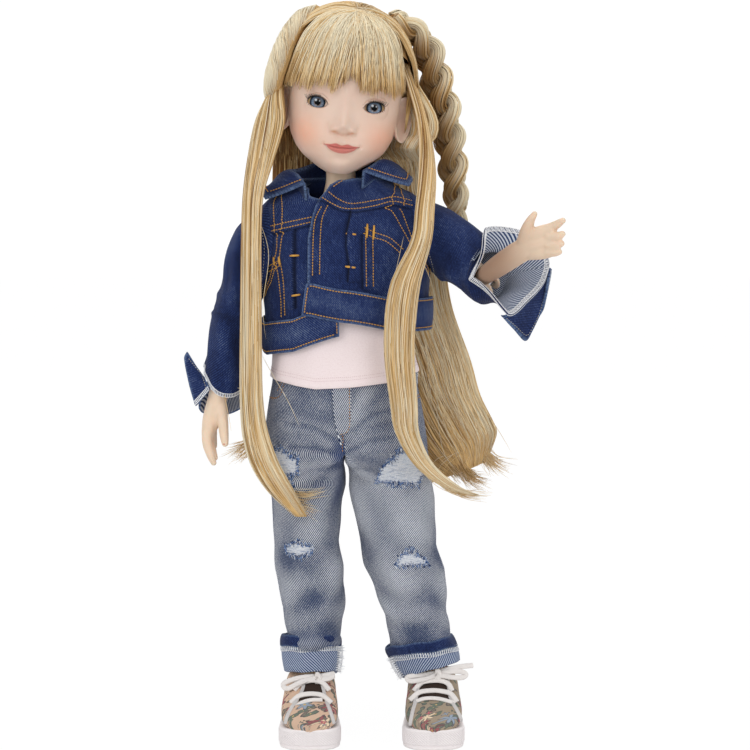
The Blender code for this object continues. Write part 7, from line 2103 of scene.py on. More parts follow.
def washedDenim():
    # stone-washed twill, its diagonals rising to the wearer's left
    material, tree, shader = newMaterial("stoneWashedDenim", Roughness=0.88, Specular_IOR_Level=0.2, Sheen_Weight=0.1)
    place = clothPlace(tree)
    twill = bands(tree, clothPlace(tree, turn=29), 0.82, distortion=0.35, detail=2.0)
    slub = noise(tree, clothPlace(tree, scale=(1, 0.1, 1)), 0.5, 3.0, 0.7)
    heather = noise(tree, place, 0.9, 4.0, 0.8)
    cloud = noise(tree, place, 12.0, 3.0, 0.55)
    tone = maths(tree, "MULTIPLY", twill, 0.56)
    # the fade mask lightens the cloth: wash wear, and painted light on fold crests
    for part, share in ((slub, 0.2), (heather, 0.36), (cloud, 0.16), (mask(tree, "fade"), 0.42)):
        tone = maths(tree, "ADD", tone, maths(tree, "MULTIPLY", part, share))
    tint = ramp(tree, tone, ((0.55, "#0e1a40"), (0.73, "#334670"), (0.91, "#929db1"), (1.07, "#f2f4f7"))).outputs[0]
    torn = noise(tree, place, 3.0, 4.0, 0.7)
    patch = maths(tree, "ADD", mask(tree, "patch"), maths(tree, "MULTIPLY", maths(tree, "SUBTRACT", torn, 0.5), 0.9))
    weft = noise(tree, clothPlace(tree, scale=(0.12, 1, 1)), 0.45, 3.0, 0.7)
    white = ramp(tree, weft, ((0.36, "#7d92b5"), (0.5, "#e8ebf0"), (0.66, "#f7f7f8"))).outputs[0]
    tint = mixed(tree, ramp(tree, patch, ((0.5, 0.0), (0.66, 1.0))).outputs[0], tint, white)
    border = ramp(tree, patch, ((0.3, 0.0), (0.44, 1.0), (0.5, 1.0), (0.6, 0.0))).outputs[0]
    tint = mixed(tree, maths(tree, "MULTIPLY", border, 0.45), tint, "#5d7397")
    # painted shade in fold hollows, round the roll above the hem and between the legs
    tint = mixed(tree, maths(tree, "MULTIPLY", mask(tree, "shade"), 0.8), tint, "#1a3466")
    tint = mixed(tree, maths(tree, "MULTIPLY", mask(tree, "edge"), 0.5), tint, "#d7dde6")
    tree.links.new(tint, shader.inputs["Base Color"])
    low = bump(tree, shader, maths(tree, "ADD", heather, slub), 0.2, 0.9)
    bump(tree, shader, twill, 0.22, 0.9, low)
    return material


stoneWashed = washedDenim()
washedReverse = reverseDenim("stoneWashedReverse", "#2c4273", "#b9c4d6", 1.2, 34)
washedThread = spunThread("cottonAmberThread", "#c98d3c", "#8a5c22")
weftThread = spunThread("cottonWeftThread", "#f2f3f6", "#b9c3d4")
warpThread = spunThread("cottonWarpThread", "#7d9ac8", "#4a6699")
navyThread = spunThread("cottonNavyThread", "#2c4678", "#16264a")


def legAt(side, turn, z):
    # a place on one half of the jeans: turn 0 is the outer side, a quarter turn the front
    sign = sideSign(side)
    ordered = {key: sorted(jeans[key][side], key=lambda p: p[1]) for key in ("outer", "inner")}
    read = {key: np.interp(z, [p[1] for p in line], [p[0] for p in line]) for key, line in ordered.items()}
    heights, (wide, front, back) = jeansTable
    middle = middleX(z * mm) / mm
    above = smoothStep(139, 148, z)
    outer = read["outer"] * (1 - above) + (middle + sign * np.interp(z, heights, wide)) * above
    inner = read["inner"] * (1 - above) + (middle + sign * 0.12) * above
    centre = middle + ((outer + inner) / 2 - middle) * (1 - smoothStep(130, 149, z))
    radius = np.interp(z, *zip(*jeans["radii"]))
    share = smoothStep(122, 150, z)
    depth = [radius * (1 - share) + np.interp(z, heights, line) * share for line in (front, back)]
    power = 2.15 + 0.25 * share
    c, s = np.cos(turn), np.sin(turn)
    half = np.where(c > 0, np.abs(outer - centre), np.abs(centre - inner))
    x = centre + sign * half * np.sign(c) * np.abs(c) ** (2 / power)
    y = bodyDepth - np.where(s > 0, depth[0], depth[1]) * np.sign(s) * np.abs(s) ** (2 / power)
    return np.stack(np.broadcast_arrays(x, y, z + 0 * x), -1)


def insideOf(x, z, closed):
    inside = np.zeros(np.broadcast(x, z).shape, bool)
    for (ax, az), (bx, bz) in zip(closed, closed[1:]):
        if az != bz:
            inside ^= ((az > z) != (bz > z)) & (x < (bx - ax) * (z - az) / (bz - az) + ax)
    return inside


def lineGap(x, z, line):
    # distance to a line in millimetres
    best = np.full(np.broadcast(x, z).shape, 1e9)
    for (ax, az), (bx, bz) in zip(line, line[1:]):
        t = np.clip(((x - ax) * (bx - ax) + (z - az) * (bz - az)) / ((bx - ax) ** 2 + (bz - az) ** 2), 0, 1)
        best = np.minimum(best, np.hypot(x - ax - t * (bx - ax), z - az - t * (bz - az)))
    return best


def legSpot(side, height):
    # where the leg's middle line passes a height, straight above the hip over the fork
    hip, knee = legJoints(side)[:2]
    share = (hip.z - height * mm) / (hip.z - knee.z) if height < 150 else 0
    return (hip.x + (knee.x - hip.x) * share, hip.y, height * mm)


def makeJeansHalf(side):
    columns, rows = 220, 330
    sign = sideSign(side)
    low = np.mean([p[1] for p in jeans["turnUp"][side][:2]]) - 3
    turn = fullTurn(columns)[None]
    z = np.linspace(jeans["top"], low, rows)[:, None]
    if side == "left":
        z = z + 3.2 * np.cos(turn) * (1 - smoothStep(low, low + 30, z))
    z = z + 3.3 * np.clip(np.sin(turn), 0, 1) * (1 - smoothStep(low, low + 30, z))
    points = legAt(side, turn, z)
    x, front = points[..., 0], smoothStep(-0.1, 0.5, np.sin(turn))
    lift = np.zeros_like(x)
    for line in jeans["whiskers"][side]:
        gap = lineGap(x, z, line)
        lift += front * (0.45 * np.exp(-((gap - 2.6) / 2.4) ** 2) - 0.35 * np.exp(-(gap / 1.6) ** 2))
    a = turn + (0.6 if side == "left" else 0)
    knee = np.exp(-((z - 88) / 20) ** 2)
    lift += 0.5 * np.sin(z / 4.3 + 1.6 * np.sin(a) + 0.8 * np.sin(2 * a)) * knee
    lift += 0.55 * np.sin(z / 3.1 + 1.9 * np.sin(a + 1) + np.sin(3 * a)) * np.exp(-((z - 66) / 12) ** 2)
    lift += 0.5 * np.sin(3 * a + z / 12) * smoothStep(158, 140,
                                                      z) + 0.35 * np.sin(5 * a - z / 8) * smoothStep(162, 130, z)
    lift += 0.5 * np.sin(z / 5 + 4 * a) * np.exp(-((z - 128) / 15) ** 2) * (1 - front)
    # the leg rolls over where the hem was turned
    near = z - z[-1:] + 0 * x
    lift += 1.1 * np.exp(-((near - 4.5) / 2.6) ** 2) - 0.6 * np.exp(-(near / 1.2) ** 2)
    lift *= np.clip(1 - np.exp(-((z - 150) / 5) ** 2) * smoothStep(0, 0.6, -np.cos(turn)), 0.1, 1)
    lift *= 1 - 0.85 * smoothStep(148, 156, z) * smoothStep(-0.05, -0.5, np.cos(turn))
    ordered = displaced(points, lift)
    patch = np.zeros_like(x)
    for outline in jeans["patches"][side]:
        closed = list(outline) + [outline[0]]
        gap = lineGap(x, z, closed) * np.where(insideOf(x, z, closed), 1, -1)
        patch = np.maximum(patch, front * np.clip(0.5 + gap / 3.4, 0, 1))
    light = 0.3 * np.exp(-((z - 118) / 26) ** 2) * front + 0.2 * np.exp(-((z - 75) / 14) ** 2) * front
    light += 0.25 * np.exp(-((lineGap(x, z, jeans["worn"]) / 4) ** 2)) * front
    # lighter down the front of the thigh, over the knee and along the worn line, and, as painted light, on the fold
    # crests
    fade = np.clip(0.12 + 0.2 * lift + light * (1.25 if side == "left" else 0.7), 0, 1)
    # painted shade: darker in the fold hollows and in a soft band round the roll above the hem
    roll = 0.5 * np.exp(-((near - 6) / 5) ** 4)
    shade = np.clip(np.maximum(-lift * 0.16, roll * 0.95), 0, 1)
    if side == "right":
        # the cloth turns away into the shadow between the legs
        within = np.interp(z, *np.array(sorted(jeans["inner"]["right"], key=lambda p: p[1])).T[::-1])
        shade = np.maximum(shade, 0.95 * front * smoothStep(7, 0.5, within - x) * smoothStep(112, 126, z)
                           * smoothStep(160, 150, z))
    weave = np.concatenate([np.zeros((rows, 1)), np.cumsum(np.linalg.norm(np.diff(points, axis=1), axis=2), 1)], 1)
    weave = np.where(np.arange(columns)[None] > columns * 3 // 4, weave - weave[:, -1:], weave)
    weave = np.stack([(weave - weave[:, columns // 4:columns // 4 + 1]) * -sign, -z + 0 * x], -1)
    masks = {"fade": fade, "patch": patch, "shade": shade}
    spans = (("Seat", 0, 158, ("torso", "hip_" + side, 184, 164), "jeans_seat"),
             ("Thigh", 158, 118, ("hip_" + side, "thigh_" + side, 150, 128), "jeans_upper_" + side),
             ("Shin", 118, 0, ("thigh_" + side, "shin_" + side, 102, 74), "jeans_lower_" + side))
    trees = []
    for name, upper, lower, (first, second, begin, finish), replaced in spans:
        cut = [np.abs(z[:, 0] - h).argmin() for h in (upper or jeans["top"], lower or 0)]
        keep = slice(cut[0], cut[1] + 1)
        places = (legSpot(side, begin), legSpot(side, finish))
        piece, tree = clothShell("jeans" + name + side.title(), ordered[keep] * mm, 0.8, stoneWashed, washedReverse,
                                 closed=True,
                                 instead=[replaced], slot="washed_denim", blend=(first, second, *places),
                                 masks={**{k: v[keep] for k, v in masks.items()}, "edge": np.zeros((1, 1))}, sharp=50,
                                 weave=weave[keep])
        trees.append(tree)
    return trees


def makeTurnUp(side):
    # the hem is folded up once: its edge is serged and its reverse shows
    topA, topB, lowB, lowA = [np.array(p) for p in jeans["turnUp"][side]]
    columns, rows = 200, 60
    turn = fullTurn(columns)[None]
    t = np.linspace(0, 1, rows)[:, None]
    left, right = topA + (lowA - topA) * t, topB + (lowB - topB) * t
    centre, half = (left + right) / 2, (right - left) / 2 * 1.03
    flare = 1 + 0.05 * np.sin(t * math.pi * 0.5)
    c, s = np.cos(turn) * sideSign(side), np.sin(turn)
    depth = np.linalg.norm(half, axis=1)[:, None] * 0.93
    wave = 0.45 * np.sin(3 * turn + 1) + 0.3 * np.sin(7 * turn + 2)
    x = centre[:, :1] + half[:, :1] * c * flare
    z = centre[:, 1:] + half[:, 1:] * c + wave * 0.8 + 3.3 * np.clip(s, 0, 1)
    y = bodyDepth - (depth + 0.5 * t) * s
    points = np.stack(np.broadcast_arrays(x, y, z), -1)
    points = displaced(points, 0.5 * wave * t + 0.6 * np.sin(t * math.pi) * np.sin(5 * turn + 0.4) * 0.6)
    body = "shin_" + side
    piece, _ = clothShell("jeansTurnUp" + side.title(), points * mm, 1.5, washedReverse, stoneWashed, closed=True,
                          body=body,
                             instead=["jeans_turnup_" + side], slot="washed_denim", edgeWear=1.2)
    normal = outwardNormals(points)
    loop = np.arange(columns + 1) % columns
    column = columns // 2 - 12
    strip = points[2:-2:1, column] + normal[2:-2, column] * 2.2
    facing = np.cross(normal[2:-2, column], points[3:-1, column] - points[1:-3, column])
    facing *= np.sign(facing[:, 1:2]) * -1
    serging("turnUpSeam" + side.title(), [((strip + facing * k / np.linalg.norm(facing, axis=1, keepdims=True)) * mm,
                                           -normal[2:-2, column], facing)
                                          for k in (0, 0.9)], 3.4, body=body, slot="washed_denim", period=1.25,
                                          thread=0.52)
    serging("turnUpSerging" + side.title(), [((points[0] + normal[1] * 0.2)[loop] * mm, (points[8] - points[0])[loop],
            normal[1][loop])], 3.2, body=body, slot="washed_denim", period=1.3, thread=0.5)
    # the fold above the serging is darker: it takes the dark indigo denim, with a little painted shade
    out = normal[:1] * (1, 1, 0)
    up = unit(points[0] - points[12])
    t = np.linspace(-0.06, 1, 14)[:, None]
    band = points[:1] + up[None] * t[..., None] * 5.4 + out * (0.6 - 1.3 * t ** 3)[..., None]
    clothShell("jeansHemFold" + side.title(), band * mm, 1.3, indigoDenim, indigoDenim, closed=True, body=body,
               slot="washed_denim",
               masks={"fade": np.full((1, 1), 0.1), "shade": np.full((1, 1), 0.1)}, weave=tubeWeave(band), edgeWear=0.5)
    # frayed inner seam
    rng = np.random.default_rng(5 if side == "left" else 8)
    column = columns // 2 - 8
    at = rng.integers(0, rows, 90)
    beside = rng.integers(-5, 6, 90)
    starts = points[at, column + beside] * mm
    facing = normal[at, column + beside]
    ends = starts + (facing * rng.uniform(0.5, 2.2, (90, 1)) + rng.normal(0, 0.9, (90, 3))) * mm
    beads("turnUpFray" + side.title(), starts, ends, np.roll(facing, 1, 1), 0.16, weftThread, body=body,
          slot="washed_denim")


def wornThreads(side, trees, spans):
    rng = np.random.default_rng(31 if side == "left" else 17)
    for number, outline in enumerate(jeans["patches"][side]):
        closed = list(outline) + [outline[0]]
        xs, zs = np.array(outline).T
        blend = spans[0 if zs.mean() > 118 else 1]
        lines = []
        for height in np.arange(zs.min() + 0.3, zs.max(), 0.55):
            across = np.linspace(xs.min(), xs.max(), 90)
            within = across[insideOf(across, np.full(90, height), closed)]
            if len(within) < 3:
                continue
            at = within[0] - rng.uniform(0, 0.9)
            while at < within[-1]:
                end = min(at + rng.uniform(3, 9), within[-1] + rng.uniform(-0.5, 0.9))
                if end - at > 0.8 and rng.random() < 0.93:
                    line = np.linspace(at, end, max(int((end - at) / 0.9), 2) + 1)
                    sag = rng.normal(0, 0.12) + 0.18 * np.sin(line * 0.9 + height * 3)
                    path = np.stack([line, np.full_like(line, bodyDepth), height + sag], 1)
                    lines.append(layOn(trees, path * mm, (0, 1, 0)))
                at = end + rng.uniform(0.1, 0.6)
        lines = [(p, n) for p, n in lines if len(p) > 1]
        starts, ends = np.concatenate([p[:-1] for p, _ in lines]), np.concatenate([p[1:] for p, _ in lines])
        facing = np.concatenate([n[:-1] for _, n in lines])
        lean = (ends - starts) * 0.12
        beads(f"wornWeft{side.title()}{number}", starts - lean, ends + lean, facing, 0.46, weftThread, blend=blend,
              slot="washed_denim", rise=0.15)
        # cut warp ends stand up around the hole, most of them above and below it
        count = 620 if zs.mean() > 118 else 330
        at = rng.integers(0, len(outline), count)
        share = rng.random((count, 1))
        rim = np.array(closed)[at] * (1 - share) + np.array(closed)[at + 1] * share
        away = rim - [xs.mean(), zs.mean()]
        rim = rim + away / (np.linalg.norm(away, axis=1,
                                           keepdims=True) + 1e-6) * rng.uniform(-0.3, 2.4, (count, 1)) * (0.5, 1.3)
        spots = np.stack([rim[:, 0], np.full(count, bodyDepth), rim[:, 1]], 1)
        place, facing = layOn(trees, spots * mm, (0, 1, 0))
        n = len(place)
        way = np.stack([rng.normal(0, 0.45, n), rng.uniform(-0.6, 0, n),
                        rng.choice([-1, 1], n) * rng.uniform(0.5, 1.3, n)], 1)
        for tone, thread in enumerate((warpThread, navyThread, weftThread)):
            pick = np.arange(n) % 5 == 1 + tone if tone else np.arange(n) % 5 < 2
            beads(f"wornWarp{side.title()}{number}_{tone}", place[pick], place[pick] + way[pick] * mm, facing[pick],
                  0.36, thread,
                  blend=blend, slot="washed_denim", rise=0.5)


def laidGrid(trees, grid):
    # a grid seen from the front takes its depth from the cloth; places that miss take their neighbours'
    depth = np.full(grid.shape[:2], np.nan)
    for at in np.ndindex(*depth.shape):
        place, _ = layOn(trees, [grid[at] * mm], (0, 1, 0))
        if len(place):
            depth[at] = place[0][1]
    for row in depth:
        known = np.isfinite(row)
        if known.any():
            row[~known] = np.interp(np.flatnonzero(~known), np.flatnonzero(known), row[known])
    depth = np.where(np.isfinite(depth), depth, np.nanmedian(depth))
    laid = grid * mm
    laid[..., 1] = depth
    return laid


def makeJeans():
    trees = []
    for side in ("right", "left"):
        halfTrees = makeJeansHalf(side)
        trees += halfTrees
        makeTurnUp(side)
        wornThreads(side, halfTrees, (("hip_" + side, "thigh_" + side, legSpot(side, 150), legSpot(side, 128)),
                                      ("thigh_" + side, "shin_" + side, legSpot(side, 102), legSpot(side, 74))))
    # fly flap over the middle
    fold, edge = sorted(jeans["flyFold"], key=lambda p: -p[1]), sorted(jeans["flyStitch"], key=lambda p: -p[1])
    rows, columns = 70, 22
    heights = np.linspace(fold[0][1], fold[-1][1], rows)
    start, stop = (lineAt(heights, [p[::-1] for p in line[::-1]]) for line in (fold, edge))
    stop = stop + 0.7
    stop = np.maximum(stop, start + 0.8)
    grid = np.stack([start[:, None] + (stop - start)[:, None] * np.linspace(0, 1, columns)[None],
                     np.full((rows, columns), bodyDepth), np.repeat(heights[:, None], columns, 1)], -1)
    laid = laidGrid(trees, grid)
    laid[..., 1] -= np.linspace(1.1, 0.04, columns)[None] * mm
    weave = np.stack([grid[..., 0], -grid[..., 2]], -1)
    _, flyTree = clothShell("jeansFly", laid, 0.7, stoneWashed, washedReverse, outward=(0, -1, 0), body="torso",
                            slot="washed_denim",
                            masks={"fade": np.full((1, 1), 0.4), "edge": np.zeros((1, 1))}, weave=weave)
    trees = trees + [flyTree]
    lines = [drawnOn(trees, line) for line in jeans["pale"] + [jeans["flyStitch"]]]
    beads("jeansStitches", *stitched(lines, 1.5, 0.95), 0.42, washedThread, body="torso", slot="washed_denim")
    # belt loop
    (ax, az), (bx, _), _, (_, cz) = jeans["loop"]
    grid = np.stack(np.broadcast_arrays(np.linspace(ax, bx, 12)[None], bodyDepth, np.linspace(az, cz, 30)[:, None]), -1)
    loopGrid = laidGrid(trees, grid)
    loopGrid[..., 1] -= (0.7 + 0.9 * np.sin(np.linspace(0.1, math.pi - 0.1, 30)))[:, None] * mm
    clothShell("jeansLoop", loopGrid, 0.7, stoneWashed, outward=(0, -1, 0), body="torso", slot="washed_denim",
               masks={"fade": np.full((1, 1), 0.6)})


makeJeans()
print("shirt and jeans ready")


# Canvas shoes

shoe = {  # millimetres
    "length": 58, "halfWidth": 15.3, "heelBack": 19, "sole": 9.6, "upper": 32.5, "rubber": "#fdf6f6",
    "canvas": "#dfb797",
    "lace": "#f4eeea", "crimson": "#a3202f", "leaf": "#4e6148", "dusk": "#8fa0b4", "cream": "#f3d9b4",
    "profile": ((0.0, 0.2, 0.7), (0.015, 0.5, 0.8), (0.05, 0.72, 0.97), (0.15, 0.82, 1.02), (0.3, 0.86, 1.04),
        (0.42, 0.88, 0.93),
                (0.56, 0.92, 0.76), (0.7, 0.94, 0.6), (0.83, 0.9, 0.5), (0.92, 0.76, 0.4), (0.975, 0.52, 0.3),
            (0.995, 0.22, 0.2), (1.004, 0.02, 0.1)),
    "facing": {"right": (((-45.3, -25.5, 10.9), (-43.1, -18.3, 15.6), (-39.7, -10.2, 19.4), (-37.0, -2.5, 23.4),
        (-35.8, 4.9, 28.2)),
                         ((-20.9, -23.3, 12.5), (-22.8, -17.3, 16.0), (-25.2, -8.2, 20.3), (-26.8, -0.7, 24.4),
            (-28.1, 5.8, 28.8))),
               "left": (((17.9, -24.8, 11.4), (19.1, -18.3, 15.6), (20.7, -10.2, 19.4), (21.9, -2.5, 23.4),
            (23.1, 2.5, 26.6)),
                        ((43.9, -22.6, 13.0), (40.9, -16.2, 16.5), (38.2, -8.2, 20.3), (37.4, -0.7, 24.4),
            (36.8, 5.8, 28.8)))},
    "rows": {"right": (((-41.2, -3.0, 24.6), (-37.9, -0.3, 27.4), (-32.0, 0.2, 28.8), (-26.9, -0.1, 27.6),
        (-23.4, -3.2, 24.6)),
                       ((-42.6, -11.4, 20.0), (-39.1, -9.1, 22.7), (-36.2, -8.7, 23.6), (-31.8, -8.4, 23.9),
            (-26.7, -9.1, 23.2),
                        (-22.2, -12.2, 20.4)),
                       ((-40.2, -14.4, 18.9), (-36.1, -12.9, 20.9), (-31.7, -12.4, 21.8), (-26.8, -12.2, 21.8))),
             "left": (((20.0, -3.2, 24.6), (23.1, -0.9, 27.7), (26.8, -0.2, 28.9), (33.4, 0.0, 29.0),
            (37.4, -1.0, 27.6),
                       (39.2, -3.7, 24.8)),
                      ((17.8, -9.5, 21.4), (22.3, -7.1, 24.6), (28.2, -6.2, 25.4), (33.3, -6.4, 25.2),
            (38.4, -7.5, 24.1),
                       (41.4, -11.0, 21.0)),
                      ((19.7, -11.6, 20.6), (25.1, -11.4, 22.6), (32.4, -11.8, 22.6), (40.4, -12.6, 20.6)))},
    "bow": {"right": (((-28.4, 1.2, 31.2), (-32.1, 0.3, 31.5), (-37.9, -0.6, 31.1), (-43.4, -1.5, 29.8),
        (-46.6, -2.4, 28.3),
                       (-46.1, -4.2, 26.8), (-43.9, -4.8, 26.6), (-39.3, -3.3, 28.7), (-33.5, -1.2, 30.3),
            (-28.4, 0.4, 31.0)),
                      ((-29.4, 0.7, 31.2), (-25.5, 1.2, 31.9), (-20.9, 2.7, 32.4)), ((-29.6, 0.2, 30.6),
            (-24.7, 0.0, 30.2), (-20.9, 1.7, 31.4))),
            "left": (((31.4, 1.6, 33.1), (26.8, 1.0, 32.4), (20.2, 0.2, 31.9), (16.5, -0.2, 31.1),
            (17.6, -1.6, 29.7), (20.9, -1.9, 29.8),
                      (26.8, -0.9, 30.8), (31.4, 0.6, 32.4)),
                     ((31.4, 1.6, 33.1), (36.4, 1.0, 33.6), (43.1, 0.4, 34.1), (46.4, 0, 32.7),
            (44.8, -1.2, 31.4), (40.1, -1.2, 31.3),
                      (31.4, 0.6, 32.4)), ((31.4, 1.9, 33.5), (37.2, 1.8, 34.8), (43.0, 1.8, 36.1),
            (50.0, 1.8, 36.9)))},
}


def moulded(name, tint, rough, grain=0.6, depth=0.05):
    material, tree, shader = newMaterial(name, Roughness=rough, IOR=1.5, Specular_IOR_Level=0.35)
    cloud = noise(tree, clothPlace(tree), 6.0, 3.0, 0.6)
    low = tuple(v * 0.9 for v in colour(tint)[:3]) + (1,)
    tree.links.new(mixed(tree, cloud, low, tint), shader.inputs["Base Color"])
    bump(tree, shader, noise(tree, clothPlace(tree), grain, 3.0, 0.6), depth, 0.8)
    return material


def floralCanvas(name, ground, seed):
    # plain-weave canvas printed with scattered flowers and leaves
    material, tree, shader = newMaterial(name, Roughness=0.85, Specular_IOR_Level=0.2)
    tint = None
    place = addNode(tree, "ShaderNodeMapping", {"Location": (seed, seed * 1.7, 0)}, {0: clothPlace(tree)})
    rough = noise(tree, place, 1.4, 2.0, 0.6)
    for size, lobes, reach, tones in ((5.4, 2, 0.6, (shoe["leaf"], shoe["leaf"], "#6d5c48")),
                                      (9.6, 6, 0.52, (shoe["crimson"], shoe["dusk"], shoe["cream"])),
                                      (6.6, 4, 0.26, ("#c4505a", shoe["crimson"], shoe["dusk"]))):
        cells = addNode(tree, "ShaderNodeTexVoronoi", {"Scale": 1 / size}, {0: place})
        scaled = addNode(tree, "ShaderNodeVectorMath", {"operation": "SCALE", "Scale": 1 / size}, {0: place})
        away = addNode(tree, "ShaderNodeVectorMath", {"operation": "SUBTRACT"},
                       {0: cells.outputs["Position"], 1: place})
        parts = addNode(tree, "ShaderNodeSeparateXYZ", links={0: away})
        turn = maths(tree, "ARCTAN2", parts.outputs[1], parts.outputs[0])
        chance = addNode(tree, "ShaderNodeSeparateColor", links={0: cells.outputs["Color"]})
        turn = maths(tree, "ADD", turn, maths(tree, "MULTIPLY", chance.outputs[2], 6.0))
        petal = maths(tree, "MULTIPLY", maths(tree, "COSINE", maths(tree, "MULTIPLY", turn, lobes)), 0.3)
        edge = maths(tree, "MULTIPLY", maths(tree, "ADD", maths(tree, "ADD", petal, 0.55),
                                             maths(tree, "MULTIPLY", rough, 0.4)), reach)
        inside = maths(tree, "LESS_THAN", cells.outputs["Distance"], edge)
        inside = maths(tree, "MULTIPLY", inside, maths(tree, "LESS_THAN", chance.outputs[1], 0.8))
        paint = ramp(tree, chance.outputs[0], ((0.0, tones[0]), (0.4, tones[1]), (0.7, tones[2])))
        paint.color_ramp.interpolation = "CONSTANT"
        shadeLine = maths(tree, "GREATER_THAN", cells.outputs["Distance"], maths(tree, "MULTIPLY", edge, 0.78))
        dark = mixed(tree, 1.0, paint, "#8a7a78", "MULTIPLY")
        body = mixed(tree, shadeLine, paint, dark)
        heart = maths(tree, "LESS_THAN", cells.outputs["Distance"], reach * 0.16)
        body = mixed(tree, heart, body, "#d9b25c")
        tint = mixed(tree, inside, tint or ground, body)
    weave = maths(tree, "ADD", bands(tree, clothPlace(tree), 0.42), bands(tree, clothPlace(tree, turn=90), 0.42))
    tint = mixed(tree, maths(tree, "MULTIPLY", weave, 0.12), tint, "#ffffff")
    tree.links.new(tint, shader.inputs["Base Color"])
    bump(tree, shader, weave, 0.06, 0.9)
    return material


soleRubber = moulded("vulcanisedRubber", shoe["rubber"], 0.6)
laceCotton = moulded("wovenCottonTape", shoe["lace"], 0.85, 0.35, 0.12)
facingTape = moulded("greyWhiteBinding", "#dcd8d6", 0.85, 0.4, 0.1)
tongueCloth = moulded("printedTongueCloth", "#33241c", 0.9, 0.7, 0.12)
stitchWhite = spunThread("cottonWhiteThread", "#f1ecea", "#a8a29f")


def ribbon(name, path, hint, width, wall, material, count=90, columns=7, **more):
    path = curveThrough(path, count)
    way = unit(np.gradient(path, axis=0))
    across = unit(np.cross(way, np.broadcast_to(np.asarray(hint, float), way.shape)))
    facing = np.cross(across, way)
    s = np.linspace(-0.5, 0.5, columns)[None, :, None]
    grid = path[:, None] + across[:, None] * s * width + facing[:, None] * (0.25 - s ** 2) * 0.5
    return clothShell(name, grid * mm, wall, material, outward=hint, **more)


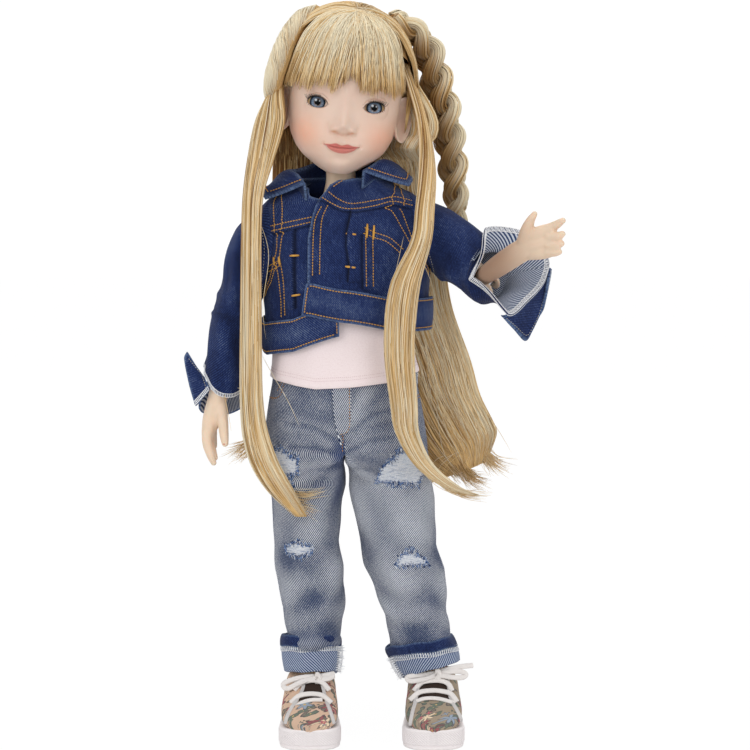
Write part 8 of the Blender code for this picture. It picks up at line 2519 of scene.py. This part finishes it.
def makeShoe(side):
    body = "shin_" + side
    ankle = legJoints(side)[2]
    middle = np.array([ankle.x / mm, bodyDepth, 0.0])
    inner = -1 if side == "left" else 1
    count = 400
    turn = fullTurn(count)
    c, s = np.cos(turn), np.sin(turn)
    ahead = (1 - s) / 2

    def outline(grow):
        half = shoe["halfWidth"] * (0.82 + 0.18 * np.sin(math.pi * np.minimum(1, ahead * 1.25) * 0.5)) + grow
        x = half * np.sign(c) * np.abs(c) ** 0.8 + inner * shoe["halfWidth"] * 0.06 * ahead
        y = shoe["heelBack"] - shoe["length"] / 2 + (shoe["length"] / 2 + grow) * s
        # the toe is blunt: straight sides, then a round cap
        share = np.clip((turn / math.pi - 1) / 0.22, 0, 1) * np.clip((2 - turn / math.pi) / 0.22, 0, 1)
        cap = math.pi * np.clip((turn / math.pi - 1.22) / 0.56, 0, 1)
        side_ = np.where(turn < math.pi * 1.22, -1, np.where(turn > math.pi * 1.78, 1, -np.cos(cap)))
        blunt = shoe["heelBack"] - shoe["length"] / 2 - (shoe["length"] / 2
                                                         - 12) * share - (12 + grow) * np.sin(cap) ** 0.85
        front = s < 0
        x = np.where(front, half * np.sign(side_) * np.abs(side_) ** 0.8 + inner * shoe["halfWidth"] * 0.06 * ahead, x)
        y = np.where(front, blunt, y)
        return x, y

    toe = smoothStep(0.62, 0.8, ahead)
    rise = 1 + 0.12 * ahead ** 3 - 0.05 * np.sin(ahead * math.pi)
    rows = []
    levels = ((0, -9), (0, -3), (0, -0.8), (0.25, -0.25), (0.7, 0), (1.5, 0.05), (1.75, -0.22), (2.0, -0.22),
        (2.25, 0.1))
    levels += tuple((2.25 + (shoe["sole"] - 3.1) * k / 40, 0.1) for k in range(1, 41))
    levels += ((shoe["sole"] - 0.5, 0.0), (shoe["sole"] - 0.15, -0.3), (shoe["sole"], -0.9), (shoe["sole"], -2.2),
        (shoe["sole"] - 0.8, -4.5))
    run = np.cumsum(np.hypot(*np.diff(np.stack(outline(0)), axis=1, prepend=0)))
    for z, grow in levels:
        body_ = (z > 2.3) & (z < shoe["sole"] - 0.9)
        knurl = 0.45 * (np.abs(np.sin((run + z * 1.3) * 2.1))
                        * np.abs(np.sin((run - z * 1.3) * 2.1))) * toe if body_ else 0
        x, y = outline(grow + knurl)
        rows.append(np.stack([x, y, z * rise + 0 * x], 1) + middle)
    rows = np.array(rows)
    faces = gridFaces(len(rows), count, True).tolist() + [tuple(range(count))]
    u = np.broadcast_to(run, rows.shape[:2])
    makePiece("shoeSole" + side.title(), rows * mm, faces, soleRubber, uv=np.stack([u, rows[..., 2]], -1), body=body,
              instead=["shoe_sole_" + side], slot="white_rubber")
    # upper
    table = curveThrough([(a * 100, h * 100, t * 100) for a, h, t in shoe["profile"]], 150) / 100
    along, half, high = table[:, :1], table[:, 1:2], table[:, 2:]
    angle = np.radians(np.linspace(-24, 204, 130))[None]
    floor = shoe["sole"] - 1.2
    top = floor + high * (shoe["upper"] - floor)
    x = shoe["halfWidth"] * half * np.sign(np.cos(angle)) * np.abs(np.cos(angle)) ** (2 / 2.7)
    x = x + inner * shoe["halfWidth"] * 0.05 * along
    z = (top + floor) / 2 + (top - floor) / 2 * np.sign(np.sin(angle)) * np.abs(np.sin(angle)) ** (2 / 2.3)
    y = shoe["heelBack"] - along * shoe["length"] + 0 * x
    puff = 0.25 * np.sin(x / 2.2 + along * 30) * np.sin(along * 22) * np.sin(along * math.pi)
    points = np.stack([x, y, z + puff], -1) + middle
    # painted shade: the left shoe's canvas takes a darker ground than the right one's, though both are the same print
    ground = shoe["canvas"] if side == "right" else "#a08a6c"
    canvas = floralCanvas("printedFloralCanvas" + side.title(), ground, 3.1 if side == "right" else 8.4)
    _, tree = clothShell("shoeUpper" + side.title(), points * mm, 0.9, canvas, outward=(0, -0.3, 1), body=body,
                             instead=["shoe_upper_" + side], slot="printed_canvas")
    # tongue in the opening between the facings
    left, right = shoe["facing"][side]
    opening = curveThrough((np.array(left[2:]) + np.array(right[2:])) / 2, 30)
    width = np.linalg.norm(curveThrough(np.array(right[2:]), 30) - curveThrough(np.array(left[2:]), 30), axis=1)
    s = np.linspace(-0.5, 0.5, 15)
    grid = opening[:, None] + np.array([1.0, 0, 0]) * (s[None] * width[:, None])[..., None]
    laid, facing = layOn([tree], grid.reshape(-1, 3) * mm, (0, 0.75, -0.66))
    if len(laid) == grid.shape[0] * 15:
        laid = laid.reshape(grid.shape) + facing.reshape(grid.shape) * (0.35 + 0.5
                                                                        * np.cos(s * math.pi))[None, :, None] * mm
        clothShell("shoeTongue" + side.title(), laid, 0.7, tongueCloth, outward=(0, -0.75, 0.66), body=body,
                   instead=["shoe_tongue_" + side], slot="brown_cloth")
    for number, line in enumerate((left, right)):
        laid, facing = layOn([tree], curveThrough(line, 60) * mm, (0, 0.75, -0.66))
        if len(laid) > 10:
            path = (laid / mm + facing * 0.75)
            ribbon(f"shoeFacing{side.title()}{number}", path, (0, -0.8, 0.6), 1.5, 0.8, facingTape, body=body,
                   slot="white_lace")
            starts, ends, normals = stitched([((path + facing * 0.25) * mm, facing)], 1.0, 0.55)
            beads(f"shoeFacingStitches{side.title()}{number}", starts, ends, normals, 0.3, stitchWhite, body=body,
                  slot="white_lace")
    # laces and bow
    for number, row in enumerate(shoe["rows"][side]):
        row = np.array(row) + np.array((0, -1.3, 1.1)) * (1 if side == "right" else 0.5)
        instead = ["shoe_lace_" + side] if number == 0 else []
        ribbon(f"shoeLace{side.title()}{number}", row, (0, -0.75, 0.66), 2.3 if number < 2 else 1.8, 0.7, laceCotton,
               body=body, instead=instead, slot="white_lace")
    for number, row in enumerate(shoe["bow"][side]):
        ribbon(f"shoeBow{side.title()}{number}", row, (0, -0.9, 0.45), 2.2, 0.7, laceCotton, count=140, body=body,
               slot="white_lace")
    knot = np.array(shoe["bow"][side][0][0]) + (-1.5 if side == "right" else 0, -0.9, -0.6)
    ring = [knot + 1.7 * np.array([math.cos(a) * 0.8, -0.5 + 0.1 * a, math.sin(a) * 1.05])
            for a in np.linspace(-1.9, 1.9, 7)]
    ribbon("shoeKnot" + side.title(), ring, (0, -1, 0.1), 2.4, 0.9, laceCotton, body=body, slot="white_lace")


for side in ("right", "left"):
    makeShoe(side)
print("shoes ready")


# Forearms, hands and the plain inner body

hands = {  # chains of places with radii, in millimetres
    "left": [
        (((54.5, -4.0, 236.6), (61.6, -19.0, 242.9), (69.6, -31.0, 249.4), (75.0, -37.0, 252.5)),
            (4.6, 5.4, 5.7, 5.2)),
        (((72.3, -34.0, 251.4), (79.4, -42.0, 254.2), (85.1, -49.0, 256.0)), (5.0, 4.6, 3.4)),
        (((72.3, -34.0, 254.4), (78.4, -43.0, 259.1), (84.5, -50.0, 262.0)), (4.0, 3.6, 2.8)),
        (((73.8, -34.0, 249.5), (80.4, -43.0, 250.2), (85.6, -49.0, 251.2)), (3.6, 3.4, 2.6)),
        (((82.8, -48.0, 261.4), (86.6, -53.0, 264.0), (89.1, -57.0, 266.0)), (2.7, 2.1, 1.5)),
        (((83.7, -49.0, 257.9), (87.1, -54.0, 258.5), (89.0, -56.0, 259.6)), (2.7, 2.2, 1.6)),
        (((83.7, -49.0, 254.0), (86.7, -53.0, 254.2), (88.7, -55.0, 255.0)), (2.6, 2.1, 1.6)),
        (((83.3, -48.0, 250.7), (86.0, -51.0, 250.5), (87.9, -53.0, 250.9)), (2.4, 2.0, 1.5)),
        (((72.1, -36.0, 254.4), (73.0, -41.0, 260.4), (74.4, -44.0, 265.1), (76.5, -45.0, 268.7)),
            (3.8, 3.2, 2.3, 1.5)),
    ],
    "right": [
        (((-71.7, 12.0, 208.2), (-76.4, 4.0, 186.0), (-79.3, 1.0, 175.1), (-80.3, 0.0, 169.2)), (5.6, 5.6, 4.9, 4.4)),
        (((-81.2, 0.0, 172.7), (-83.4, -2.0, 163.8), (-84.4, -3.0, 156.8)), (3.8, 3.6, 3.0)),
        (((-78.7, 0.0, 172.7), (-79.5, -1.0, 166.7), (-82.3, -1.0, 159.6)), (3.8, 3.8, 2.8)),
        (((-84.7, -3.0, 158.9), (-84.5, -6.0, 152.7), (-82.6, -8.0, 146.9), (-81.0, -8.0, 142.8)),
            (2.7, 2.4, 2.1, 1.5)),
        (((-83.4, 0.0, 159.5), (-82.9, 0.0, 152.9), (-81.9, -1.0, 147.9), (-80.7, -2.0, 144.5)),
            (2.6, 2.2, 1.9, 1.5)),
        (((-82.1, 3.0, 160.1), (-81.9, 3.0, 154.5), (-81.3, 2.0, 150.0)), (2.3, 1.9, 1.5)),
        (((-77.7, -1.0, 170.8), (-76.4, -5.0, 162.2), (-75.7, -7.0, 156.3), (-75.2, -8.0, 152.7)),
            (3.2, 2.7, 2.3, 1.8)),
    ],
    "nails": {"left": (), "right": ((-75.4, -9.1, 152.8),)},
    "varnish": "#c8483f",
}


def chainMesh(shell, places, radii):
    dense = curveThrough([list(p) + [r] for p, r in zip(places, radii)], 26)
    centre, radius = dense[:, :3], dense[:, 3]
    way = np.gradient(centre, axis=0)
    across, along = framed(way, (0.31, 0.2, 0.93))
    turn = fullTurn(28)[None, :, None]
    rings = centre[:, None] + (across[:, None] * np.cos(turn) + along[:, None] * np.sin(turn)) * radius[:, None, None]
    spots = [shell.verts.new(p * mm) for p in rings.reshape(-1, 3)]
    for face in gridFaces(26, 28, True):
        shell.faces.new([spots[i] for i in face])
    shell.faces.new(spots[:28][::-1])
    shell.faces.new(spots[-28:])
    for end in (0, -1):
        bmesh.ops.create_uvsphere(shell, u_segments=20, v_segments=12, radius=radius[end] * mm,
                                  matrix=Matrix.Translation(centre[end] * mm))


def remeshed(name, source, voxel, passes, body, instead):
    # one smooth closed skin around the given mesh
    piece = bpy.data.objects.new(name, source)
    bpy.context.scene.collection.objects.link(piece)
    addModifier(piece, "REMESH", mode="VOXEL", voxel_size=voxel * mm)
    addModifier(piece, "SMOOTH", factor=0.6, iterations=passes)
    whole = bpy.data.meshes.new_from_object(piece.evaluated_get(bpy.context.evaluated_depsgraph_get()))
    places = np.empty(len(whole.vertices) * 3)
    whole.vertices.foreach_get("co", places)
    faces = [tuple(p.vertices) for p in whole.polygons]
    bpy.data.objects.remove(piece)
    spots = places.reshape(-1, 3) / mm
    # painted shadow on the left forearm, near the sleeve
    masks = {"sleeveShadow": 1 - smoothStep(58, 80, spots[:, 0])} if name == "forearmLeft" else {}
    makePiece(name, places, faces, bodyVinyl, uv=spots[:, [0, 2]], body=body, instead=[instead], slot="vinyl_skin",
              masks=masks)


bodyVinyl = moulded("rotocastVinylLimb", "#f3d9bf", 0.5, 1.2, 0.02)
bodyShader = bodyVinyl.node_tree.nodes["Principled BSDF"]
for key, value in (("Subsurface Weight", 0.18), ("Subsurface Scale", 2 * mm),
    ("Subsurface Radius", (1.0, 0.45, 0.3))):
    bodyShader.inputs[key].default_value = value
tree, skinTone = bodyVinyl.node_tree, bodyShader.inputs["Base Color"]
# painted shadow: warmer and deeper where the wide sleeve shades the arm
inShade = maths(tree, "MULTIPLY", mask(tree, "sleeveShadow"), 0.8)
tree.links.new(mixed(tree, inShade, skinTone.links[0].from_socket, "#a07a62"), skinTone)
varnish = moulded("nailVarnish", hands["varnish"], 0.3)

for side in ("left", "right"):
    shell = bmesh.new()
    for places, radii in hands[side]:
        chainMesh(shell, places, radii)
    source = bpy.data.meshes.new("handForm")
    shell.to_mesh(source)
    shell.free()
    remeshed("forearm" + side.title(), source, 0.45, 9, "forearm_" + side, "forearm_" + side)
    for number, place in enumerate(hands["nails"][side]):
        shell = bmesh.new()
        bmesh.ops.create_uvsphere(shell, u_segments=20, v_segments=12, radius=0.85 * mm)
        nail = bpy.data.meshes.new("nail")
        shell.to_mesh(nail)
        shell.free()
        points = np.array([v.co for v in nail.vertices]) * (1, 0.6, 1.25) + np.array(place) * mm
        makePiece(f"nail{side.title()}{number}", points, [tuple(p.vertices) for p in nail.polygons], varnish,
                  uv=points[:, [0, 2]] / mm, body="forearm_" + side, slot="vinyl_skin")

# plain inner parts keep their own solids, smoothed where skin shows
limbs = {"upper_arm": "upper_arm", "thigh": "thigh", "lower_leg": "shin"}
for node, body in [("torso_shell", "torso")] + [(f"{part}_{side}", f"{body}_{side}")
                                               for side in ("left", "right") for part, body in limbs.items()]:
    solid = bpy.data.objects[node]
    source = solid.data.copy()
    source.transform(solid.matrix_world)
    remeshed(node.title().replace("_", "") + "Skin", source, 0.8, 6, body, node)
nylon = moulded("mouldedNylon", "#d9d4c8", 0.45)
steel, _, _ = newMaterial("turnedSteel", Base_Color=colour("#b9bcc0"), Metallic=1.0, Roughness=0.3)
for node in bpy.data.objects:
    if node.type == "MESH" and node.name.startswith(("neck_link", "head_plug", "hip_link")):
        node.material_slots[0].material = nylon
    if node.type == "MESH" and node.name.startswith(("shoulder_pin", "elbow_pin", "knee_pin")):
        node.material_slots[0].material = steel
print("body ready")
